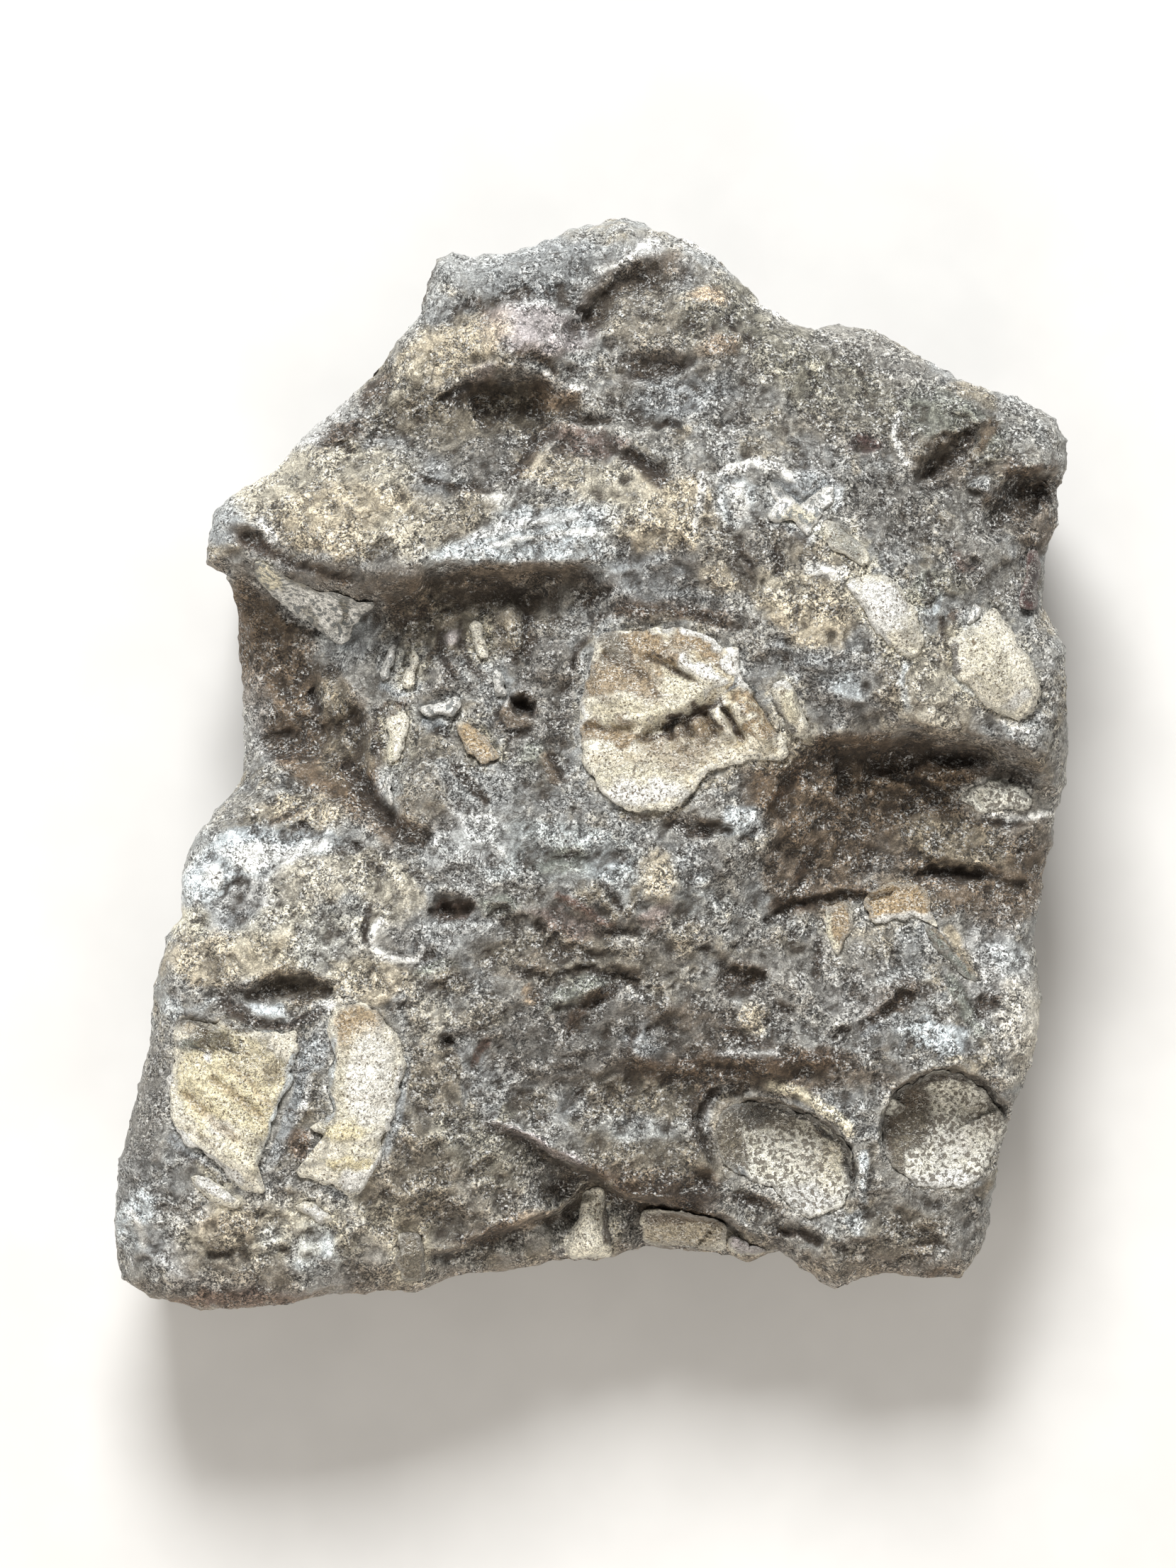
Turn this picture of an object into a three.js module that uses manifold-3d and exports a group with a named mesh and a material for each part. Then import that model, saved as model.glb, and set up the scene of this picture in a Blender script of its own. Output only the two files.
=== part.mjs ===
// A broken block of limestone with trilobite shells weathered out on its face, lying on its flat back.
// Millimetres, +Z up, +Y towards the narrow end of the block; the origin is under the middle of the block.
import * as THREE from 'three';
import Module from 'manifold-3d';

const across = 38, along = 44; // squares over the block's face
const wallRows = 3; // rows of faces down the side walls
const rimReach = 5; // width of the band in which the face rounds over
const rimDrop = 6; // how far the rim lies below the face
const baseInset = 5.5; // the flat back stands in from the widest line by about this
const tuck = 1.5; // how late down the side walls that happens
const bedGap = 0.3; // clearance between a shell and its bed
const chipDepth = 1.2; // depth of the flaked hollows on the broken face
const chipSize = [7, 5]; // their spacing along X and Y
const wallChip = 2.2; // depth of the flaked hollows on the side walls
const wallChips = 5; // how many of them per radian round the block
const leastInset = 0.2; // a side wall never stands further out than this behind the rim
const snap = 1.2; // corners this near a ledge are put on its lip
const waver = 1.1; // how far the ledges stray from their drawn lines
const waverLength = 4; // over what length they stray
const spread = 35; // how widely a spot height is felt, square millimetres
const farShare = 1e-4; // what is left of it far away
const lipShare = 0.4; // share of a ledge's drop that rises above the broad form
const lipReach = 0.35; // how far back from the lip that rise reaches, against the hollow below
const lumpFlank = 1.6; // how gently a lump runs out
const bedCorner = 1.2; // more clearance round a bed, as its corners are cut across
const bedHeadroom = 30; // the bed is open upwards
const thinnest = 0.8; // least thickness of a shell
const seed = { waverX: 31, waverY: 37, face: 5, walls: 9 };

const stone = new THREE.MeshStandardMaterial({ color: 0x6d6b68, roughness: 0.9, metalness: 0 });
const tan = new THREE.MeshStandardMaterial({ color: 0xcdb892, roughness: 0.7, metalness: 0 });
const white = new THREE.MeshStandardMaterial({ color: 0xdcd8cc, roughness: 0.6, metalness: 0 });
const speckled = new THREE.MeshStandardMaterial({ color: 0xa9a48c, roughness: 0.7, metalness: 0 });
const brown = new THREE.MeshStandardMaterial({ color: 0x4d3a2d, roughness: 0.6, metalness: 0 });

// Outline of the block, clockwise in four stretches: top, right, bottom, left.
const middle = [0, 6];
const margin = [
  [[-24, 44.4], [-22, 48], [-19.2, 51.4], [-18.4, 56], [-17.5, 57.7], [-15.6, 58.6], [-13.6, 57.9], [-8, 58.3],
    [-5, 59.7], [-2.4, 61], [3.4, 61.9], [7, 61], [12, 59.7], [14.4, 57.6], [17, 55.2], [18.9, 52.8], [22.6, 50.2],
    [25.4, 49.4], [27, 49.9], [31.8, 49.7], [35, 47.7], [39, 45.3], [43.4, 43], [48.6, 41.8], [52.6, 39.2]],
  [[52.6, 39.2], [54, 36.6], [54.4, 33.6], [53.2, 30.8], [53.2, 27], [51.8, 23.9], [51.4, 18], [54, 13], [54.2, 9],
    [54.3, 1.4], [53.4, -4], [52.2, -10], [51.4, -16], [50.6, -20], [51.6, -26], [51.2, -31], [49.4, -37], [47, -43],
    [45.7, -50], [44.7, -55]],
  [[44.7, -55], [42.4, -58.4], [38, -58.8], [34, -58], [31, -58.8], [28, -60.2], [24.6, -57.6], [21.4, -55.2],
    [18, -56.4], [14, -55.8], [6, -55], [2, -56.6], [-4, -56.6], [-10, -57.8], [-16, -58.8], [-21, -60],
    [-31, -60.4], [-35, -61.7], [-44, -61.9], [-50, -60.8], [-53.4, -58.4]],
  [[-53.4, -58.4], [-54.4, -52], [-53.6, -46], [-52, -39], [-50, -31], [-49.6, -25], [-48.4, -21], [-46.4, -17.2],
    [-46.6, -12.8], [-44.6, -8], [-41.4, -4], [-39.6, -1.5], [-39.6, 5], [-40, 12.6], [-40.4, 18], [-41.6, 21.6],
    [-44, 22.9], [-43.4, 28.6], [-41, 30.6], [-36, 33.2], [-33, 37], [-28, 41], [-24, 44.4]],
];

// Spot heights x, y, z of the broad form, region by region.
const spots = [
  // narrow end
  [-16, 55, 29], [-8, 56, 31], [0, 58, 30], [8, 58, 29], [14, 54, 29], [-15, 51, 33], [-5, 53, 35], [2, 53.5, 31],
  [7, 54.5, 31], [12, 51.5, 35.5], [19, 49, 31], [-8, 48.5, 37.5], [0, 47, 34.5], [8, 49, 36.5], [14, 47.5, 36],
  [20, 44, 35.5], [27, 46, 31], [33, 45, 30], [5, 44, 33], [10, 42.5, 36.5], [2, 41, 35.5],
  // left shoulder and the slab over the left ledge
  [-20, 46, 33.5], [-25, 42, 31], [-30, 38, 30.5], [-35, 34, 30], [-41, 28, 29], [-28, 31, 36.5], [-34, 27, 36],
  [-20, 29, 38.5], [-12, 41, 31], [-7, 40, 32], [-12, 34, 34], [-18, 37, 33], [-3, 36, 33], [2, 36, 34], [-5, 32, 38],
  [-10, 26, 39.5], [0, 26, 40.5], [-20, 24, 40], [-29, 24, 38.5], [-38, 25, 34],
  // right shoulder
  [8, 31, 39.5], [10, 24, 41], [18, 31, 40.5], [18, 38, 38], [28, 39, 36.5], [37, 40, 34], [44, 40, 32.5],
  [50, 36, 31.5], [29, 31, 39], [37, 35, 36], [40, 33, 33], [46, 32, 36], [50, 28, 29.5], [49, 20, 32], [43, 24, 36],
  [35, 24, 39], [25, 22, 41], [18, 18, 39], [22, 12, 39], [31, 12, 39], [40, 12, 37.5], [47, 11, 37], [52, 9, 32.5],
  [40, 6, 37], [31, 6, 37], [49, 4, 34],
  // recess under the left ledge
  [-36, 19, 25], [-37.5, 10, 20.5], [-37.5, 2, 21.5], [-30, 16, 27], [-31, 9, 24.5], [-31, 3, 24], [-24, 14, 31],
  [-17, 16, 31.5], [-9, 17, 33], [-3, 17, 34], [5, 18, 35.5], [11, 19, 36.5], [-24, 4, 30.5], [-17, 4, 31.5],
  [-11, 8, 33],
  // middle
  [-6, 6, 33], [-6, 0, 34.5], [-3, 10, 34.5], [2, 12, 36], [8, 8, 37], [6, 1, 36], [7, -4, 36.5], [17, 4, 37],
  [-27, -4, 30.5], [-20, -6, 33.5], [-17, -3, 35], [-10, -7, 36], [0, -9, 36.5], [10, -9, 37], [17, -6, 37.5],
  [20, 0, 37], [22, 3, 37], [-14, -14, 35], [-6, -14, 35.5], [3, -14, 35.5], [10, -15, 35], [16, -12, 35],
  // left mound
  [-35, -4, 30], [-38, -9, 32], [-43, -13, 32], [-36, -17, 36], [-28, -13, 35.5], [-44, -20, 34], [-36, -23, 35.5],
  [-28, -21, 35.5], [-20, -20, 35],
  // hollow at the right
  [27, 0, 30.5], [34, -1, 27.5], [42, 0, 28], [50, 0, 28.5], [25, -7, 29], [33, -7, 26], [43, -7, 26.5],
  [50, -9, 26], [22, -13, 29], [30, -13, 25], [40, -14, 25], [48, -16, 25],
  // lower step
  [0, -21, 33], [10, -21, 32.5], [17, -20, 31], [24, -19, 28.5], [32, -19, 28.5], [40, -21, 27.5], [48, -22, 26],
  [-9, -23, 33], [-1, -29, 32], [9, -29, 31], [18, -28, 30], [28, -27, 30], [38, -26, 28.5], [47, -29, 27],
  [28, -32, 29.5], [40, -31, 29], [-14, -30, 33], [-17, -38, 33], [-9, -36, 31], [0, -37, 29], [8, -38, 29],
  [4, -43, 28.5], [-6, -42, 30], [12, -46, 27],
  // round the two cups
  [30, -36, 28], [31, -42, 27.5], [16, -37, 28], [47, -38, 25.5], [21, -43, 24], [25, -47, 26], [40, -42, 24],
  [40, -47, 25.5], [31, -49, 26],
  // lower left, round the paired shells
  [-43, -33, 34.5], [-42, -43, 35], [-33, -36, 34], [-27, -33, 35.5], [-26, -43, 35], [-49, -36, 30], [-51, -48, 29],
  [-44, -51, 33], [-34, -51, 33], [-25, -51, 32], [-15, -45, 32.5], [-10, -47, 31], [-52, -56, 26], [-43, -58, 28.5],
  [-32, -57, 28.5], [-22, -56, 27.5],
  // bottom slope
  [-13, -53, 25], [-6, -52, 22], [0, -52, 22], [10, -53, 21], [20, -54, 22], [19, -49, 25.5], [26, -52, 24.5],
  [28, -57, 22], [36, -55, 22.5], [42, -54, 22],
];

// Ledges: the lip, high side on the left of its direction (on the right where the drop is negative), the drop,
// width of the steep face, and how far out the hollow below it reaches. A carved one keeps its drawn line.
const ledges = [
  { lip: [[-39.5, 25.2], [-36, 22.6], [-32, 21.6], [-27, 19.6], [-24, 19.4], [-20.5, 20.6], [-18, 22.8], [-10, 23.4],
    [0, 23], [4, 22.6]], drop: 7.5, face: 1.6, reach: 13 },
  { lip: [[-16, 41.2], [-14.5, 42.4], [-12, 43.2], [-9, 44.6], [-5, 44], [-2, 42.6]], drop: 3, face: 1.2, reach: 9 },
  { lip: [[-17, 31.6], [-14, 30.8], [-11, 30.6], [-8.5, 31.8], [-7, 34.5], [-5.5, 37], [-3, 38.4], [2, 38.2],
    [6, 37.5], [11, 38.2]], drop: -1.8, face: 0.8, reach: 5 },
  { lip: [[2, 35.4], [4.5, 34], [6.5, 31.8], [8.6, 31]], drop: -2, face: 0.8, reach: 3.5 },
  { lip: [[37, 32.2], [39.5, 31.6], [42, 32.6], [43.6, 35], [44.6, 38.6]], drop: -2.5, face: 1.2, reach: 6 },
  { lip: [[43, 30.4], [46, 31], [49, 33], [52.5, 32.5], [54, 31]], drop: 4.5, face: 1.6, reach: 7 },
  { lip: [[22.5, 1.5], [25.5, 3.6], [31, 3.4], [35.5, 3.6], [39, 4.8], [43, 4], [48, 2.6], [54, 1.6]],
    drop: 5.5, face: 2, reach: 12 },
  { lip: [[19, -19], [19.6, -16.6], [22.4, -14.9], [27, -14.8], [32, -14], [36.5, -13]],
    drop: 1.4, face: 0.7, reach: 4 },
  { lip: [[0, -34], [5, -32.4], [9.6, -33.8], [15, -32.2], [21, -34], [26, -33.2], [30, -31.8], [33, -32.8]],
    drop: 2.3, face: 1.4, reach: 7, fade: 0.3 },
  { lip: [[-13, -39.4], [-7.7, -41.5], [-2, -44.8], [1.5, -47.2], [6.5, -49.2], [11.4, -50], [15, -50.8],
    [18, -53.2], [21, -54.8]], drop: 5.5, face: 1.2, reach: 9, fade: 0.3 },
  { lip: [[-20, -54.8], [-14.5, -54], [-11, -51.4], [-7, -49.9], [-3, -49.4], [-0.5, -47.5]],
    drop: 4.5, face: 1.2, reach: 8 },
  // left side of the middle, round a small boss
  { lip: [[-28, 13.4], [-25.6, 8], [-24.6, 2], [-23.6, -3], [-21, -6.6], [-17.6, -8.6]],
    drop: 2.6, face: 1.6, reach: 7, fade: 0.3 },
  // rims of the two cups
  { lip: [[14, -46.4], [12, -43], [11.5, -39.8], [13, -36.6], [15.5, -35.3], [18.3, -35.6], [19.4, -36.8]],
    drop: 2.2, face: 0.7, reach: 4, carved: true },
  { lip: [[15.6, -38], [17.4, -37.6], [20.8, -37.8], [24.2, -38.9], [27.5, -40.8], [29.7, -43], [30.4, -46],
    [29.8, -50.6]], drop: 3, face: 0.6, reach: 7, carved: true },
  { lip: [[33.2, -46], [32.4, -42], [32.8, -39.4], [34.3, -36.6], [37.6, -34.5], [41.1, -34], [44.7, -35.5],
    [47.4, -38.5], [48, -42]], drop: 3.6, face: 0.8, reach: 8, carved: true },
  { lip: [[-40.5, -24.6], [-37, -24.2], [-33, -23.6], [-29, -24.2], [-27, -25.6]], drop: 1.8, face: 1, reach: 4.5 },
];

// Lumps and hollows: x, y, half length, half width, turn in degrees, height.
const lumps = [
  [-7.5, 48.5, 6.5, 3.6, -8, 2.2], [12, 52, 4.4, 3, 20, 1.2], [13, 47.2, 3.5, 2.2, -10, 0.8], [5.5, 48.6, 4, 2, 0, 0.8],
  [5.5, 55, 5, 2.2, 20, -1.8], [0.8, 50.8, 2.2, 4, -35, -2.2], [6, 44.6, 4.4, 1.4, 6, -1.6],
  [-10.6, 40, 6, 3.6, 5, -2.4], [38, 34.4, 5.4, 3.6, 20, 1.5], [40.5, 32.8, 4, 2, 8, -2],
  [49.5, 31.2, 4.6, 1.6, 10, -2.2], [-22.5, 21.4, 4, 2.2, -10, 1.4], [-38, 26.3, 2.6, 1.2, -25, -1.6],
  [-39.8, 28, 2.8, 3, 0, 0.8], [-34, 3, 4, 3, 0, -1.6], [-28, 7.6, 2.4, 3, 20, 0.9], [-31.5, 8.6, 1.2, 1.4, 0, -1],
  [-18.5, -3.6, 4, 4, 0, 1.8], [-9, 16, 2.4, 4, 10, 1.3], [-7, 6.8, 1.8, 1, -50, -3], [-4.4, 12.4, 3, 3, 0, 0.8],
  [13, -7.6, 2.4, 0.9, -25, -1.2], [8, -13.4, 3, 3.4, 0, 0.8], [-15.6, -16.2, 2.6, 1.6, -10, -1.8],
  [-40.5, -10.5, 5, 3, -15, 0.8], [-44, -13.5, 3, 3, 0, 0.8], [42, 1.4, 4.4, 1.2, -8, -2.4],
  [46, -3.6, 4.2, 2.4, -10, 1.4], [35, 1, 4.4, 3, 0, -1.2], [41, -12, 5, 1.2, 0, -1.4],
  [21.5, -42.5, 8.4, 5.6, -36, -1.4], [40.8, -40.4, 6.4, 5.6, -12, -1.6], [33.2, 16.8, 3.4, 5.6, 38, 0.8],
  [45.5, 11, 6.6, 4.6, -52, 1.1], [22, -26, 6, 3, 10, 0.6], [6, -27, 4, 2, 12, 0.8], [0.8, -26, 3.4, 1, 20, -0.9],
  [-44, -56, 7, 3, 10, 0.6], [33, -55.6, 6, 2, 4, 0.8],
  // swell of the middle shell's lower blade
  [5.5, -1.5, 8, 4.4, 0, 1.2],
];

// Ridges and furrows on the shells: line, half width, height.
const ridges = [
  { line: [[6.5, 14.2], [10, 12], [14.5, 8.5]], half: 1.7, rise: 1.0 },
  { line: [[0, 10.4], [4, 9.4], [9, 8.6], [13, 7.4]], half: 1.4, rise: 0.7 },
  { line: [[1, 13], [5, 10.9], [9, 9.8]], half: 0.9, rise: -0.6 },
  { line: [[-1, 5.6], [4, 5.6], [8, 6.6], [14, 8]], half: 1.1, rise: 0.9 },
  { line: [[3, 2.8], [7, 3.8], [9.5, 4.9], [13, 5]], half: 1.0, rise: -1.0 },
  { line: [[17.4, 7.6], [21.4, 1.6]], half: 1.0, rise: 1.0 },
  { line: [[14, 6.6], [17.8, 2]], half: 1.0, rise: 1.0 },
  { line: [[11.4, 5.4], [14.2, 1.8]], half: 0.9, rise: 0.8 },
  { line: [[8.4, 4.4], [10, 2.6]], half: 0.7, rise: 0.5 },
  { line: [[22, 8.2], [24.2, 3.6]], half: 0.7, rise: 0.6 },
  { line: [[-46.4, -38.6], [-43, -41.4], [-37.6, -46.6]], half: 1.3, rise: 0.8 },
  { line: [[-46, -34.4], [-42, -37.4], [-37.4, -42.6]], half: 1.3, rise: 0.7 },
  { line: [[-43, -33], [-39, -35], [-35.4, -38.6]], half: 1.3, rise: 0.5 },
  { line: [[-1, -49], [0.2, -56]], half: 1.6, rise: 1.5 },
  { line: [[10.6, -50], [10.6, -56]], half: 4.4, rise: 2.2 },
];

const clamp = (v) => Math.min(1, Math.max(0, v));
const ease = (a, b, v) => clamp((v - a) / (b - a)) ** 2 * (3 - 2 * clamp((v - a) / (b - a)));
const fraction = (v) => v - Math.floor(v);
const random = (i, j, k) => fraction(Math.sin(i * 127.1 + j * 311.7 + k * 74.7) * 43758.5453);

// The nearest place on a line of points: its distance, + on the left of the line, how far along it lies, 0 to 1.
function nearest(x, y, line) {
  let best = { d: 1e9 }, run = 0;
  for (let i = 0; i + 1 < line.length; i++) {
    const [ax, ay] = line[i], ex = line[i + 1][0] - ax, ey = line[i + 1][1] - ay, len = Math.hypot(ex, ey);
    const t = clamp(((x - ax) * ex + (y - ay) * ey) / (len * len)), px = ax + t * ex, py = ay + t * ey;
    const d = Math.hypot(x - px, y - py);
    if (d < Math.abs(best.d)) {
      best = { d: ex * (y - ay) < ey * (x - ax) ? -d : d, px, py, at: run + t * len };
    }
    run += len;
  }
  best.at /= run;
  return best;
}

function broadForm(x, y) {
  let sum = 0, weight = 0;
  for (const [px, py, pz] of spots) {
    const d2 = (x - px) ** 2 + (y - py) ** 2, k = Math.exp(-d2 / spread) + farShare / (1 + d2);
    sum += k * pz;
    weight += k;
  }
  return sum / weight;
}

function ledgeStep(x, y, { lip, drop, face, reach, fade = 0.2 }) {
  const { d: left, at } = nearest(x, y, lip), d = drop < 0 ? -left : left;
  const under = ease(0, face, -d) * (1 - ease(face, reach, -d));
  const over = d > 0 ? Math.exp(-d / (reach * lipReach)) : 1 - ease(0, face, -d);
  const ends = ease(0, fade, at) * ease(1, 1 - fade, at);
  return ends * Math.abs(drop) * (lipShare * over - (1 - lipShare) * under);
}

function lumpRise(x, y, [cx, cy, rx, ry, turn, rise]) {
  const a = THREE.MathUtils.degToRad(turn), dx = x - cx, dy = y - cy;
  const u = (dx * Math.cos(a) + dy * Math.sin(a)) / rx, v = (dy * Math.cos(a) - dx * Math.sin(a)) / ry;
  return rise * clamp(1 - (u * u + v * v) / lumpFlank) ** lumpFlank;
}

// Shallow scoops with sharp edges between them, as on a broken face.
function scoops(x, y, kind) {
  const i = Math.floor(x), j = Math.floor(y), unevenness = 0.7, steepness = 1.2;
  let low = Infinity;
  for (let a = i - 1; a < i + 2; a++)
    for (let b = j - 1; b < j + 2; b++) {
      const dx = x - a - random(a, b, kind), dy = y - b - random(a, b, kind + 1);
      const tilt = (random(a, b, kind + 3) - 0.5) * dx + (random(a, b, kind + 4) - 0.5) * dy;
      const deep = (random(a, b, kind + 2) - 0.5) * unevenness;
      low = Math.min(low, deep + steepness * (dx * dx + dy * dy + tilt));
    }
  return low;
}

// Smooth noise, -1 to 1.
function noise(x, y, kind) {
  const i = Math.floor(x), j = Math.floor(y), u = ease(0, 1, x - i), v = ease(0, 1, y - j);
  const [a, b, c, d] = [[0, 0], [1, 0], [0, 1], [1, 1]].map(([p, q]) => random(i + p, j + q, kind));
  return (a + (b - a) * u + (c - a) * v + (a - b - c + d) * u * v) * 2 - 1;
}

// The face without its rim: the shells and the stone follow the same form.
function face(x, y) {
  let z = broadForm(x, y);
  const wx = x + waver * noise(x / waverLength, y / waverLength, seed.waverX);
  const wy = y + waver * noise(x / waverLength, y / waverLength, seed.waverY);
  for (const l of ledges) z += l.carved ? ledgeStep(x, y, l) : ledgeStep(wx, wy, l);
  for (const l of lumps) z += lumpRise(wx, wy, l);
  return z;
}

const rimOutline = margin.flatMap((stretch) => stretch.slice(0, -1));
function rimFall(x, y) {
  const { d } = nearest(x, y, [...rimOutline, rimOutline[0]]);
  return rimDrop * (1 - Math.sqrt(1 - (1 - clamp(Math.abs(d) / rimReach)) ** 2));
}

// Point on one stretch of the margin, t from 0 to 1 by length.
function onMargin(stretch, t) {
  const lens = stretch.slice(1).map((p, i) => Math.hypot(p[0] - stretch[i][0], p[1] - stretch[i][1]));
  let left = t * lens.reduce((a, b) => a + b), i = 0;
  while (i < lens.length - 1 && left > lens[i]) left -= lens[i++];
  const [a, b] = [stretch[i], stretch[i + 1]], f = left / lens[i];
  return [a[0] + (b[0] - a[0]) * f, a[1] + (b[1] - a[1]) * f];
}

// Point of the face at s across and t up: the four stretches of the margin blended over the block.
function onFace(s, t) {
  const [top, right, bottom, left] = [onMargin(margin[0], s), onMargin(margin[1], 1 - t), onMargin(margin[2], 1 - s),
    onMargin(margin[3], t)];
  const [tl, tr, br, bl] = margin.map((stretch) => stretch[0]);
  return [0, 1].map((a) => (1 - t) * bottom[a] + t * top[a] + (1 - s) * left[a] + s * right[a]
    - (1 - s) * (1 - t) * bl[a] - s * (1 - t) * br[a] - (1 - s) * t * tl[a] - s * t * tr[a]);
}

// A corner near a ledge moves on to its lip, and the next one below it on to its foot.
function snapped(x, y) {
  for (const { lip, drop, face: width } of ledges) {
    const { d, at, px, py } = nearest(x, y, lip), low = drop < 0 ? d : -d;
    if (at === 0 || at === 1 || low < -snap || low > 2 * snap) continue;
    const f = low < snap ? 0 : width / Math.abs(d);
    return [px + (x - px) * f, py + (y - py) * f];
  }
  return [x, y];
}

function blockTop(x, y) {
  return face(x, y) - rimFall(x, y) + chipDepth * scoops(x / chipSize[0], y / chipSize[1], seed.face);
}

// The block: its face as a net of squares, side walls standing in towards the flat back, and the back.
function blockGeometry() {
  const points = [], faces = [], at = (i, j) => j * (across + 1) + i;
  for (let j = 0; j <= along; j++)
    for (let i = 0; i <= across; i++) {
      const p = onFace(i / across, j / along), inner = i > 0 && i < across && j > 0 && j < along;
      const [x, y] = inner ? snapped(...p) : p;
      points.push([x, y, blockTop(x, y)]);
    }
  for (let j = 0; j < along; j++)
    for (let i = 0; i < across; i++) {
      const [a, b, c, d] = [at(i, j), at(i + 1, j), at(i + 1, j + 1), at(i, j + 1)];
      const even = Math.abs(points[a][2] - points[c][2]) < Math.abs(points[b][2] - points[d][2]);
      faces.push(...(even ? [[a, b, c], [a, c, d]] : [[a, b, d], [b, c, d]]));
    }
  let loop = [];
  for (let i = 0; i < across; i++) loop.push(at(i, 0));
  for (let j = 0; j < along; j++) loop.push(at(across, j));
  for (let i = across; i > 0; i--) loop.push(at(i, along));
  for (let j = along; j > 0; j--) loop.push(at(0, j));
  const rim = loop.map((i) => points[i]);
  for (let k = 1; k <= wallRows; k++) {
    const down = k / wallRows, next = [];
    for (const [x, y, z] of rim) {
      const away = Math.hypot(x - middle[0], y - middle[1]), turn = Math.atan2(y - middle[1], x - middle[0]);
      const chip = wallChip * scoops(turn * wallChips, down * 2, seed.walls) * Math.sin(down * 2);
      const f = 1 - Math.max(leastInset, baseInset * down ** tuck + chip) / away;
      next.push(points.length);
      points.push([middle[0] + (x - middle[0]) * f, middle[1] + (y - middle[1]) * f, z * (1 - down)]);
    }
    loop.forEach((a, i) => {
      const j = (i + 1) % loop.length;
      faces.push([a, next[i], next[j]], [a, next[j], loop[j]]);
    });
    loop = next;
  }
  points.push([...middle, 0]);
  loop.forEach((a, i) => faces.push([points.length - 1, loop[(i + 1) % loop.length], a]));
  return indexed(points, faces);
}

function indexed(points, faces) {
  const g = new THREE.BufferGeometry();
  g.setAttribute('position', new THREE.Float32BufferAttribute(points.flat(), 3));
  return g.setIndex(faces.flat());
}

function solid(geometry) {
  return new wasm.Manifold(new wasm.Mesh({
    numProp: 3, vertProperties: new Float32Array(geometry.attributes.position.array),
    triVerts: new Uint32Array(geometry.index.array),
  }));
}

// A slab inside an outline: rings of vertices on its top, a rim and a fan below.
function slab(outline, center, rings, topAt, bottomAt) {
  const n = outline.length, points = [[...center, topAt(...center, 0)]], faces = [];
  for (let k = 1; k <= rings; k++)
    for (const [x, y] of outline) {
      const f = k / rings, px = center[0] + (x - center[0]) * f, py = center[1] + (y - center[1]) * f;
      points.push([px, py, topAt(px, py, f)]);
    }
  const low = points.length;
  for (const [x, y] of outline) points.push([x, y, bottomAt(x, y)]);
  points.push([...center, bottomAt(...center)]);
  for (let i = 0; i < n; i++) {
    const j = (i + 1) % n, rim = 1 + (rings - 1) * n;
    faces.push([0, 1 + i, 1 + j]);
    for (let a = 1; a < rim; a += n) faces.push([a + i, a + n + i, a + n + j], [a + i, a + n + j, a + j]);
    faces.push([rim + i, low + i, low + j], [rim + i, low + j, rim + j], [low + n, low + j, low + i]);
  }
  return indexed(points, faces);
}

// The outline moved outwards by a distance; it runs anticlockwise.
function grown(outline, by) {
  const n = outline.length;
  return outline.map(([x, y], i) => {
    const [a, b] = [outline[(i + n - 1) % n], outline[(i + 1) % n]];
    const f = by * bedCorner / Math.hypot(b[0] - a[0], b[1] - a[1]);
    return [x + f * (b[1] - a[1]), y - f * (b[0] - a[0])];
  });
}

// The plane that lies closest to the face along an outline.
function bedPlane(outline, cx, cy) {
  const heights = outline.map(([x, y]) => face(x, y) - rimFall(x, y));
  const z = heights.reduce((sum, h) => sum + h / heights.length, 0);
  const from = outline.map(([x, y], i) => [x - cx, y - cy, heights[i] - z]);
  const moment = (p, q) => from.reduce((sum, v) => sum + v[p] * v[q], 0);
  const [xx, xy, yy, xz, yz] = [moment(0, 0), moment(0, 1), moment(1, 1), moment(0, 2), moment(1, 2)];
  const det = xx * yy - xy * xy, a = (xz * yy - yz * xy) / det, b = (yz * xx - xz * xy) / det;
  return (px, py) => z + a * (px - cx) + b * (py - cy);
}

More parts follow.
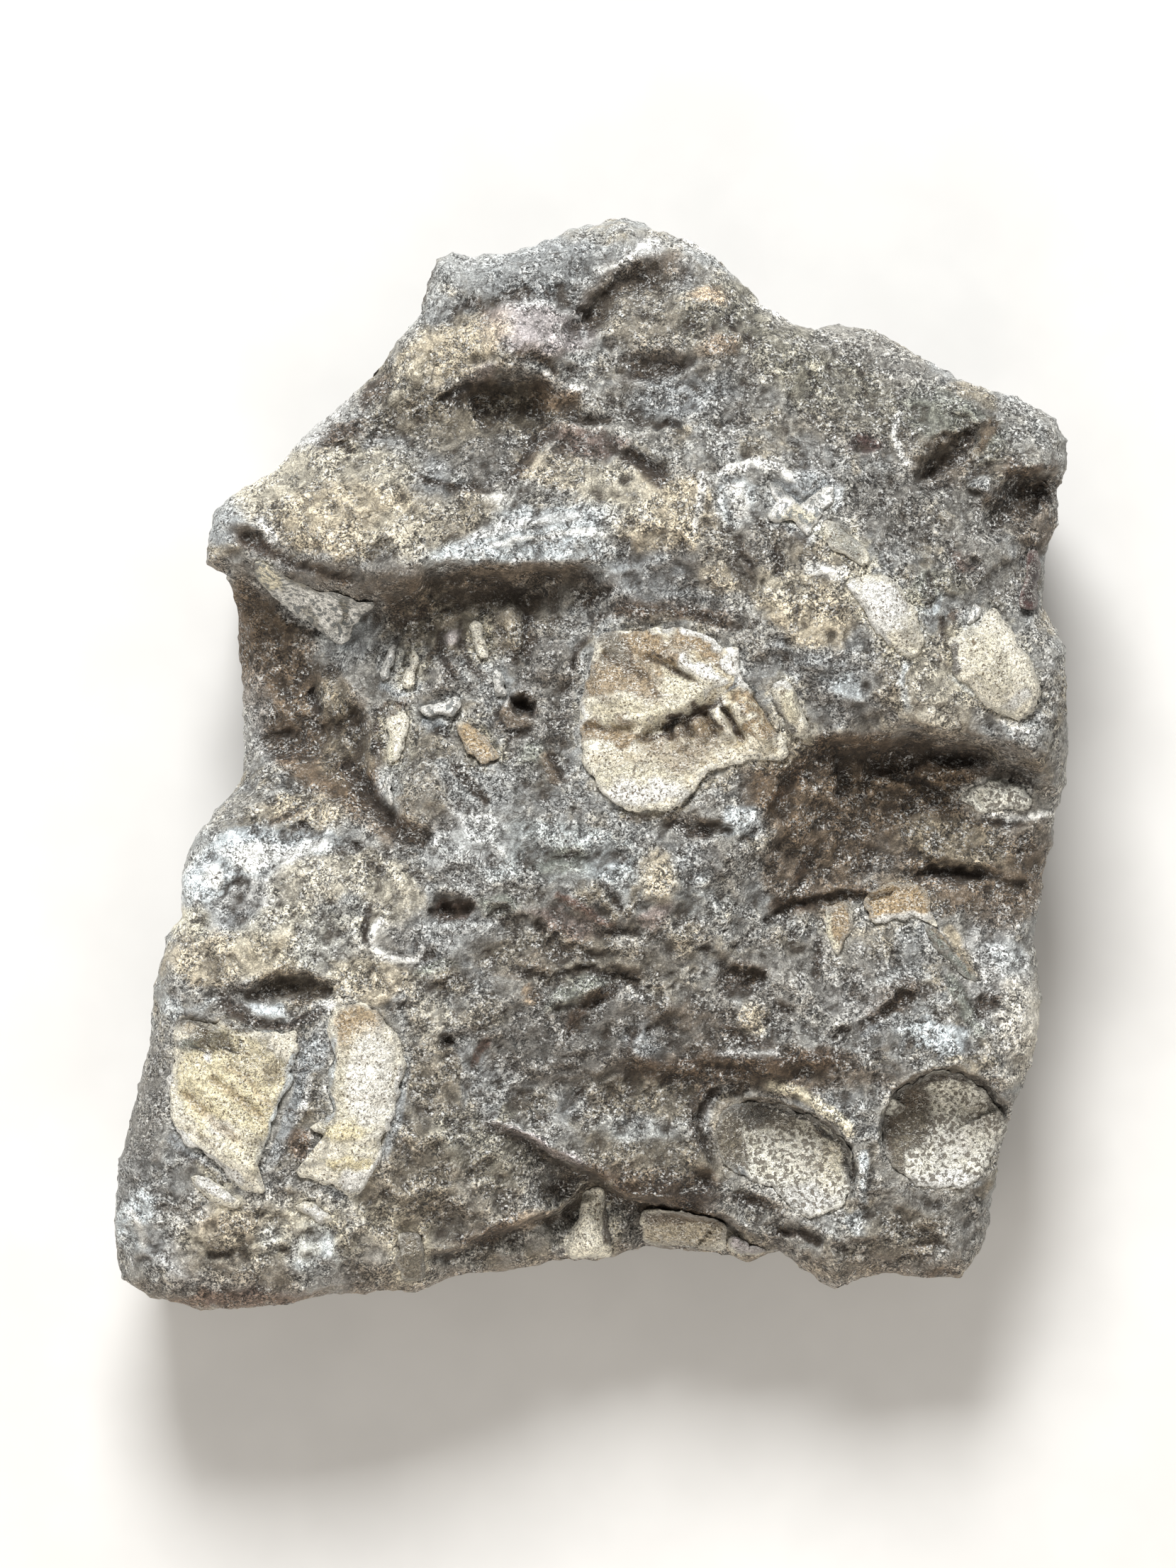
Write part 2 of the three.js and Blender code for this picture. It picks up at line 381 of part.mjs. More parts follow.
// The shells: outline clockwise as seen from above, rings of facets, how proud each stands and how it swells.
const shells = [
  { name: 'center_pygidium', paint: tan, rings: 7, proud: 0.7, swell: 0.6, depth: 2.4,
    outline: [[0.6, 13.2], [1.4, 14.7], [3.4, 14.9], [5.8, 15.1], [8.1, 15.6], [11, 15.4], [13.6, 14.1], [14.9, 13.2],
      [16.8, 13], [16.7, 10.8], [17.2, 9.2], [18.2, 8.3], [19.4, 7.2], [20.6, 4.8], [22.4, 1.9], [21.9, 0.6],
      [19.9, 0.4], [17.9, 0.4], [15.4, -0.3], [13.8, -0.9], [12.2, -2.5], [10.2, -4.7], [8.1, -5.4], [5.2, -5.4],
      [3.4, -4.9], [1.8, -3.8], [0.1, -1.7], [-0.8, 0.8], [-1.2, 3.2], [-1.1, 6], [-0.5, 9.4]] },
  { name: 'center_rib_tip', paint: tan,
    outline: [[20.2, 7.8], [20.3, 9.1], [21.4, 9.5], [22.7, 8.6], [23.6, 6.8], [24.7, 4.6], [24.6, 3], [23.3, 2.9],
      [21.9, 4.6], [20.9, 6.4]] },
  { name: 'lower_pygidium_left', paint: tan, rings: 5, proud: 0.8, swell: 0.8, depth: 2,
    outline: [[-46.9, -29.2], [-43.9, -28.6], [-39, -29.1], [-37.1, -30.2], [-34.8, -30.2], [-32.6, -29.8],
      [-32.7, -31.9], [-33.6, -34.7], [-34.1, -37.2], [-35.3, -40.3], [-36, -42.4], [-37.4, -45.2], [-36.6, -47.6],
      [-37.6, -48], [-40.4, -46.7], [-42.8, -44.5], [-45.1, -42.9], [-47.4, -40.3], [-47.7, -37.2], [-47.2, -33.5]] },
  { name: 'lower_pygidium_right', paint: tan, rings: 5, proud: 0.8, swell: 1.2, depth: 2,
    outline: [[-29.6, -29.6], [-28.5, -27.4], [-25.7, -26.9], [-23.3, -28.1], [-21, -31.2], [-20.6, -34.7],
      [-21.4, -37.2], [-22.4, -40.5], [-23.5, -44], [-24.5, -46.4], [-26.6, -48.4], [-28.7, -47.8], [-31, -46.4],
      [-30.6, -44.6], [-30.8, -41], [-29.2, -39.4], [-29.4, -37.2], [-29.6, -34.4], [-28.7, -31.9]] },
  { name: 'lower_rib_left', paint: tan,
    outline: [[-45, -46.2], [-43, -46.2], [-40.6, -48.2], [-39.1, -49.4], [-40, -50.1], [-42, -49.6], [-44, -48]] },
  { name: 'lower_rib_right', paint: tan,
    outline: [[-33.2, -49.8], [-31.6, -49.3], [-29.4, -50.6], [-28.9, -51.6], [-30.2, -51.8], [-32, -50.8]] },
  { name: 'cheek_spine', paint: white, rings: 3, proud: 0.5,
    outline: [[-38.2, 22.4], [-36.8, 22.3], [-34.2, 20.9], [-31, 20], [-28, 19], [-25.8, 18.7], [-24.2, 17.8],
      [-25.4, 16.4], [-26.6, 15.2], [-27.2, 13.7], [-28.4, 13.2], [-29.6, 14], [-31.6, 15.6], [-33.6, 17.2],
      [-35.4, 19], [-36.8, 20.6]] },
  { name: 'thorax_rib_1', paint: white,
    outline: [[-22.4, 14.1], [-21.7, 13.7], [-22.1, 12], [-22.4, 10.5], [-22.8, 9.3], [-23.6, 9.5], [-23.5, 11],
      [-22.9, 12.6]] },
  { name: 'thorax_rib_2', paint: tan,
    outline: [[-20, 13.1], [-19.4, 12.8], [-19.2, 11.3], [-19.6, 9.9], [-19.8, 8.9], [-20.8, 8.8], [-21.1, 9.7],
      [-20.6, 11.4]] },
  { name: 'thorax_rib_3', paint: tan,
    outline: [[-22.8, 6.1], [-20.5, 5.7], [-20.2, 4.8], [-20.5, 3], [-21, 1.2], [-21.6, 0.1], [-22.8, 0.1], [-22.8, 3]] },
  { name: 'thorax_rib_4', paint: white,
    outline: [[-23.2, -0.9], [-22.3, -0.8], [-22, -2.6], [-22, -4.6], [-22.6, -4.9], [-23.1, -3.2]] },
  { name: 'thorax_rib_5', paint: tan,
    outline: [[-15.2, 4.7], [-13.5, 4.8], [-12.2, 3.6], [-10.8, 2], [-9.9, 0.5], [-10.9, 0.1], [-12.5, 0.3],
      [-13.5, 1.1], [-14.3, 2.8]] },
  { name: 'thorax_rib_6', paint: tan,
    outline: [[-13.9, 15.6], [-13, 16.2], [-12.1, 15.8], [-12, 14.6], [-11.6, 13.4], [-11.5, 12.2], [-12.3, 12],
      [-12.9, 13.3]] },
  { name: 'thorax_rib_7', paint: white,
    outline: [[-10.6, 10.6], [-9.9, 10.3], [-9.6, 9], [-9.4, 7.9], [-10.2, 7.4], [-10.9, 7.8], [-10.8, 9.2]] },
  { name: 'thorax_chip', paint: white,
    outline: [[-19.2, 6.2], [-17.9, 6.7], [-16.4, 7.1], [-15, 7.7], [-14.7, 6.4], [-15.5, 5.3], [-17.5, 5.2],
      [-18.8, 5.2]] },
  { name: 'upper_shell', paint: white,
    outline: [[19.8, 31.9], [21.4, 31.2], [22.6, 29.8], [23.9, 28.9], [24.9, 29.6], [26.2, 31.1], [27.4, 31.2],
      [27.6, 29.4], [26.2, 28.2], [25.4, 26.8], [24.6, 25.7], [23.2, 26.6], [21.4, 27], [20.2, 27.8], [20.9, 29.2],
      [20.3, 30.4]] },
  { name: 'shell_strip', paint: tan,
    outline: [[26.7, 27.2], [27.9, 26.8], [30.2, 25], [31.5, 22.9], [30.6, 22], [29, 22.9], [26.9, 24.4], [26.1, 25.8]] },
  { name: 'shell_oval_1', paint: tan, rings: 3, swell: 0.7,
    outline: [[28.6, 20.2], [30.2, 21.1], [31.8, 21.4], [33.6, 20.7], [35.4, 19.2], [36.8, 17], [37.5, 14.8],
      [37.2, 12.8], [36, 11.8], [34, 12.9], [32, 14.7], [30.6, 16.6], [29.8, 18.4]] },
  { name: 'shell_oval_2', paint: tan, rings: 3, swell: 0.9,
    outline: [[40.5, 13.8], [41.6, 14.9], [43.2, 15.2], [45.2, 17.6], [46.4, 16.6], [47.6, 15], [49, 13], [50, 10.6],
      [50.9, 8.2], [50.4, 6.2], [48.8, 5.2], [47, 5.5], [45, 6.2], [43, 8], [41.3, 9.8], [40.4, 11.4]] },
  { name: 'shell_stick', paint: white,
    outline: [[43.2, 17.9], [44, 17.7], [43.5, 16.3], [43, 15.8], [42.3, 15.7], [42.6, 16.6]] },
  { name: 'edge_shell', paint: brown,
    outline: [[49.4, 23.6], [50.4, 24], [50.8, 22], [50.6, 19.8], [50.6, 17.8], [49.6, 17.1], [48.3, 18.1],
      [48.8, 20.4]] },
  { name: 'hollow_shell', paint: speckled,
    outline: [[41.8, -3.7], [43.4, -2.6], [45.6, -1.9], [48, -1.8], [49.4, -3], [50.4, -4.3], [49.2, -5.2],
      [46.6, -5.4], [44.2, -5.2], [42.6, -4.6]] },
  { name: 'lower_leaf', paint: tan,
    outline: [[26.4, -16.2], [27.5, -15.4], [29, -15.5], [29.6, -16.8], [29.4, -18.5], [28.8, -20.2], [28, -21.5],
      [27.3, -20.3], [26.6, -18.6]] },
  { name: 'lower_tan_shell', paint: tan,
    outline: [[31.4, -15.6], [32.8, -14.4], [35, -13.9], [36.6, -13.9], [38, -14.9], [39.1, -16.6], [39.2, -17.5],
      [37.5, -17.2], [35.4, -17.4], [33.2, -17.8], [31.9, -18], [31.3, -16.9]] },
  { name: 'lower_sliver', paint: speckled,
    outline: [[37.9, -18.5], [38.8, -18.2], [41, -20.4], [43.1, -22.8], [43.7, -24.5], [42.2, -24.1], [40.2, -21.9],
      [38.6, -20]] },
  { name: 'cup_shell_left', paint: speckled, rings: 4, proud: 0.2, swell: 0,
    outline: [[15, -38.8], [17.4, -38.2], [20.8, -38.2], [24, -39.2], [27.2, -41.1], [29.3, -43.3], [29.7, -46],
      [29.4, -49.2], [28, -50.6], [25, -51.2], [22.6, -50], [20, -47.8], [17, -46.6], [14.7, -44.6], [14.1, -41.5]] },
  { name: 'cup_shell_right', paint: speckled, rings: 4, proud: 0.2, swell: 0,
    outline: [[33, -39.8], [34.5, -37.2], [37.8, -35.2], [41, -34.8], [44.2, -36.2], [46.4, -38.7], [47.2, -41],
      [46.2, -43.7], [44.2, -46.6], [41.7, -48], [38.4, -47.8], [35.4, -46.8], [33.6, -45]] },
  { name: 'bottom_column_1', paint: tan, rings: 2, swell: 0.4,
    outline: [[-0.6, -48.2], [1.5, -47.9], [1.9, -50], [2.3, -53], [2.5, -55.4], [1, -56], [-2, -56], [-2.8, -55.2],
      [-2.2, -53.4], [-1.3, -51.4], [-1, -49.8]] },
  { name: 'bottom_column_2', paint: tan, rings: 2, swell: 0.3,
    outline: [[6.2, -50.6], [9.6, -50.6], [13, -51.2], [15, -52], [15.2, -53.4], [15, -55.2], [12, -55], [9, -54.7],
      [6.3, -54.4], [5.9, -52.6]] },
  { name: 'bottom_column_3', paint: tan,
    outline: [[16, -53.4], [17.2, -53.5], [19, -54.4], [20.4, -55.1], [19.8, -55.5], [17.8, -55.9], [16, -55.4]] },
  { name: 'bottom_rib', paint: tan,
    outline: [[-21.6, -53.2], [-20.3, -52.7], [-18.9, -53], [-18.5, -55], [-18.7, -57.8], [-20, -58.6],
      [-21.3, -58.4], [-21.7, -56]] },
];

function shellHeight(x, y) {
  let z = face(x, y) - rimFall(x, y);
  for (const { line, half, rise } of ridges) {
    const { d, at } = nearest(x, y, line);
    z += rise * Math.exp(-((d / half) ** 2)) * ease(-0.01, 0.1, at) * ease(1.01, 0.9, at);
  }
  return z;
}

const wasm = await Module();
wasm.setup();
const group = new THREE.Group();
group.name = 'trilobite_block';
let block = solid(blockGeometry());

for (const { name, paint, rings = 2, proud = 0.4, swell = 0.35, depth = 1.5, outline } of shells) {
  const ring = [...outline].reverse();
  const center = [0, 1].map((a) => ring.reduce((s, p) => s + p[a] / ring.length, 0));
  const plane = bedPlane(ring, ...center);
  const bottom = (x, y) => plane(x, y) - depth;
  const top = (x, y, f) => Math.max(shellHeight(x, y) + proud + swell * (1 - f * f), bottom(x, y) + thinnest);
  const shell = slab(ring, center, rings, top, bottom);
  const bedTop = (x, y) => plane(x, y) + bedHeadroom, bedFloor = (x, y) => bottom(x, y) - bedGap;
  const bed = slab(grown(ring, bedGap), center, 1, bedTop, bedFloor);
  block = block.subtract(solid(bed));
  const mesh = new THREE.Mesh(shell, paint);
  mesh.name = name;
  group.add(mesh);
}

const cut = block.decompose().sort((a, b) => b.volume() - a.volume())[0].getMesh();
const stoneGeometry = new THREE.BufferGeometry();
stoneGeometry.setAttribute('position', new THREE.BufferAttribute(new Float32Array(cut.vertProperties), 3));
stoneGeometry.setIndex(new THREE.BufferAttribute(new Uint32Array(cut.triVerts), 1));
const matrix = new THREE.Mesh(stoneGeometry, stone);
matrix.name = 'matrix';
group.add(matrix);

export default group;
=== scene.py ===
import math
import bpy
import numpy as np
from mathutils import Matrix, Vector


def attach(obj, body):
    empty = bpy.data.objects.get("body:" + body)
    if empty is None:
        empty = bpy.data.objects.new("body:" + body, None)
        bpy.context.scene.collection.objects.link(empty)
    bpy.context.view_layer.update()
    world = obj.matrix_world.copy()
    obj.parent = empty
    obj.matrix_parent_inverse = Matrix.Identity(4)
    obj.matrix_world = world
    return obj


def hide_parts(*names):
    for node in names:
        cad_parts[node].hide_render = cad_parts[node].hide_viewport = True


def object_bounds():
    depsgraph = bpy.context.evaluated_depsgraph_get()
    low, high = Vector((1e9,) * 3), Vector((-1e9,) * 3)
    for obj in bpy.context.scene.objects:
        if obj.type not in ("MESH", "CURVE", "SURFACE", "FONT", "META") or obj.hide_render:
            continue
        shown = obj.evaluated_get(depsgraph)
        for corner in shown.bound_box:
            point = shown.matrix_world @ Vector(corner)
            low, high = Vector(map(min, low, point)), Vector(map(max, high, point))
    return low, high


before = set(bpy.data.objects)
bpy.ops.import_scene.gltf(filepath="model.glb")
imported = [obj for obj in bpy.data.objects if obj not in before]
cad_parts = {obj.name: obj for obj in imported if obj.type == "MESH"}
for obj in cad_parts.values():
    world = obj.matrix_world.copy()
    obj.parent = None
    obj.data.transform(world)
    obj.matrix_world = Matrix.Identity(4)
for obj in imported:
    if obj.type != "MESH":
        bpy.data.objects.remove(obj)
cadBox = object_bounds()
mm = 0.001

# Outline of the block in four stretches, clockwise: top, right, bottom, left (mm, as in the solids)
margin = [
  [[-24, 44.4], [-22, 48], [-19.2, 51.4], [-18.4, 56], [-17.5, 57.7], [-15.6, 58.6], [-13.6, 57.9],
    [-8, 58.3], [-5, 59.7], [-2.4, 61], [3.4, 61.9], [7, 61], [12, 59.7], [14.4, 57.6], [17, 55.2],
    [18.9, 52.8], [22.6, 50.2], [25.4, 49.4], [27, 49.9], [31.8, 49.7], [35, 47.7], [39, 45.3], [43.4, 43],
    [48.6, 41.8], [52.6, 39.2]],
  [[52.6, 39.2], [54, 36.6], [54.4, 33.6], [53.2, 30.8], [53.2, 27], [51.8, 23.9], [51.4, 18], [54, 13],
    [54.2, 9], [54.3, 1.4], [53.4, -4], [52.2, -10], [51.4, -16], [50.6, -20], [51.6, -26], [51.2, -31],
    [49.4, -37], [47, -43], [45.7, -50], [44.7, -55]],
  [[44.7, -55], [42.4, -58.4], [38, -58.8], [34, -58], [31, -58.8], [28, -60.2], [24.6, -57.6], [21.4, -55.2],
    [18, -56.4], [14, -55.8], [6, -55], [2, -56.6], [-4, -56.6], [-10, -57.8], [-16, -58.8], [-21, -60],
    [-31, -60.4], [-35, -61.7], [-44, -61.9], [-50, -60.8], [-53.4, -58.4]],
  [[-53.4, -58.4], [-54.4, -52], [-53.6, -46], [-52, -39], [-50, -31], [-49.6, -25], [-48.4, -21],
    [-46.4, -17.2], [-46.6, -12.8], [-44.6, -8], [-41.4, -4], [-39.6, -1.5], [-39.6, 5], [-40, 12.6],
    [-40.4, 18], [-41.6, 21.6], [-44, 22.9], [-43.4, 28.6], [-41, 30.6], [-36, 33.2], [-33, 37], [-28, 41],
    [-24, 44.4]],
]

spots = [  # x, y, height
  # narrow end
  [-16, 55, 29], [-8, 56, 31], [0, 58, 30], [8, 58, 29], [14, 54, 29], [-15, 51, 33], [-5, 53, 35],
  [2, 53.5, 31], [7, 54.5, 31], [12, 51.5, 35.5], [19, 49, 31], [-8, 48.5, 37.5], [0, 47, 34.5],
  [8, 49, 36.5], [14, 47.5, 36], [20, 44, 35.5], [27, 46, 31], [33, 45, 30], [5, 44, 33], [10, 42.5, 36.5],
  [2, 41, 35.5],
  # left shoulder and the slab over the left ledge
  [-20, 46, 33.5], [-25, 42, 31], [-30, 38, 30.5], [-35, 34, 30], [-41, 28, 29], [-28, 31, 36.5],
  [-34, 27, 36], [-20, 29, 38.5], [-12, 41, 31], [-7, 40, 32], [-12, 34, 34], [-18, 37, 33], [-3, 36, 33],
  [2, 36, 34], [-5, 32, 38], [-10, 26, 39.5], [0, 26, 40.5], [-20, 24, 40], [-29, 24, 38.5], [-38, 25, 34],
  # right shoulder
  [8, 31, 39.5], [10, 24, 41], [18, 31, 40.5], [18, 38, 38], [28, 39, 36.5], [37, 40, 34], [44, 40, 32.5],
  [50, 36, 31.5], [29, 31, 39], [37, 35, 36], [40, 33, 33], [46, 32, 36], [50, 28, 29.5], [49, 20, 32],
  [43, 24, 36], [35, 24, 39], [25, 22, 41], [18, 18, 39], [22, 12, 39], [31, 12, 39], [40, 12, 37.5],
  [47, 11, 37], [52, 9, 32.5], [40, 6, 37], [31, 6, 37], [49, 4, 34],
  # recess under the left ledge
  [-36, 19, 25], [-37.5, 10, 20.5], [-37.5, 2, 21.5], [-30, 16, 27], [-31, 9, 24.5], [-31, 3, 24],
  [-24, 14, 31], [-17, 16, 31.5], [-9, 17, 33], [-3, 17, 34], [5, 18, 35.5], [11, 19, 36.5], [-24, 4, 30.5],
  [-17, 4, 31.5], [-11, 8, 33],
  # middle
  [-6, 6, 33], [-6, 0, 34.5], [-3, 10, 34.5], [2, 12, 36], [8, 8, 37], [6, 1, 36], [7, -4, 36.5], [17, 4, 37],
  [-27, -4, 30.5], [-20, -6, 33.5], [-17, -3, 35], [-10, -7, 36], [0, -9, 36.5], [10, -9, 37], [17, -6, 37.5],
  [20, 0, 37], [22, 3, 37], [-14, -14, 35], [-6, -14, 35.5], [3, -14, 35.5], [10, -15, 35], [16, -12, 35],
  # left mound
  [-35, -4, 30], [-38, -9, 32], [-43, -13, 32], [-36, -17, 36], [-28, -13, 35.5], [-44, -20, 34],
  [-36, -23, 35.5], [-28, -21, 35.5], [-20, -20, 35],
  # hollow at the right
  [27, 0, 30.5], [34, -1, 27.5], [42, 0, 28], [50, 0, 28.5], [25, -7, 29], [33, -7, 26], [43, -7, 26.5],
  [50, -9, 26], [22, -13, 29], [30, -13, 25], [40, -14, 25], [48, -16, 25],
  # lower step
  [0, -21, 33], [10, -21, 32.5], [17, -20, 31], [24, -19, 28.5], [32, -19, 28.5], [40, -21, 27.5],
  [48, -22, 26], [-9, -23, 33], [-1, -29, 32], [9, -29, 31], [18, -28, 30], [28, -27, 30], [38, -26, 28.5],
  [47, -29, 27], [28, -32, 29.5], [40, -31, 29], [-14, -30, 33], [-17, -38, 33], [-9, -36, 31], [0, -37, 29],
  [8, -38, 29], [4, -43, 28.5], [-6, -42, 30], [12, -46, 27],
  # round the two cups
  [30, -36, 28], [31, -42, 27.5], [16, -37, 28], [47, -38, 25.5], [21, -43, 24], [25, -47, 26], [40, -42, 24],
  [40, -47, 25.5], [31, -49, 26],
  # lower left, round the paired shells
  [-43, -33, 34.5], [-42, -43, 35], [-33, -36, 34], [-27, -33, 35.5], [-26, -43, 35], [-49, -36, 30],
  [-51, -48, 29], [-44, -51, 33], [-34, -51, 33], [-25, -51, 32], [-15, -45, 32.5], [-10, -47, 31],
  [-52, -56, 26], [-43, -58, 28.5], [-32, -57, 28.5], [-22, -56, 27.5],
  # bottom slope
  [-13, -53, 25], [-6, -52, 22], [0, -52, 22], [10, -53, 21], [20, -54, 22], [19, -49, 25.5], [26, -52, 24.5],
  [28, -57, 22], [36, -55, 22.5], [42, -54, 22],
]

ledges = [  # the lip, how far it drops to its right, width of the steep face, reach
  {"lip": [[-39.5, 25.2], [-36, 22.6], [-32, 21.6], [-27, 19.6], [-24, 19.4], [-20.5, 20.6], [-18, 22.8],
    [-10, 23.4], [0, 23], [4, 22.6]], "drop": 4.6, "face": 3.2, "reach": 13},
  {"lip": [[-16, 41.2], [-14.5, 42.4], [-12, 43.2], [-9, 44.6], [-5, 44], [-2, 42.6]],
    "drop": 2.4, "face": 2, "reach": 9},
  {"lip": [[-17, 31.6], [-14, 30.8], [-11, 30.6], [-8.5, 31.8], [-7, 34.5], [-5.5, 37], [-3, 38.4], [2, 38.2],
    [6, 37.5], [11, 38.2]], "drop": -1.8, "face": 0.8, "reach": 5},
  {"lip": [[2, 35.4], [4.5, 34], [6.5, 31.8], [8.6, 31]], "drop": -2, "face": 0.8, "reach": 3.5},
  {"lip": [[37, 32.2], [39.5, 31.6], [42, 32.6], [43.6, 35], [44.6, 38.6]],
    "drop": -2.5, "face": 1.2, "reach": 6},
  {"lip": [[43, 30.4], [46, 31], [49, 33], [52.5, 32.5], [54, 31]], "drop": 3.6, "face": 2.4, "reach": 7},
  {"lip": [[22.5, 1.5], [25.5, 3.6], [31, 3.4], [35.5, 3.6], [39, 4.8], [43, 4], [48, 2.6], [54, 1.6]],
    "drop": 5.2, "face": 3.2, "reach": 12},
  {"lip": [[19, -19], [19.6, -16.6], [22.4, -14.9], [27, -14.8], [32, -14], [36.5, -13]],
    "drop": 1.4, "face": 0.7, "reach": 4},
  {"lip": [[0, -34], [5, -32.4], [9.6, -33.8], [15, -32.2], [21, -34], [26, -33.2], [30, -31.8], [33, -32.8]],
    "drop": 1.5, "face": 1.8, "reach": 7, "fade": 0.3},
  {"lip": [[-13, -39.4], [-7.7, -41.5], [-2, -44.8], [1.5, -47.2], [6.5, -49.2], [11.4, -50], [15, -50.8],
    [18, -53.2], [21, -54.8]], "drop": 5.5, "face": 1.2, "reach": 9, "fade": 0.3},
  {"lip": [[-20, -54.8], [-14.5, -54], [-11, -51.4], [-7, -49.9], [-3, -49.4], [-0.5, -47.5]],
    "drop": 4.5, "face": 1.2, "reach": 8},
  # left side of the middle, round a small boss
  {"lip": [[-28, 13.4], [-25.6, 8], [-24.6, 2], [-23.6, -3], [-21, -6.6], [-17.6, -8.6]],
    "drop": 2.6, "face": 1.6, "reach": 7, "fade": 0.3},
  # rims of the two cups
  {"lip": [[14, -46.4], [12, -43], [11.5, -39.8], [13, -36.6], [15.5, -35.3], [18.3, -35.6], [19.4, -36.8]],
    "drop": 2.2, "face": 0.7, "reach": 4, "carved": True},
  {"lip": [[15.6, -38], [17.4, -37.6], [20.8, -37.8], [24.2, -38.9], [27.5, -40.8], [29.7, -43], [30.4, -46],
    [29.8, -50.6]], "drop": 3, "face": 0.6, "reach": 7, "carved": True},
  {"lip": [[33.2, -46], [32.4, -42], [32.8, -39.4], [34.3, -36.6], [37.6, -34.5], [41.1, -34], [44.7, -35.5],
    [47.4, -38.5], [48, -42]], "drop": 3.6, "face": 0.8, "reach": 8, "carved": True},
  {"lip": [[-40.5, -24.6], [-37, -24.2], [-33, -23.6], [-29, -24.2], [-27, -25.6]],
    "drop": 1.2, "face": 1.2, "reach": 4.5},
]

lumps = [  # x, y, half length, half width, turn, rise
  [-7.5, 48.5, 6.5, 3.6, -8, 2.2], [12, 52, 4.4, 3, 20, 1.2], [13, 47.2, 3.5, 2.2, -10, 0.8],
  [5.5, 48.6, 4, 2, 0, 0.8], [5.5, 55, 5, 2.2, 20, -1.8], [0.8, 50.8, 2.2, 4, -35, -2.2],
  [6, 44.6, 4.4, 1.4, 6, -1], [-10.6, 40, 6, 3.6, 5, -1.6], [38, 34.4, 5.4, 3.6, 20, 1.5],
  [40.5, 32.8, 4, 2, 8, -1.2], [49.5, 31.2, 4.6, 1.6, 10, -1.4], [-22.5, 21.4, 4, 2.2, -10, 1.4],
  [-38, 26.3, 2.6, 1.2, -25, -1.6], [-39.8, 28, 2.8, 3, 0, 0.8], [-34, 3, 4, 3, 0, -1.6],
  [-28, 7.6, 2.4, 3, 20, 0.9], [-31.5, 8.6, 1.2, 1.4, 0, -1], [-18.5, -3.6, 4, 4, 0, 1.8],
  [-9, 16, 2.4, 4, 10, 1.3], [-7, 6.8, 1.8, 1, -50, -3], [-4.4, 12.4, 3, 3, 0, 0.8],
  [13, -7.6, 2.4, 0.9, -25, -1.2], [8, -13.4, 3, 3.4, 0, 0.8], [-15.6, -16.2, 2.6, 1.6, -10, -1.8],
  [-40.5, -10.5, 5, 3, -15, 0.8], [-44, -13.5, 3, 3, 0, 0.8], [42, 1.4, 4.4, 1.2, -8, -1.6],
  [46, -3.6, 4.2, 2.4, -10, 1.4], [35, 1, 4.4, 3, 0, -1.2], [41, -12, 5, 1.2, 0, -1.4],
  [21.5, -42.5, 8.4, 5.6, -36, -1.4], [40.8, -40.4, 6.4, 5.6, -12, -1.6], [33.2, 16.8, 3.4, 5.6, 38, 0.8],
  [45.5, 11, 6.6, 4.6, -52, 1.1], [22, -26, 6, 3, 10, 0.6], [6, -27, 4, 2, 12, 0.8],
  [0.8, -26, 3.4, 1, 20, -0.9], [-44, -56, 7, 3, 10, 0.6], [33, -55.6, 6, 2, 4, 0.8],
  # swell of the middle shell's lower blade
  [5.5, -1.5, 8, 4.4, 0, 1.2],
]

ridges = [  # points, half width, rise
  ([[6.5, 14.2], [10, 12], [14.5, 8.5]], 1.7, 1.0),
  ([[0, 10.4], [4, 9.4], [9, 8.6], [13, 7.4]], 1.4, 0.7),
  ([[1, 13], [5, 10.9], [9, 9.8]], 0.9, -0.6),
  ([[-1, 5.6], [4, 5.6], [8, 6.6], [14, 8]], 1.1, 0.9),
  ([[3, 2.8], [7, 3.8], [9.5, 4.9], [13, 5]], 1.0, -1.0),
  ([[17.4, 7.6], [21.4, 1.6]], 1.0, 1.0),
  ([[14, 6.6], [17.8, 2]], 1.0, 1.0),
  ([[11.4, 5.4], [14.2, 1.8]], 0.9, 0.8),
  ([[8.4, 4.4], [10, 2.6]], 0.7, 0.5),
  ([[22, 8.2], [24.2, 3.6]], 0.7, 0.6),
  ([[-46.4, -38.6], [-43, -41.4], [-37.6, -46.6]], 1.3, 0.8),
  ([[-46, -34.4], [-42, -37.4], [-37.4, -42.6]], 1.3, 0.7),
  ([[-43, -33], [-39, -35], [-35.4, -38.6]], 1.3, 0.5),
  ([[-1, -49], [0.2, -56]], 1.6, 1.5),
  ([[10.6, -50], [10.6, -56]], 4.4, 2.2),
]

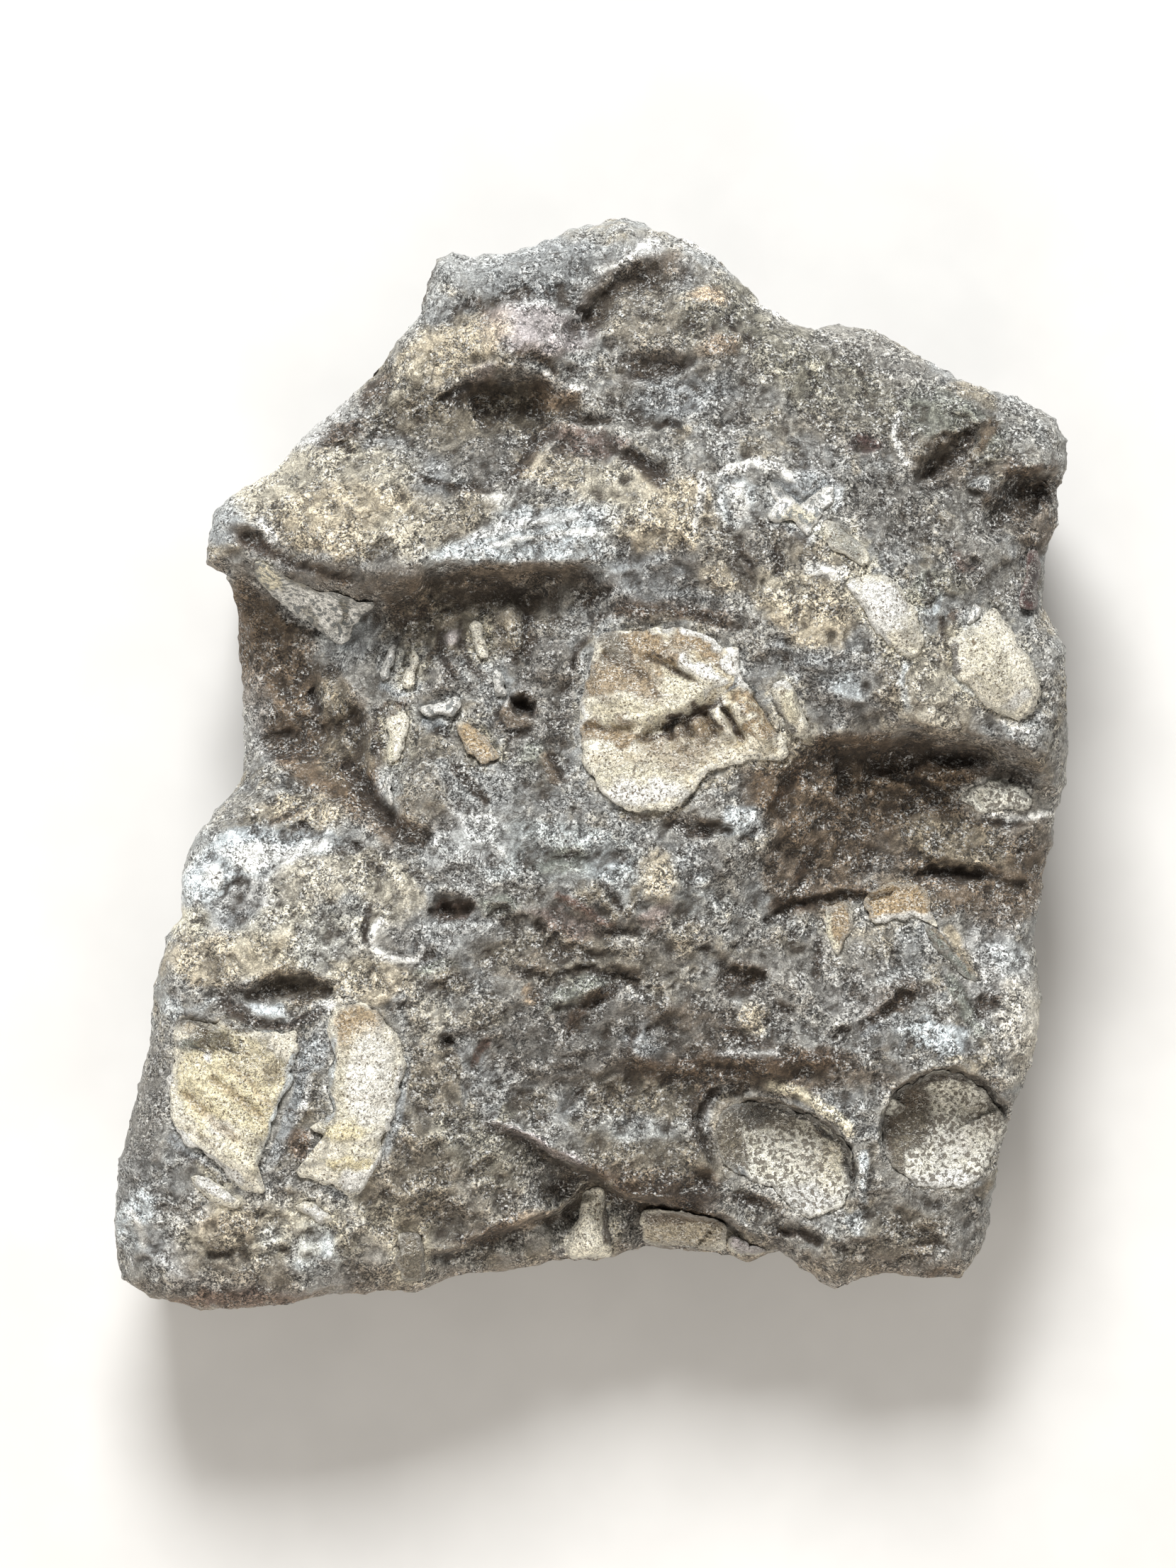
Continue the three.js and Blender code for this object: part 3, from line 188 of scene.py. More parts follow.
shells = [  # proud, swell, depth: how far each stands out, how much it bulges and how deep it sits, mm
  {"name": "center_pygidium", "paint": "tan", "proud": 0.7, "swell": 0.6, "depth": 2.4,
    "outline": [[0.6, 13.2], [1.4, 14.7], [3.4, 14.9], [5.8, 15.1], [8.1, 15.6], [11, 15.4], [13.6, 14.1],
    [14.9, 13.2], [16.8, 13], [16.7, 10.8], [17.2, 9.2], [18.2, 8.3], [19.4, 7.2], [20.6, 4.8], [22.4, 1.9],
    [21.9, 0.6], [19.9, 0.4], [17.9, 0.4], [15.4, -0.3], [13.8, -0.9], [12.2, -2.5], [10.2, -4.7],
    [8.1, -5.4], [5.2, -5.4], [3.4, -4.9], [1.8, -3.8], [0.1, -1.7], [-0.8, 0.8], [-1.2, 3.2], [-1.1, 6],
    [-0.5, 9.4]]},
  {"name": "center_rib_tip", "paint": "tan",
    "outline": [[20.2, 7.8], [20.3, 9.1], [21.4, 9.5], [22.7, 8.6], [23.6, 6.8], [24.7, 4.6], [24.6, 3],
    [23.3, 2.9], [21.9, 4.6], [20.9, 6.4]]},
  {"name": "lower_pygidium_left", "paint": "tan", "proud": 0.8, "swell": 0.8, "depth": 2,
    "outline": [[-46.9, -29.2], [-43.9, -28.6], [-39, -29.1], [-37.1, -30.2], [-34.8, -30.2], [-32.6, -29.8],
    [-32.7, -31.9], [-33.6, -34.7], [-34.1, -37.2], [-35.3, -40.3], [-36, -42.4], [-37.4, -45.2],
    [-36.6, -47.6], [-37.6, -48], [-40.4, -46.7], [-42.8, -44.5], [-45.1, -42.9], [-47.4, -40.3],
    [-47.7, -37.2], [-47.2, -33.5]]},
  {"name": "lower_pygidium_right", "paint": "tan", "proud": 0.8, "swell": 1.2, "depth": 2,
    "outline": [[-29.6, -29.6], [-28.5, -27.4], [-25.7, -26.9], [-23.3, -28.1], [-21, -31.2], [-20.6, -34.7],
    [-21.4, -37.2], [-22.4, -40.5], [-23.5, -44], [-24.5, -46.4], [-26.6, -48.4], [-28.7, -47.8],
    [-33, -45.7], [-30.2, -44.7], [-29.8, -42.6], [-31.6, -41], [-29.2, -39.4], [-29.4, -37.2],
    [-29.6, -34.4], [-28.7, -31.9]]},
  {"name": "lower_rib_left", "paint": "tan",
    "outline": [[-45, -46.2], [-43, -46.2], [-40.6, -48.2], [-39.1, -49.4], [-40, -50.1], [-42, -49.6],
    [-44, -48]]},
  {"name": "lower_rib_right", "paint": "tan",
    "outline": [[-33.2, -49.8], [-31.6, -49.3], [-29.4, -50.6], [-28.9, -51.6], [-30.2, -51.8],
    [-32, -50.8]]},
  {"name": "cheek_spine", "paint": "white", "proud": 0.5,
    "outline": [[-38.1, 23.1], [-36.4, 22.6], [-34, 21.1], [-31.1, 20], [-28.6, 19.2], [-26.8, 18.9],
    [-25.7, 18.3], [-24, 18.2], [-25.4, 16.8], [-26.7, 15.6], [-27.2, 14], [-28.3, 13.4], [-29.3, 13.9],
    [-31, 15.3], [-33.2, 16.8], [-34.9, 18.3], [-36.4, 19.6], [-38.1, 21.5]]},
  {"name": "thorax_rib_1", "paint": "white",
    "outline": [[-22.4, 14.1], [-21.7, 13.7], [-22.1, 12], [-22.4, 10.5], [-22.8, 9.3], [-23.6, 9.5],
    [-23.5, 11], [-22.9, 12.6]]},
  {"name": "thorax_rib_2", "paint": "tan",
    "outline": [[-20, 13.1], [-19.4, 12.8], [-19.2, 11.3], [-19.6, 9.9], [-19.8, 8.9], [-20.8, 8.8],
    [-21.1, 9.7], [-20.6, 11.4]]},
  {"name": "thorax_rib_3", "paint": "tan",
    "outline": [[-22.8, 6.1], [-20.5, 5.7], [-20.2, 4.8], [-20.5, 3], [-21, 1.2], [-21.6, 0.1], [-22.8, 0.1],
    [-22.8, 3]]},
  {"name": "thorax_rib_4", "paint": "white",
    "outline": [[-23.2, -0.9], [-22.3, -0.8], [-22, -2.6], [-22, -4.6], [-22.6, -4.9], [-23.1, -3.2]]},
  {"name": "thorax_rib_5", "paint": "tan",
    "outline": [[-15.2, 4.7], [-13.5, 4.8], [-12.2, 3.6], [-10.8, 2], [-9.9, 0.5], [-10.9, 0.1], [-12.5, 0.3],
    [-13.5, 1.1], [-14.3, 2.8]]},
  {"name": "thorax_rib_6", "paint": "tan",
    "outline": [[-13.9, 15.6], [-13, 16.2], [-12.1, 15.8], [-12, 14.6], [-11.6, 13.4], [-11.5, 12.2],
    [-12.3, 12], [-12.9, 13.3]]},
  {"name": "thorax_rib_7", "paint": "white",
    "outline": [[-10.6, 10.6], [-9.9, 10.3], [-9.6, 9], [-9.4, 7.9], [-10.2, 7.4], [-10.9, 7.8],
    [-10.8, 9.2]]},
  {"name": "thorax_chip", "paint": "white",
    "outline": [[-19.2, 6.2], [-17.9, 6.7], [-16.4, 7.1], [-15, 7.7], [-14.7, 6.4], [-15.5, 5.3],
    [-17.5, 5.2], [-18.8, 5.2]]},
  {"name": "upper_shell", "paint": "white",
    "outline": [[19.8, 31.9], [21.4, 31.2], [22.6, 29.8], [23.9, 28.9], [24.9, 29.6], [26.2, 31.1],
    [27.4, 31.2], [27.6, 29.4], [26.2, 28.2], [25.4, 26.8], [24.6, 25.7], [23.2, 26.6], [21.4, 27],
    [20.2, 27.8], [20.9, 29.2], [20.3, 30.4]]},
  {"name": "shell_strip", "paint": "tan",
    "outline": [[26.7, 27.2], [27.9, 26.8], [30.2, 25], [31.5, 22.9], [30.6, 22], [29, 22.9], [26.9, 24.4],
    [26.1, 25.8]]},
  {"name": "shell_oval_1", "paint": "tan", "swell": 0.7,
    "outline": [[28.6, 20.2], [30.2, 21.1], [31.8, 21.4], [33.6, 20.7], [35.4, 19.2], [36.8, 17],
    [37.5, 14.8], [37.2, 12.8], [36, 11.8], [34, 12.9], [32, 14.7], [30.6, 16.6], [29.8, 18.4]]},
  {"name": "shell_oval_2", "paint": "tan", "swell": 0.9,
    "outline": [[40.5, 13.8], [41.6, 14.9], [43.2, 15.2], [45.2, 17.6], [46.4, 16.6], [47.6, 15], [49, 13],
    [50, 10.6], [50.9, 8.2], [50.4, 6.2], [48.8, 5.2], [47, 5.5], [45, 6.2], [43, 8], [41.3, 9.8],
    [40.4, 11.4]]},
  {"name": "shell_stick", "paint": "white",
    "outline": [[43.2, 17.9], [44, 17.7], [43.5, 16.3], [43, 15.8], [42.3, 15.7], [42.6, 16.6]]},
  {"name": "edge_shell", "paint": "brown",
    "outline": [[49.4, 23.6], [50.4, 24], [50.8, 22], [50.6, 19.8], [50.6, 17.8], [49.6, 17.1], [48.3, 18.1],
    [48.8, 20.4]]},
  {"name": "hollow_shell", "paint": "speckled",
    "outline": [[41.8, -3.7], [43.4, -2.6], [45.6, -1.9], [48, -1.8], [49.4, -3], [50.4, -4.3], [49.2, -5.2],
    [46.6, -5.4], [44.2, -5.2], [42.6, -4.6]]},
  {"name": "lower_leaf", "paint": "tan",
    "outline": [[26.4, -16.2], [27.5, -15.4], [29, -15.5], [29.6, -16.8], [29.4, -18.5], [28.8, -20.2],
    [28, -21.5], [27.3, -20.3], [26.6, -18.6]]},
  {"name": "lower_tan_shell", "paint": "tan",
    "outline": [[31.3, -15], [33, -13.7], [36.5, -13.5], [38.2, -15.1], [39.4, -18.4], [37.6, -17.4],
    [34.8, -17.5], [33.1, -18.1], [31.2, -17.6]]},
  {"name": "lower_sliver", "paint": "speckled",
    "outline": [[37.9, -18.5], [38.8, -18.2], [41, -20.4], [43.1, -22.8], [43.7, -24.5], [42.2, -24.1],
    [40.2, -21.9], [38.6, -20]]},
  {"name": "cup_shell_left", "paint": "speckled", "proud": 0.2, "swell": 0,
    "outline": [[15, -38.8], [17.4, -38.2], [20.8, -38.2], [24, -39.2], [27.2, -41.1], [29.3, -43.3],
    [29.7, -46], [29.4, -49.2], [28, -50.6], [25, -51.2], [22.6, -50], [20, -47.8], [17, -46.6],
    [14.7, -44.6], [14.1, -41.5]]},
  {"name": "cup_shell_right", "paint": "speckled", "proud": 0.2, "swell": 0,
    "outline": [[33, -39.8], [34.5, -37.2], [37.8, -35.2], [41, -34.8], [44.2, -36.2], [46.4, -38.7],
    [47.2, -41], [46.2, -43.7], [44.2, -46.6], [41.7, -48], [38.4, -47.8], [35.4, -46.8], [33.6, -45]]},
  {"name": "bottom_column_1", "paint": "tan", "swell": 0.4,
    "outline": [[-0.6, -48.2], [1.5, -47.9], [1.9, -50], [2.3, -53], [2.5, -55.4], [1, -56], [-2, -56],
    [-2.8, -55.2], [-2.2, -53.4], [-1.3, -51.4], [-1, -49.8]]},
  {"name": "bottom_column_2", "paint": "tan", "swell": 0.3,
    "outline": [[6.2, -50.6], [9.6, -50.6], [13, -51.2], [15, -52], [15.2, -53.4], [15, -55.2], [12, -55],
    [9, -54.7], [6.3, -54.4], [5.9, -52.6]]},
  {"name": "bottom_column_3", "paint": "tan",
    "outline": [[16, -53.4], [17.2, -53.5], [19, -54.4], [20.4, -55.1], [19.8, -55.5], [17.8, -55.9],
    [16, -55.4]]},
  {"name": "bottom_rib", "paint": "tan",
    "outline": [[-21.6, -53.2], [-20.3, -52.7], [-18.9, -53], [-18.5, -55], [-18.7, -57.8], [-20, -58.6],
    [-21.3, -58.4], [-21.7, -56]]},
]

# what each shell shows close to: colours, some of them painted shade, fine ridges and cracks (points, half
# width, rise)
shellDetails = {
  "center_pygidium": {
    "title": "centerTailShield", "groove": 0.4, "spill": 0.2, "wander": 0.9, "fray": 1.1, "ownRidges": True,
    "frayed": 0.8,
    "patches": [
      (2.4, 13.2, 2.2, 1.8, -20, "greyBrown", 0.7), (7, 13.4, 3.6, 1.3, -20, "shellBrown", 0.9),
      (12.2, 12.9, 3.4, 1.0, -36, "shellBrown", 0.9), (2.8, 9.6, 5, 2.2, -8, "shellBrown", 0.75),
      (6.6, 11.6, 2.6, 0.9, -25, "shellBrown", 0.9), (2, 3.8, 4, 1.1, -3, "shellBrown", 0.9),
      (10.6, 2.4, 5.6, 2.8, 10, "shellBrown", 0.5), (18.4, 5.2, 1, 3.2, 32, "shellBrown", 0.85),
      # (9.2, 3.8) is the darkest painted shade in that valley
      (9.2, 3.8, 1.4, 0.8, 0, "brown", 0.8), (19, 4.6, 3, 1, -52, "shellBrown", 0.8),
      (12.4, 4, 1.6, 0.8, -60, "shellBrown", 0.8), (4.6, -2, 6, 2.4, 0, "cream", 0.7),
      (6, -3.6, 5, 1.8, 0, "white", 0.8), (7, 6.2, 5, 0.8, 5, "cream", 0.7),
      (15.4, 13, 1.6, 0.7, -20, "white", 1), (16.4, 11, 0.8, 1.8, 0, "white", 1),
      (15.8, 9, 0.7, 1.4, 0, "blueGrey", 0.9), (17.4, 9, 1.2, 0.6, -35, "white", 1)],
    "lines": [
      ([(9, 12.2), (12.4, 9.8), (14.6, 8.2)], 0.7, "white", 0.95),
      ([(-0.6, 6.4), (3, 6.2), (7, 5.9), (10, 7)], 0.6, "cream", 0.8),
      ([(7.2, 10), (10.6, 8.6), (13.8, 7.4)], 1.0, "cream", 0.8),
      ([(-0.8, 3), (-1, 6.6), (-0.2, 10.6)], 0.3, "white", 0.7),
      ([(4.4, 14.6), (4.6, 12.2), (3.4, 11)], 0.3, "darkBrown", 0.7),
      ([(6.4, 12), (8.4, 11.9)], 0.15, "dark", 0.9),
      ([(1, 12.6), (3.4, 11.4), (5.4, 9.6), (7.6, 8.2)], 0.3, "brown", 0.7),
      # painted shadow in the valley below the middle ridge
      ([(6, 2.6), (7.4, 3.9), (9.5, 5), (12.7, 6.3), (15.2, 6.8)], 0.35, "darkBrown", 0.9),
      ([(7.4, 3.9), (9.4, 4.7), (11.4, 5.6)], 0.18, "black", 0.85),
      ([(8.5, 4), (9.3, 2.8)], 0.3, "dark", 0.95), ([(10.6, 4.9), (11.2, 3.4)], 0.2, "darkBrown", 0.8),
      ([(12.8, 5.9), (13.8, 3.6)], 0.25, "dark", 0.9),
      ([(14.9, 6.6), (16, 4.6), (17.4, 2.6)], 0.28, "dark", 0.95),
      ([(18.3, 8.4), (20, 6), (21.8, 3.4)], 0.4, "black", 1),
      ([(17.4, 7), (19.2, 4), (20.4, 1.8)], 0.2, "cream", 0.5),
      ([(7, 15.5), (10.5, 15.3), (13.6, 14), (15.6, 12.6), (16, 10)], 0.45, "white", 1),
      ([(14.2, 11.6), (15, 10.4)], 0.18, "dark", 0.8), ([(5.2, 0.6), (5.6, -1)], 0.2, "brown", 0.7),
      ([(3, -1.6), (4, -3), (3.8, -4)], 0.15, "brown", 0.6)],
    "marks": [
      ([(8.4, 12.9), (12, 10.6), (15.4, 8.4)], 1.1, 1.6),
      ([(5.4, 12.2), (8.4, 11.2), (12.6, 8.9)], 0.6, -0.9), ([(6.4, 10.4), (10.6, 8.8), (14, 7.5)], 1.0, 0.9),
      ([(-0.6, 8.6), (4, 7.6), (9, 6.8), (14, 7.6)], 1.7, 1.4),
      ([(1, 12.8), (3.6, 11.2), (7, 8.6)], 0.6, -0.6), ([(-1, 4.2), (2, 3.8), (5.8, 3.9)], 0.8, -1.0),
      ([(-0.8, 1.6), (2.4, 2), (5.6, 3)], 0.9, 0.6), ([(2.4, 4.9), (7, 5.3), (10, 6.2), (14, 7.7)], 0.7, 0.5),
      ([(5.2, 1.8), (6.9, 3.7), (9.5, 5), (12.7, 6.3), (15.4, 6.9)], 0.75, -1.5),
      ([(8.2, 4.4), (9.4, 2.4)], 0.5, -0.9), ([(10.6, 5), (11.8, 2.6)], 0.45, -1.2),
      ([(12.8, 6), (14.4, 2.6)], 0.5, -1.5), ([(14.9, 6.6), (16, 4.6), (17.6, 2.2)], 0.5, -1.9),
      ([(18.3, 8.2), (20, 6), (21.8, 3)], 0.5, -1.8), ([(13.8, 6.6), (16.2, 2.4)], 0.75, 1.2),
      ([(16.4, 7.6), (18.4, 4.8), (20.6, 1.4)], 1.0, 1.5), ([(11.6, 5.6), (13, 2.4)], 0.6, 1.0),
      ([(9.6, 4.4), (10.8, 1.6)], 0.55, 0.8)]},
  "center_rib_tip": {
    "title": "centerShieldTip",
    "patches": [(22.6, 6, 1.2, 3, -25, "cream", 0.8)],
    "lines": [
      ([(20.4, 8.8), (21.6, 9.4), (23, 8.2)], 0.4, "white", 0.9),
      ([(20.6, 7), (22, 4.4), (23.4, 3)], 0.3, "dark", 0.8)]},
  "lower_pygidium_left": {
    "title": "leftTailLobe", "groove": 0.15, "spill": 0, "frayed": 1.3, "bright": 0.75,
    "patches": [
      (-40, -36, 7, 6, -40, "paleYellow", 0.8), (-39.4, -43, 3.4, 1.6, -45, "cream", 0.95),
      (-41.6, -40.8, 1.8, 0.8, -40, "white", 0.7), (-42.7, -33.2, 0.5, 0.7, 0, "white", 1),
      (-37, -33, 3.4, 2.4, 0, "greyTan", 0.4), (-35.4, -34.8, 1.2, 1, 0, "brown", 0.5),
      (-44.6, -31.2, 2.2, 0.9, 0, "greenGrey", 0.85), (-43.4, -28.8, 3, 0.9, 5, "tan", 0.8)],
    "lines": [
      ([(-47.3, -33), (-47.9, -37), (-47.5, -40.2), (-43.6, -44), (-38.2, -47.6)], 0.4, "white", 0.95),
      ([(-46, -36.6), (-43, -39.6), (-39, -43)], 0.35, "ochre", 0.5),
      ([(-43, -35), (-39, -38), (-36, -40.6)], 0.35, "ochre", 0.45),
      ([(-41, -33.6), (-38, -36), (-35.4, -38.6)], 0.3, "ochre", 0.4),
      ([(-32.6, -31.6), (-33.6, -35), (-35, -39.4), (-36.6, -43.4), (-37.2, -45)], 0.45, "calcite", 0.9),
      # painted shadow line along the lobe's top
      ([(-46.9, -29.2), (-44.8, -28.6), (-43.4, -29.8), (-41.8, -28.2), (-39.6, -29.6), (-36.8, -29.6)],
        0.25, "black", 0.8),
      ([(-44.6, -31.4), (-43.2, -30.6), (-41.4, -31), (-39.8, -30.9)], 1.0, "olive", 0.95),
      ([(-45.4, -31.6), (-43.6, -32), (-42.6, -32.7), (-41.4, -31.9), (-39.6, -32), (-38.9, -31),
        (-39.8, -30)], 0.14, "black", 0.9)],
    "marks": [
      ([(-46, -36.6), (-42.8, -39.6), (-39, -43)], 0.6, -0.6),
      ([(-43, -35), (-39, -38), (-36, -40.6)], 0.6, -0.6),
      ([(-41, -33.2), (-38, -35.8), (-35.2, -38.4)], 0.6, -0.5), ([(-45.6, -40.8), (-41.6, -44)], 0.5, -0.4),
      ([(-45, -30.9), (-43.4, -31.2)], 0.8, 0.6), ([(-42.8, -31.6), (-41.8, -30.8)], 0.8, 0.9),
      ([(-40.6, -31.2), (-39.6, -30.8)], 0.7, 0.8)]},
  "lower_pygidium_right": {
    "title": "rightTailLobe", "groove": 0.15, "spill": 0, "frayed": 1.3, "bright": 1.1,
    "patches": [
      (-26, -28.6, 3, 1.8, 0, "ochre", 0.75), (-27.4, -30.4, 1.4, 2, 0, "ochre", 0.6),
      (-24.8, -38, 4, 8, 0, "cream", 0.7), (-24.4, -36, 2.6, 6, 0, "white", 0.6),
      (-26.4, -46.6, 2.6, 2, 20, "white", 0.7), (-27.4, -41, 3, 0.9, 5, "paleYellow", 1),
      (-27, -45, 3.4, 0.8, -10, "paleYellow", 1)],
    "lines": [
      ([(-20.9, -33), (-21.6, -38), (-22.6, -42), (-24.4, -46), (-26.4, -48.4)], 0.3, "white", 0.95),
      ([(-28.9, -30), (-28.9, -34.6), (-29.5, -37.4), (-29, -39.2), (-30.6, -41)], 0.3, "calcite", 0.7)],
    "marks": [
      ([(-29, -42.4), (-25.6, -42.6), (-23, -43.4)], 0.6, -0.3),
      ([(-29, -38), (-25, -38), (-22, -39)], 0.6, -0.3),
      ([(-28.8, -34), (-24.8, -33.6), (-21, -34.6)], 0.6, -0.3), ([(-29, -45.4), (-25, -45.6)], 0.5, -0.25)]},
  "lower_rib_left": {
    "title": "leftRibPiece",
    "lines": [([(-44.4, -46.4), (-42, -47.6), (-39.6, -49.4)], 0.5, "white", 0.9)]},
  "lower_rib_right": {"title": "rightRibPiece", "patches": [(-31.4, -50.4, 1.4, 0.7, -20, "white", 0.8)]},
  "cheek_spine": {
    "title": "cheekSpine", "groove": 0.2, "swell": 0.5, "bright": 0.4,
    "patches": [
      (-36.4, 21.6, 2.4, 1.2, -40, "cream", 0.95), (-28.6, 14.6, 1.8, 1.2, 0, "white", 0.95),
      (-27.8, 17.4, 0.6, 1.8, -10, "greenTan", 0.8), (-31.6, 16.6, 2, 0.8, -40, "paleCream", 0.6)],
    "lines": [
      ([(-37.9, 22.4), (-37.5, 21.9)], 0.4, "dark", 0.95),
      ([(-34.6, 21.3), (-31, 19.9), (-28.9, 19.2)], 0.3, "paleTan", 0.8),
      ([(-26.8, 18.8), (-25.7, 18), (-24.2, 18.1)], 0.25, "white", 1),
      ([(-24.6, 17.5), (-27, 15.4)], 0.3, "white", 1)],
    "marks": [
      ([(-27.2, 18.6), (-27.6, 15)], 0.4, -0.4), ([(-26.8, 18.8), (-25.7, 18), (-24.2, 18.1)], 0.3, 0.4),
      ([(-24.6, 17.5), (-27, 15.4)], 0.3, 0.3)]},
  "thorax_rib_1": {"title": "thoraxRib1"},
  "thorax_rib_2": {"title": "thoraxRib2"},
  "thorax_rib_3": {
    "title": "thoraxRib3",
    "patches": [(-22.4, 5.6, 1.4, 0.7, 0, "brown", 0.8)],
    "lines": [([(-22.4, 4), (-22.8, 0)], 0.35, "cream", 0.8)]},
  "thorax_rib_4": {"title": "thoraxRib4"},
  "thorax_rib_5": {"title": "thoraxRib5", "patches": [(-12.6, 2.4, 4, 3, 0, "ochre", 0.9)]},
  "thorax_rib_6": {"title": "thoraxRib6"},
  "thorax_rib_7": {"title": "thoraxRib7"},
  "thorax_chip": {"title": "thoraxChip", "patches": [(-17, 7, 3, 1.4, 20, "white", 0.9)]},
  "upper_shell": {
    "title": "upperShell", "bright": 0.6,
    "patches": [(23.4, 27.8, 2.4, 1.2, 0, "cream", 0.7), (21, 31, 1.4, 0.8, -30, "blueGrey", 0.6)]},
  "shell_strip": {"title": "shellStrip", "patches": [(29, 25, 3, 1.4, -40, "greenGrey", 0.5)]},
  "shell_oval_1": {
    "title": "firstOvalShell", "bright": 0.8,
    "lines": [([(30.2, 21), (28.8, 19.6), (30, 17.4), (32, 14.8), (34, 13)], 0.5, "white", 0.9)],
    "patches": [(36, 14.6, 1, 1.6, 30, "paleTan", 0.5), (32.6, 18, 2.6, 3.2, 30, "white", 0.8)]},
  "shell_oval_2": {
    "title": "secondOvalShell", "groove": 0.4, "bright": 0.9,
    "patches": [(44.6, 11.6, 2.6, 4, 35, "cream", 0.6), (48, 7.4, 2, 1, 30, "white", 0.6)],
    # painted shadow along its left edge
    "lines": [([(41.3, 9.8), (40.6, 12), (40.9, 13.8)], 0.4, "dark", 0.8)]},
  "shell_stick": {"title": "shellStick", "bright": 0.8},
  "edge_shell": {
    "title": "edgeShell", "proud": 2.4, "bright": -0.5, "spill": 0,
    "patches": [(50, 20, 3, 8, 0, "darkRed", 0.9)]},
  "hollow_shell": {"title": "hollowShell"},
  "lower_leaf": {
    "title": "lowerLeaf", "spill": 0.1,
    "patches": [(28.2, -18, 1.4, 3.6, 8, "shellBrown", 0.9)],
    "lines": [([(26.5, -16.4), (26.8, -18.6), (28, -21.3)], 0.3, "cream", 0.9)]},
  "lower_tan_shell": {
    "title": "lowerTanShell", "spill": 0.1,
    "patches": [(35.4, -15.4, 5, 2.4, 0, "shellBrown", 1), (32.4, -16, 1, 1.4, 0, "ochre", 0.8)],
    "lines": [([(31.8, -17.6), (35.4, -17.4), (39, -17)], 0.4, "white", 0.7)]},
  "lower_sliver": {
    "title": "lowerSliver", "spill": 0.1,
    "patches": [(40.6, -21.4, 1.4, 4, 42, "greenGrey", 0.95)],
    "lines": [([(38.8, -18.3), (41.2, -20.6), (43.4, -23.6)], 0.3, "ochre", 0.9)]},
  "cup_shell_left": {
    "title": "leftCup", "groove": 0.1, "swell": -0.6,
    "patches": [
      (15.6, -42, 2, 4, 15, "greyBrown", 0.95), (19, -39.6, 4, 1.2, -10, "darkGrey", 0.85),
      (17.4, -47.6, 3, 1.4, -15, "blueGrey", 0.9), (25, -49, 4, 2, 10, "white", 0.6),
      (27.6, -46, 2, 3, 0, "cream", 0.6), (23.6, -43, 5, 3, -20, "tan", 0.35)],
    "lines": [
      # painted shadow under the cup's top rim
      ([(18, -38.2), (21.4, -38.6), (25, -40), (28.4, -42.8), (29.8, -46), (29.9, -49)],
        0.35, "black", 0.9)]},
  "cup_shell_right": {
    "title": "rightCup", "groove": 0.1, "swell": -0.6,
    "patches": [
      (35.4, -40, 4.4, 2.2, 52, "brown", 0.95), (36.6, -41.4, 2.6, 2, 50, "greyBrown", 0.9),
      (34.6, -44.6, 1, 2.4, 0, "greyBrown", 0.9), (40, -47, 4.6, 1.2, 0, "white", 0.85),
      (44, -41, 3, 4, -30, "tan", 0.4), (40.6, -43.6, 2.4, 2, 0, "white", 0.4)],
    # painted shadow under the cup's top rim
    "lines": [([(33.4, -39.8), (35.2, -37.2), (38, -35.6), (41, -35.2), (44, -36.4)], 0.35, "dark", 0.85)]},
  "bottom_column_1": {
    "title": "firstColumn", "bright": 0.3,
    "lines": [([(1.8, -49), (2.2, -55)], 0.5, "brown", 0.8)]},
  "bottom_column_2": {
    "title": "secondColumn", "spill": 0,
    "patches": [(10.6, -53, 5, 2.4, 0, "tan", 0.9), (10.6, -51.2, 5, 0.9, -4, "brown", 0.9)]},
  "bottom_column_3": {"title": "thirdColumn", "patches": [(18, -54.6, 2.4, 1, -20, "pinkWhite", 0.9)]},
  "bottom_rib": {"title": "bottomRib", "patches": [(-20, -55.6, 2, 4, 0, "greyBrown", 0.9)]},
}
for shell in shells:
    if "thorax" in shell["name"]:
        shell.update({"proud": 1.2, "groove": 0.3, "bright": 0.6})
    shell.update(shellDetails[shell["name"]])

# small helpers for the relief, all in mm and on whole arrays

def clamp(v):
    return np.clip(v, 0.0, 1.0)


def ease(a, b, v):
    t = clamp((v - a) / (b - a))
    return t * t * (3 - 2 * t)


def randomAt(i, j, k):
    v = np.sin(i * 127.1 + j * 311.7 + k * 74.7) * 43758.5453
    return v - np.floor(v)


def nearestOn(x, y, line):  # signed distance (+ on the left of the line) and how far along it, 0 to 1
    best = np.full(x.shape, 1e9)
    side = np.ones(x.shape)
    along = np.zeros(x.shape)
    run = 0.0
    for (ax, ay), (bx, by) in zip(line[:-1], line[1:]):
        ex, ey = bx - ax, by - ay
        length = math.hypot(ex, ey)
        t = clamp(((x - ax) * ex + (y - ay) * ey) / length ** 2)
        d = np.hypot(x - ax - t * ex, y - ay - t * ey)
        closer = d < best
        best = np.where(closer, d, best)
        side = np.where(closer, np.where(ex * (y - ay) < ey * (x - ax), -1.0, 1.0), side)
        along = np.where(closer, run + t * length, along)
        run += length
    return best * side, along / run


def insideOf(x, y, ring):
    result = np.zeros(x.shape, bool)
    for (ax, ay), (bx, by) in zip(ring, ring[1:] + ring[:1]):
        if ay == by:
            continue
        crosses = (ay > y) != (by > y)
        result ^= crosses & (x < (bx - ax) * (y - ay) / (by - ay) + ax)
    return result


def valueNoise(x, y, kind):
    i, j = np.floor(x), np.floor(y)
    u, v = ease(0, 1, x - i), ease(0, 1, y - j)
    a, b = randomAt(i, j, kind), randomAt(i + 1, j, kind)
    c, d = randomAt(i, j + 1, kind), randomAt(i + 1, j + 1, kind)
    return (a + (b - a) * u + (c - a) * v + (a - b - c + d) * u * v) * 2 - 1


def fractalNoise(x, y, kind, octaves):
    total, gain = 0.0, 1.0
    for k in range(octaves):
        total = total + gain * valueNoise(x, y, kind + k)
        x, y, gain = 1.6 * x + 1.2 * y, 1.6 * y - 1.2 * x, gain / 2  # twice as fine and turned
    return total


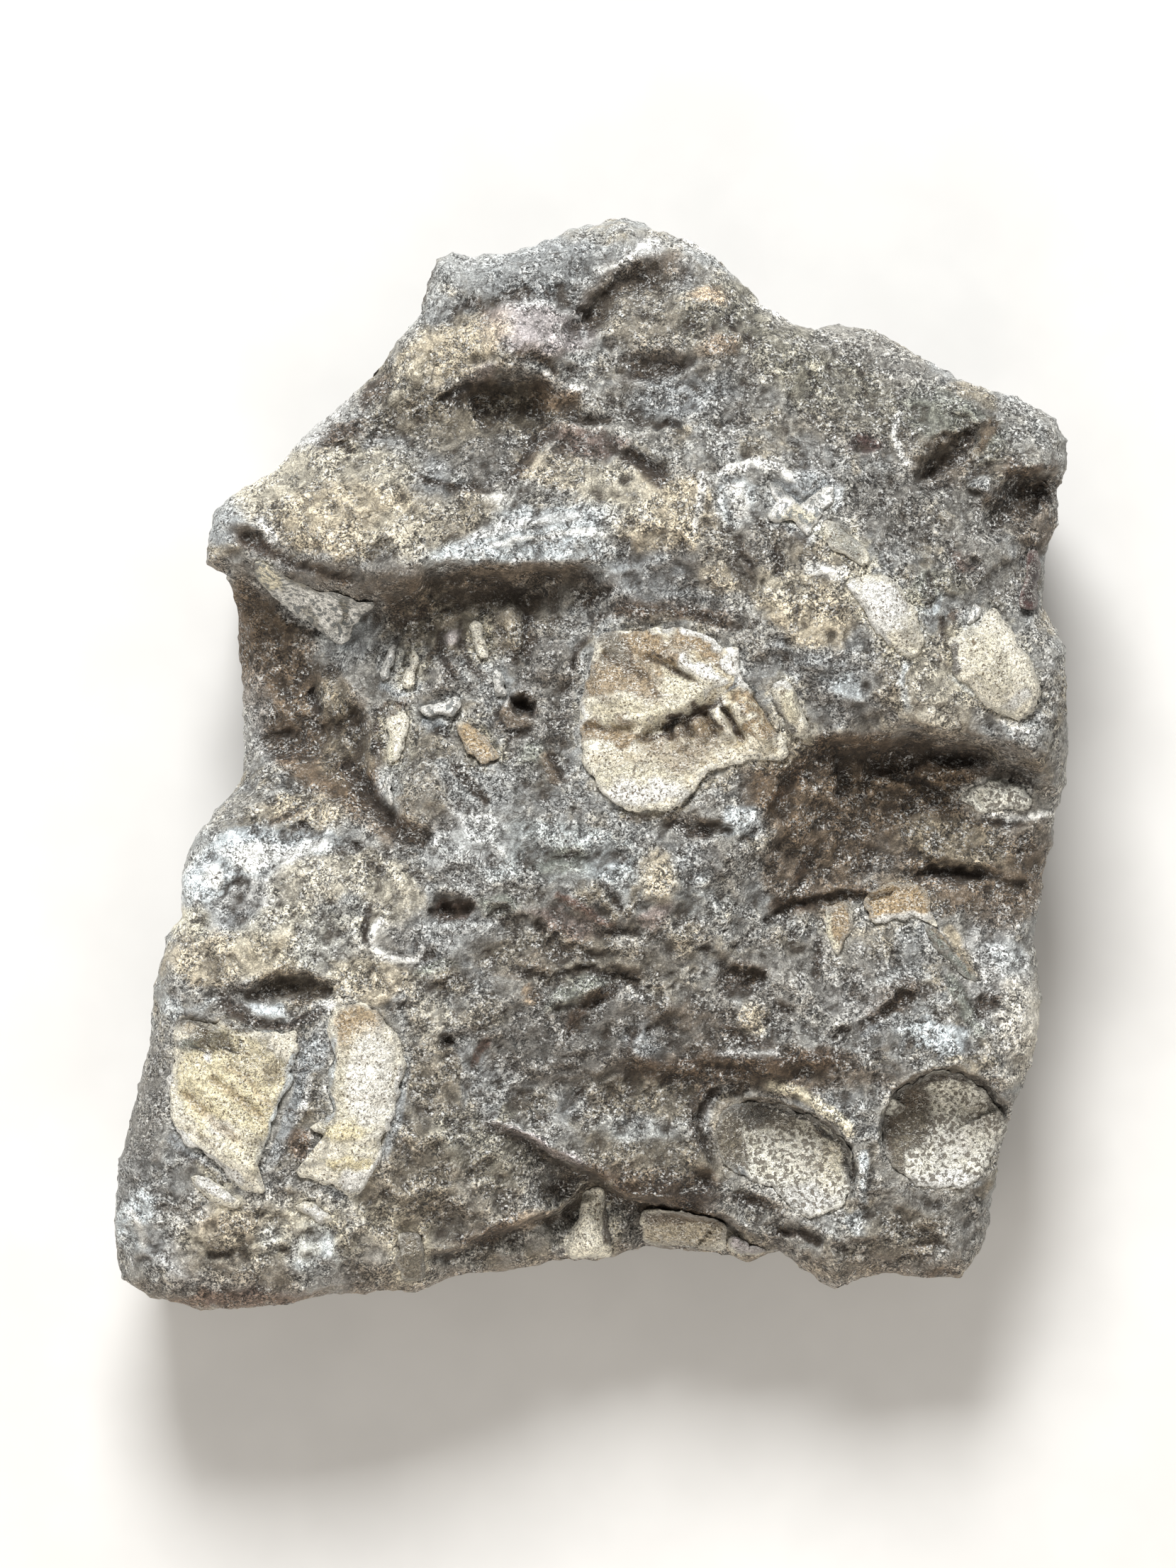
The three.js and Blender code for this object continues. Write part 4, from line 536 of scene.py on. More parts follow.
def scoops(x, y, kind):  # shallow hollows with sharp edges between them, as on a broken face
    i, j = np.floor(x), np.floor(y)
    low = np.full(x.shape, 9.0)
    for a in (-1, 0, 1):
        for b in (-1, 0, 1):
            p, q = i + a, j + b
            dx = x - p - randomAt(p, q, kind)
            dy = y - q - randomAt(p, q, kind + 1)
            tilt = (randomAt(p, q, kind + 3) - 0.5) * dx + (randomAt(p, q, kind + 4) - 0.5) * dy
            deep = (randomAt(p, q, kind + 2) - 0.5) * 0.7
            low = np.minimum(low, deep + 1.2 * (dx * dx + dy * dy + tilt))
    return low


def broadForm(x, y):
    total, weight = np.zeros(x.shape), np.zeros(x.shape)
    for px, py, pz in spots:
        d2 = (x - px) ** 2 + (y - py) ** 2
        k = np.exp(-d2 / 35) + 1e-4 / (1 + d2)
        total += k * pz
        weight += k
    return total / weight


def ledgeStep(x, y, ledge):
    d, at = nearestOn(x, y, ledge["lip"])
    if ledge["drop"] < 0:
        d = -d
    face, reach, fade = ledge.get("face", 0.6), ledge.get("reach", 4), ledge.get("fade", 0.2)
    under = ease(0, face, -d) * (1 - ease(face, reach, -d))
    over = np.where(d > 0, np.exp(-np.maximum(d, 0) / (reach * 0.35)), 1 - ease(0, face, -d))
    return ease(0, fade, at) * ease(1, 1 - fade, at) * abs(ledge["drop"]) * (0.4 * over - 0.6 * under)


def ellipseAt(x, y, cx, cy, rx, ry, turn):  # squared distance from the middle, 1 on the ellipse
    a = math.radians(turn)
    dx, dy = x - cx, y - cy
    return (((dx * math.cos(a) + dy * math.sin(a)) / rx) ** 2
            + ((dy * math.cos(a) - dx * math.sin(a)) / ry) ** 2)


def wavered(x, y):
    return x + 1.1 * valueNoise(x / 4, y / 4, 31), y + 1.1 * valueNoise(x / 4, y / 4, 37)


def faceHeight(x, y):
    z = broadForm(x, y)
    wx, wy = wavered(x, y)
    for ledge in ledges:
        z = z + (ledgeStep(x, y, ledge) if ledge.get("carved") else ledgeStep(wx, wy, ledge))
    for cx, cy, rx, ry, turn, rise in lumps:
        z = z + rise * clamp(1 - ellipseAt(wx, wy, cx, cy, rx, ry, turn) / 1.6) ** 1.6
    return z


def rimFall(x, y):
    d, _ = nearestOn(x, y, rimOutline + rimOutline[:1])
    e = clamp(np.abs(d) / rimRound["width"])
    return rimRound["fall"] * (1 - np.sqrt(1 - (1 - e) ** 2))


def ridgeRise(x, y):
    z = np.zeros(x.shape)
    for line, half, rise in ridges:
        d, at = nearestOn(x, y, line)
        z += rise * np.exp(-(d / half) ** 2) * ease(-0.01, 0.1, at) * ease(1.01, 0.9, at)
    return z


def roundedOutline(outline, perSide):  # a smooth closed curve through the corners
    ring = np.array(outline)
    result = []
    for i in range(len(ring)):
        p0, p1, p2, p3 = (ring[(i + k) % len(ring)] for k in (-1, 0, 1, 2))
        for n in range(perSide):
            t = n / perSide
            result.append(0.5 * (2 * p1 + (p2 - p0) * t + (2 * p0 - 5 * p1 + 4 * p2 - p3) * t ** 2
                                 + (3 * p1 - p0 - 3 * p2 + p3) * t ** 3))
    return np.array(result)


def roundShell(x, y, shell, reach):  # the points near a shell, its smooth outline and how far off it they are
    ring = np.array(shell["outline"])
    near = ((x > ring[:, 0].min() - reach) & (x < ring[:, 0].max() + reach)
            & (y > ring[:, 1].min() - reach) & (y < ring[:, 1].max() + reach))
    curve = [tuple(p) for p in roundedOutline(shell["outline"], 3)]
    return near, curve, np.abs(nearestOn(x[near], y[near], curve + curve[:1])[0])


def evenlySpaced(ring, count):  # the closed curve again, with that many points at equal steps
    closed = np.vstack([ring, ring[:1]])
    run = np.concatenate([[0], np.cumsum(np.hypot(*np.diff(closed, axis=0).T))])
    at = np.arange(count) / count * run[-1]
    return np.stack([np.interp(at, run, closed[:, 0]), np.interp(at, run, closed[:, 1])], 1), run[-1]


rimOutline = [p for stretch in margin for p in stretch[:-1]]
rimRound = {"width": 5, "fall": 6}  # how the face rounds over to the sides, mm

# colours painted on: patches are x, y, half length, half width, turn, tone, amount

tones = {
  "grey": (0.51, 0.50, 0.475), "blueGrey": (0.52, 0.535, 0.54), "paleGrey": (0.70, 0.70, 0.69),
  "darkGrey": (0.38, 0.37, 0.35), "greyBrown": (0.46, 0.43, 0.37), "brown": (0.37, 0.32, 0.26),
  "darkBrown": (0.28, 0.22, 0.165), "dark": (0.20, 0.155, 0.115), "black": (0.05, 0.04, 0.035),
  "tan": (0.70, 0.655, 0.565), "paleTan": (0.68, 0.655, 0.59), "greyTan": (0.51, 0.48, 0.42),
  "cream": (0.89, 0.86, 0.76), "peach": (0.70, 0.62, 0.52), "white": (0.95, 0.945, 0.92),
  "calcite": (0.78, 0.81, 0.82), "pinkWhite": (0.68, 0.65, 0.65), "pink": (0.66, 0.54, 0.55),
  "pinkBrown": (0.60, 0.47, 0.43), "redBrown": (0.38, 0.28, 0.24), "darkRed": (0.28, 0.13, 0.12),
  "orange": (0.58, 0.47, 0.36), "greenGrey": (0.45, 0.465, 0.43), "greenTan": (0.49, 0.475, 0.42),
  "shellBrown": (0.61, 0.53, 0.41), "paleCream": (0.76, 0.74, 0.69), "rust": (0.44, 0.33, 0.22),
  "paleYellow": (0.88, 0.835, 0.69), "ochre": (0.665, 0.575, 0.435), "olive": (0.38, 0.355, 0.29),
  "wallBrown": (0.385, 0.325, 0.255), "paleBlue": (0.64, 0.665, 0.665),
}

blockPatches = [
  # broad tones first
  # wallBrown over the left recess and the right hollow: brown stain, with painted shade where these faces
  # turn from the light
  (-37, 12, 9, 4.4, -75, "wallBrown", 1), (-31, 3, 10, 5, -50, "wallBrown", 0.95),
  (-24, -5, 5, 3, -40, "wallBrown", 0.7), (-14, 16, 9, 4, 0, "greyBrown", 0.8),
  (-6, 8, 5, 8, 0, "darkGrey", 0.6), (32, -4, 15, 7, -8, "wallBrown", 1),
  (42, -12, 10, 5, -5, "wallBrown", 0.85), (25, -12, 6, 5, -30, "wallBrown", 0.8),
  (4, -32, 17, 6, -6, "darkGrey", 0.8), (8, -42, 9, 7, -10, "greyBrown", 0.8),
  # (7, -48.6) is painted shadow on the face of the bottom ledge
  (20, -34.6, 16, 2.4, -3, "brown", 0.8), (7, -48.6, 10, 1.8, -4, "dark", 0.95),
  (-2, -22, 12, 3, -4, "greyBrown", 0.75), (-6, -10, 14, 3.6, -4, "paleBlue", 0.7),
  (8, -14, 8, 3, -8, "paleBlue", 0.5), (-38, -14, 11, 5, 10, "paleGrey", 0.7),
  (-28, -18, 8, 4, 0, "paleGrey", 0.6), (-36, -54, 15, 5.6, 0, "paleGrey", 1),
  (-51, -50, 3, 7, 15, "blueGrey", 0.6), (-16, -50, 9, 6, 10, "greyTan", 0.6),
  (-12, 40, 10, 3, 0, "greyBrown", 0.7), (28, 46, 12, 5, -20, "grey", 0.6),
  (40, 36, 8, 4, -20, "greyBrown", 0.7), (46, -24, 4, 8, 10, "paleGrey", 0.6),
  (24, -24, 9, 5, 10, "grey", 0.6), (38, -53, 9, 5, 0, "grey", 0.6), (0, 55, 12, 4, 0, "blueGrey", 0.6),
  (22, 22, 12, 5, -20, "greyTan", 0.6),
  # narrow end
  # painted shade: (-18.7, 54.5) is a facet in shadow, (-11.5, 51.4) the shadow line under the hump, (6, 54.7)
  # the shaded north wall of the hollow
  (-9, 56.5, 9.5, 4, 5, "blueGrey", 0.6), (-18.7, 54.5, 0.9, 3, -8, "dark", 0.75),
  (-5, 53, 1.6, 1.4, 0, "blueGrey", 0.95), (-11.5, 51.4, 2.2, 0.6, -15, "darkBrown", 0.85),
  (0.5, 51, 1.8, 3.6, -30, "darkBrown", 0.9), (6, 54.7, 4.6, 2.3, 20, "brown", 0.85),
  (6.6, 58, 1.6, 1.3, 0, "paleGrey", 0.7), (9.4, 57.6, 1.6, 1, 30, "brown", 0.6),
  # (-6, 48.7) is the hump's pink-white colour, with painted light where it catches the light
  (-6, 48.7, 6.2, 3, -8, "pinkWhite", 0.85), (-11, 49, 1.4, 1.8, 0, "pink", 0.55),
  (-12.2, 44, 1.9, 1.3, 0, "pinkWhite", 0.5), (-16, 46.6, 7.4, 3.2, 24, "tan", 0.85),
  (-21, 42.6, 3.6, 2.8, 45, "paleTan", 0.7), (-31, 38.6, 6, 1.5, 42, "paleGrey", 0.75),
  (-24, 42.4, 1.1, 2.6, -40, "darkBrown", 0.8), (-28, 37, 3.8, 1.6, 25, "darkBrown", 0.8),
  (-20, 39.4, 5, 2.4, 10, "greyBrown", 0.8), (-12.8, 41.6, 3.6, 1.4, 12, "dark", 0.85),
  (-8, 39.6, 7, 3, 5, "greyBrown", 0.85), (-4, 41.4, 3, 1.6, -20, "rust", 0.5),
  (-15.5, 37, 5, 2.6, -10, "greyBrown", 0.6), (-11.2, 34, 4.2, 3.3, -5, "darkGrey", 0.8),
  (-18, 32.8, 3, 1.7, -20, "blueGrey", 0.6), (-17.4, 29.4, 2.8, 2.2, 0, "blueGrey", 0.85),
  (-17.6, 29.8, 1.3, 1.2, 0, "darkGrey", 0.6), (-31, 31.6, 11, 4.4, 8, "paleTan", 0.9),
  (-27, 27.4, 9.5, 4.2, 0, "tan", 0.9), (-20.5, 25.4, 5, 2.6, 0, "paleTan", 0.75),
  (-12.6, 28.6, 2.6, 2, 0, "tan", 0.7), (-4, 33, 4.2, 2.6, -10, "tan", 0.65),
  (-10, 29.8, 1.8, 1.1, 0, "white", 0.5), (0, 36.2, 4.2, 1.7, -10, "redBrown", 0.65),
  (6, 50.6, 6, 4, 0, "greyTan", 0.7), (9.5, 48.4, 7, 3, 0, "greyTan", 0.6),
  (15, 50.4, 5, 4.6, 0, "greenTan", 0.7), (13, 52.7, 1.9, 1, 5, "peach", 0.9),
  (14.6, 47.2, 2.6, 1.3, 15, "orange", 0.55), (6.8, 44.7, 3.6, 1.8, 12, "dark", 0.85),
  (10.5, 41.2, 6.4, 2.8, 8, "blueGrey", 0.75), (16, 39.4, 3, 2.4, 0, "darkGrey", 0.5),
  (22, 46.4, 5, 3.6, -20, "greenTan", 0.7), (25, 47, 1.5, 1.2, 0, "darkGrey", 0.6),
  (27.4, 42, 8.4, 4, -22, "greenTan", 0.7), (26, 38, 5, 1.8, 0, "greyTan", 0.6),
  (41, 38.4, 6.4, 3.4, -25, "greenGrey", 0.7), (30.8, 36, 1.9, 1, -5, "darkRed", 0.95),
  # (39.4, 31.8) is a painted shadow below the dark-grey dome
  (40.4, 35, 4, 2.2, 25, "brown", 0.85), (39.4, 31.8, 2.6, 0.9, 8, "dark", 0.75),
  (44.8, 37.2, 0.8, 2.2, -15, "brown", 0.9), (49.6, 33.6, 3.6, 0.9, 5, "darkBrown", 0.75),
  (48.8, 30.2, 4.6, 2.1, 10, "dark", 0.85), (49.8, 26.8, 3.2, 3, 0, "brown", 0.7),
  (44, 31.4, 1.4, 1.2, 0, "blueGrey", 0.8), (8, 28.4, 6.8, 4.6, 0, "tan", 0.8),
  (2.4, 31, 5, 3, -20, "paleTan", 0.85), (16.4, 29.4, 2.6, 3, 10, "calcite", 0.55),
  (24, 31, 3.2, 2.4, 0, "blueGrey", 0.85), (33.4, 28, 5, 4, -30, "darkGrey", 0.45),
  # round the shells of the right shoulder
  (7, 20.6, 8, 3, -8, "blueGrey", 0.7), (14.6, 20.8, 2.4, 1.3, -20, "tan", 0.65),
  # (9, 17) is a painted shadow band above the middle shield
  (18.6, 23.6, 3, 2.4, -60, "darkGrey", 0.85), (9, 17, 8, 1.1, -6, "darkBrown", 0.65),
  (24, 17, 5.6, 3.8, -25, "tan", 0.85), (22, 19.8, 4, 1.6, -20, "paleTan", 0.8),
  (25.6, 24, 2.8, 1.6, 0, "greyTan", 0.7), (24, 11.4, 5, 2.4, -20, "blueGrey", 0.75),
  (28.6, 8.6, 3.4, 4, 0, "blueGrey", 0.6), (28.6, 9, 1.4, 1.6, 0, "calcite", 0.5),
  (38.4, 7.4, 5, 4, -30, "paleTan", 0.75), (41, 13.6, 3, 3, 0, "greyTan", 0.6),
  (38, 19.6, 2.4, 2.2, 0, "greenGrey", 0.65), (40.6, 20.3, 2, 1.5, 0, "greenTan", 0.7),
  (34, 10.6, 3, 3, 0, "greyTan", 0.55), (42, 23, 2, 0.8, -20, "redBrown", 0.8),
  (44, 21.4, 2.6, 1.6, -40, "darkGrey", 0.6),
  # lip and roof of the left ledge
  (-41.2, 27.4, 2.8, 3, 0, "blueGrey", 0.85), (-37.6, 24.7, 2, 1, -25, "darkBrown", 0.95),
  (-23, 21.2, 3, 1.8, 0, "darkGrey", 0.85), (-22.6, 20.2, 2, 0.8, 0, "calcite", 0.5),
  # (-20.6, 18.6) is a painted shadow below the boss, (-9, 21.4) painted shadow under the ledge lip
  (-20.6, 18.6, 2.6, 2.2, 40, "darkBrown", 0.85), (-4.4, 26.8, 7.4, 2.6, 3, "calcite", 0.65),
  (-14.6, 27.4, 4, 2.4, 0, "greyTan", 0.7), (-9, 21.4, 11, 1.5, 0, "brown", 0.75),
  (2, 22.6, 2.4, 1.4, 20, "calcite", 0.5),
  # recess
  # the brown of the recess: stain, with painted shade under the ledge
  (-35.4, 15, 5, 5, -20, "brown", 0.85), (-31, 5, 6, 6, -20, "brown", 0.75),
  (-38, 4, 1.8, 6, 0, "paleGrey", 0.4), (-29, 7.4, 2.5, 2.4, 0, "greyBrown", 0.9),
  (-34.6, 2.4, 2.6, 2, 20, "darkBrown", 0.75), (-26, 14.6, 2.4, 2.8, -30, "blueGrey", 0.7),
  # (-15, 20) is painted shadow under the ledge lip
  (-27, 1.4, 3, 3.4, -20, "greyBrown", 0.7), (-15, 20, 6, 1.4, 0, "brown", 0.7),
  (-17.6, 17, 3, 2.6, 0, "greyBrown", 0.6), (-17, 9.6, 2.4, 1.8, 30, "darkGrey", 0.7),
  (-4.6, 11.8, 2.5, 2.8, 0, "darkGrey", 0.75), (-8.4, 5.6, 1.8, 2.3, -35, "brown", 0.85),
  (-7.3, 6.9, 1.7, 0.75, -50, "dark", 1), (-7, 0.8, 1.7, 1.4, 0, "greenGrey", 0.7),
  (-3.4, 3.4, 2, 1.2, 0, "darkGrey", 0.6), (-17.6, 4, 1.2, 1.2, 0, "darkBrown", 0.8),
  (-17.4, 1.6, 3, 1.6, 0, "greyBrown", 0.7), (-4, 18.4, 3, 3, 0, "greyBrown", 0.45),
  # left mound
  (-19.4, -3.6, 3.6, 3.8, 0, "greyBrown", 0.55), (-32.6, -5.4, 4.6, 1.7, -10, "tan", 0.8),
  (-38.6, -10, 4.6, 2.8, 20, "calcite", 0.95), (-37.6, -10.4, 3.8, 1.5, 10, "white", 0.8),
  (-43, -13, 3.4, 2.4, 40, "calcite", 0.9), (-42.4, -12.6, 0.9, 1.2, 0, "white", 0.9),
  (-31.4, -8.7, 3.4, 1, 12, "calcite", 0.9), (-27, -14, 8.4, 4.4, -5, "paleTan", 0.85),
  (-34, -18.6, 6, 2.6, 10, "paleTan", 0.65), (-45, -18, 2.6, 1.5, 0, "cream", 0.6),
  (-43, -22, 5, 3, 0, "tan", 0.75), (-35.6, -21, 3, 3.2, 0, "tan", 0.7), (-24, -24.4, 5, 2.4, 0, "tan", 0.7),
  (-18, -28.4, 3, 3, 10, "paleTan", 0.6), (-39.4, -17.6, 5, 1.4, -10, "blueGrey", 0.6),
  (-30, -19.2, 3.8, 2.8, 50, "blueGrey", 0.75), (-28, -16, 3, 1.3, 0, "blueGrey", 0.7),
  (-21.8, -19.4, 1.6, 1, 0, "darkGrey", 0.6), (-15.6, -16.2, 2.2, 1.1, 15, "redBrown", 0.95),
  # middle
  (-14, -8.6, 5, 4, 0, "paleGrey", 0.55), (-10.4, -15.8, 2.4, 1.2, -10, "greenGrey", 0.85),
  (-17.4, -23.2, 2.6, 0.9, 5, "greenGrey", 0.85), (-15.6, -24.5, 2, 1.3, 0, "greyBrown", 0.8),
  (-3.2, -11, 3.6, 1.2, 5, "greenGrey", 0.85), (-7, -12.6, 1.5, 1, -50, "darkGrey", 0.8),
  (-3, -17.8, 4.4, 1.6, -15, "redBrown", 0.6), (-4, -21.6, 3.6, 0.7, 0, "brown", 0.6),
  (-7.4, -23.4, 2.8, 0.8, 5, "brown", 0.7), (8, -12.4, 2.2, 3.2, 5, "tan", 0.85),
  (2.6, -23.4, 3.8, 0.7, -3, "dark", 0.85), (7.6, -17, 2.4, 1.2, 25, "pinkBrown", 0.4),
  (1.4, -10.8, 2.6, 2.4, 0, "calcite", 0.45), (17, -6.4, 2.1, 1.6, 0, "calcite", 0.8),
  (12.6, -11, 2.8, 2.2, 0, "blueGrey", 0.7), (-1.4, -25.6, 4, 1.5, 25, "greenGrey", 0.9),
  (-6.8, -25.8, 0.9, 1, 0, "peach", 0.95), (17.2, -24.2, 2.6, 1.8, 15, "darkBrown", 0.9),
  (18.4, -28.4, 1.7, 1.6, 0, "tan", 0.75), (6.2, -31.4, 2, 1.8, 10, "blueGrey", 0.9),
  (11, -28.2, 5, 1.4, -8, "brown", 0.75), (13, -31.4, 4, 1.2, 10, "brown", 0.5),
  # hollow at the right: brown stain, with painted shade on the slope turned from the light and under the
  # cliff lip
  (27, 1.4, 5, 2, 15, "dark", 0.75), (34, 0.6, 5, 2.6, 0, "dark", 0.8), (41, 1.2, 4.6, 1.4, -8, "dark", 0.7),
  (31, -4.4, 8.4, 4.4, -5, "brown", 0.85), (44.6, -1, 2, 1, 0, "darkBrown", 0.75),
  (27.6, -9.6, 5, 3.4, -20, "brown", 0.75), (41.4, -9, 6.4, 2.8, -12, "greyBrown", 0.85),
  (41.6, -12.4, 4.6, 0.8, 0, "dark", 0.85), (46.6, -15.4, 4.4, 3.4, 0, "brown", 0.75),
  (33.6, -10.4, 2.2, 2.4, 0, "darkGrey", 0.5), (21.2, -1.6, 1, 2.6, -15, "brown", 0.85),
  (50, -9, 3, 4, 0, "brown", 0.6),
  # lower step at the right
  (35, -26.4, 4.4, 1.8, 20, "darkBrown", 0.6), (44.6, -27, 1.7, 1.2, 30, "darkBrown", 0.85),
  (39, -30.8, 4.4, 1.8, -6, "calcite", 0.95), (31.6, -30.2, 2, 1.4, -20, "blueGrey", 0.9),
  (33, -30.8, 2, 1, 0, "darkGrey", 0.7), (48.6, -29.4, 2.8, 6, 0, "paleCream", 0.75),
  (47.4, -21.6, 3, 2, 0, "calcite", 0.4), (25, -32.7, 5.4, 0.9, 5, "brown", 0.7),
  (22, -19.6, 2.4, 1.6, -20, "greyBrown", 0.55), (29.4, -27, 3.4, 3, 0, "paleGrey", 0.35),
  # lower left, round the paired shells
  (-33.4, -25, 4.2, 1.7, -8, "brown", 0.9), (-36.4, -27.6, 2.7, 1, -18, "calcite", 0.95),
  (-29.8, -26.6, 1.6, 0.9, 10, "white", 0.9), (-39.8, -26.8, 1.7, 0.9, -10, "dark", 0.9),
  (-47.4, -27.4, 1.6, 1.8, 0, "calcite", 0.55), (-44, -27.3, 3, 0.8, 12, "calcite", 0.5),
  (-30.7, -33, 1.4, 2.2, 5, "blueGrey", 0.95), (-33, -43, 1.8, 2.2, 0, "rust", 0.65),
  (-50.6, -40, 2.6, 10, -8, "darkGrey", 0.6), (-36, -54.4, 11, 4.8, 0, "greyTan", 0.85),
  (-41, -51.6, 4, 2.4, 0, "orange", 0.3), (-21, -47, 5.4, 7, -20, "greyTan", 0.8),
  (-17.6, -35.6, 3.4, 5, 20, "greyTan", 0.8), (-12, -43.4, 6, 3.4, -25, "greenTan", 0.7),
  (-31, -55.4, 2.8, 3.4, 20, "calcite", 0.65), (-51.4, -51.6, 1.5, 3.6, -15, "calcite", 0.75),
  (-36, -53.4, 1.4, 1.2, 0, "calcite", 0.6), (-40, -60.6, 9, 1.3, 0, "redBrown", 0.7),
  (-26.4, -58, 2.2, 1.8, 0, "darkGrey", 0.7), (-11.4, -53, 4, 1.1, 12, "darkBrown", 0.9),
  (-7.4, -51.3, 2.6, 1.1, 15, "peach", 0.55), (-2.6, -54.8, 1, 1.8, 0, "paleGrey", 0.8),
  (-12.4, -28, 3, 1.6, 20, "greyBrown", 0.7), (-9.6, -39.6, 1.9, 0.7, 10, "greenTan", 0.8),
  (-22, -53, 3, 1, 0, "brown", 0.5), (-23, -56.6, 4, 2.4, 0, "greyTan", 0.6),
  # round the two cups and the bottom slope
  (6, -41, 5.4, 1.4, 0, "calcite", 0.4), (13, -47, 1.7, 1, 0, "darkBrown", 0.75),
  (6, -46.4, 5, 0.8, -4, "brown", 0.65), (15.2, -40.4, 1.8, 4.2, -12, "greyBrown", 0.8),
  (4.2, -52.4, 1.4, 3.6, 0, "darkGrey", 0.8), (30.6, -51.8, 1.9, 1.3, 0, "calcite", 0.5),
  (35.4, -53, 5, 3, 0, "greyBrown", 0.6), (47.6, -34, 1.4, 3, -20, "paleCream", 0.5),
  # (10, -50.6) is painted shadow under the bottom ledge
  (10, -50.6, 6, 0.9, -6, "dark", 0.8), (27, -57, 3, 2, 0, "greyTan", 0.5),
  (20, -34.2, 6, 0.8, 0, "brown", 0.6), (4, -37, 5, 2, -10, "greyBrown", 0.45),
  # and a last wash
  (4, 50, 15, 6, -20, "darkGrey", 0.3), (36, 32, 13, 7, -30, "darkGrey", 0.35),
  (6, -28, 18, 7, -8, "darkGrey", 0.25), (-34, -52, 14, 3.6, 0, "cream", 0.25),
  (-32, -21, 9, 5, 0, "cream", 0.2),
]
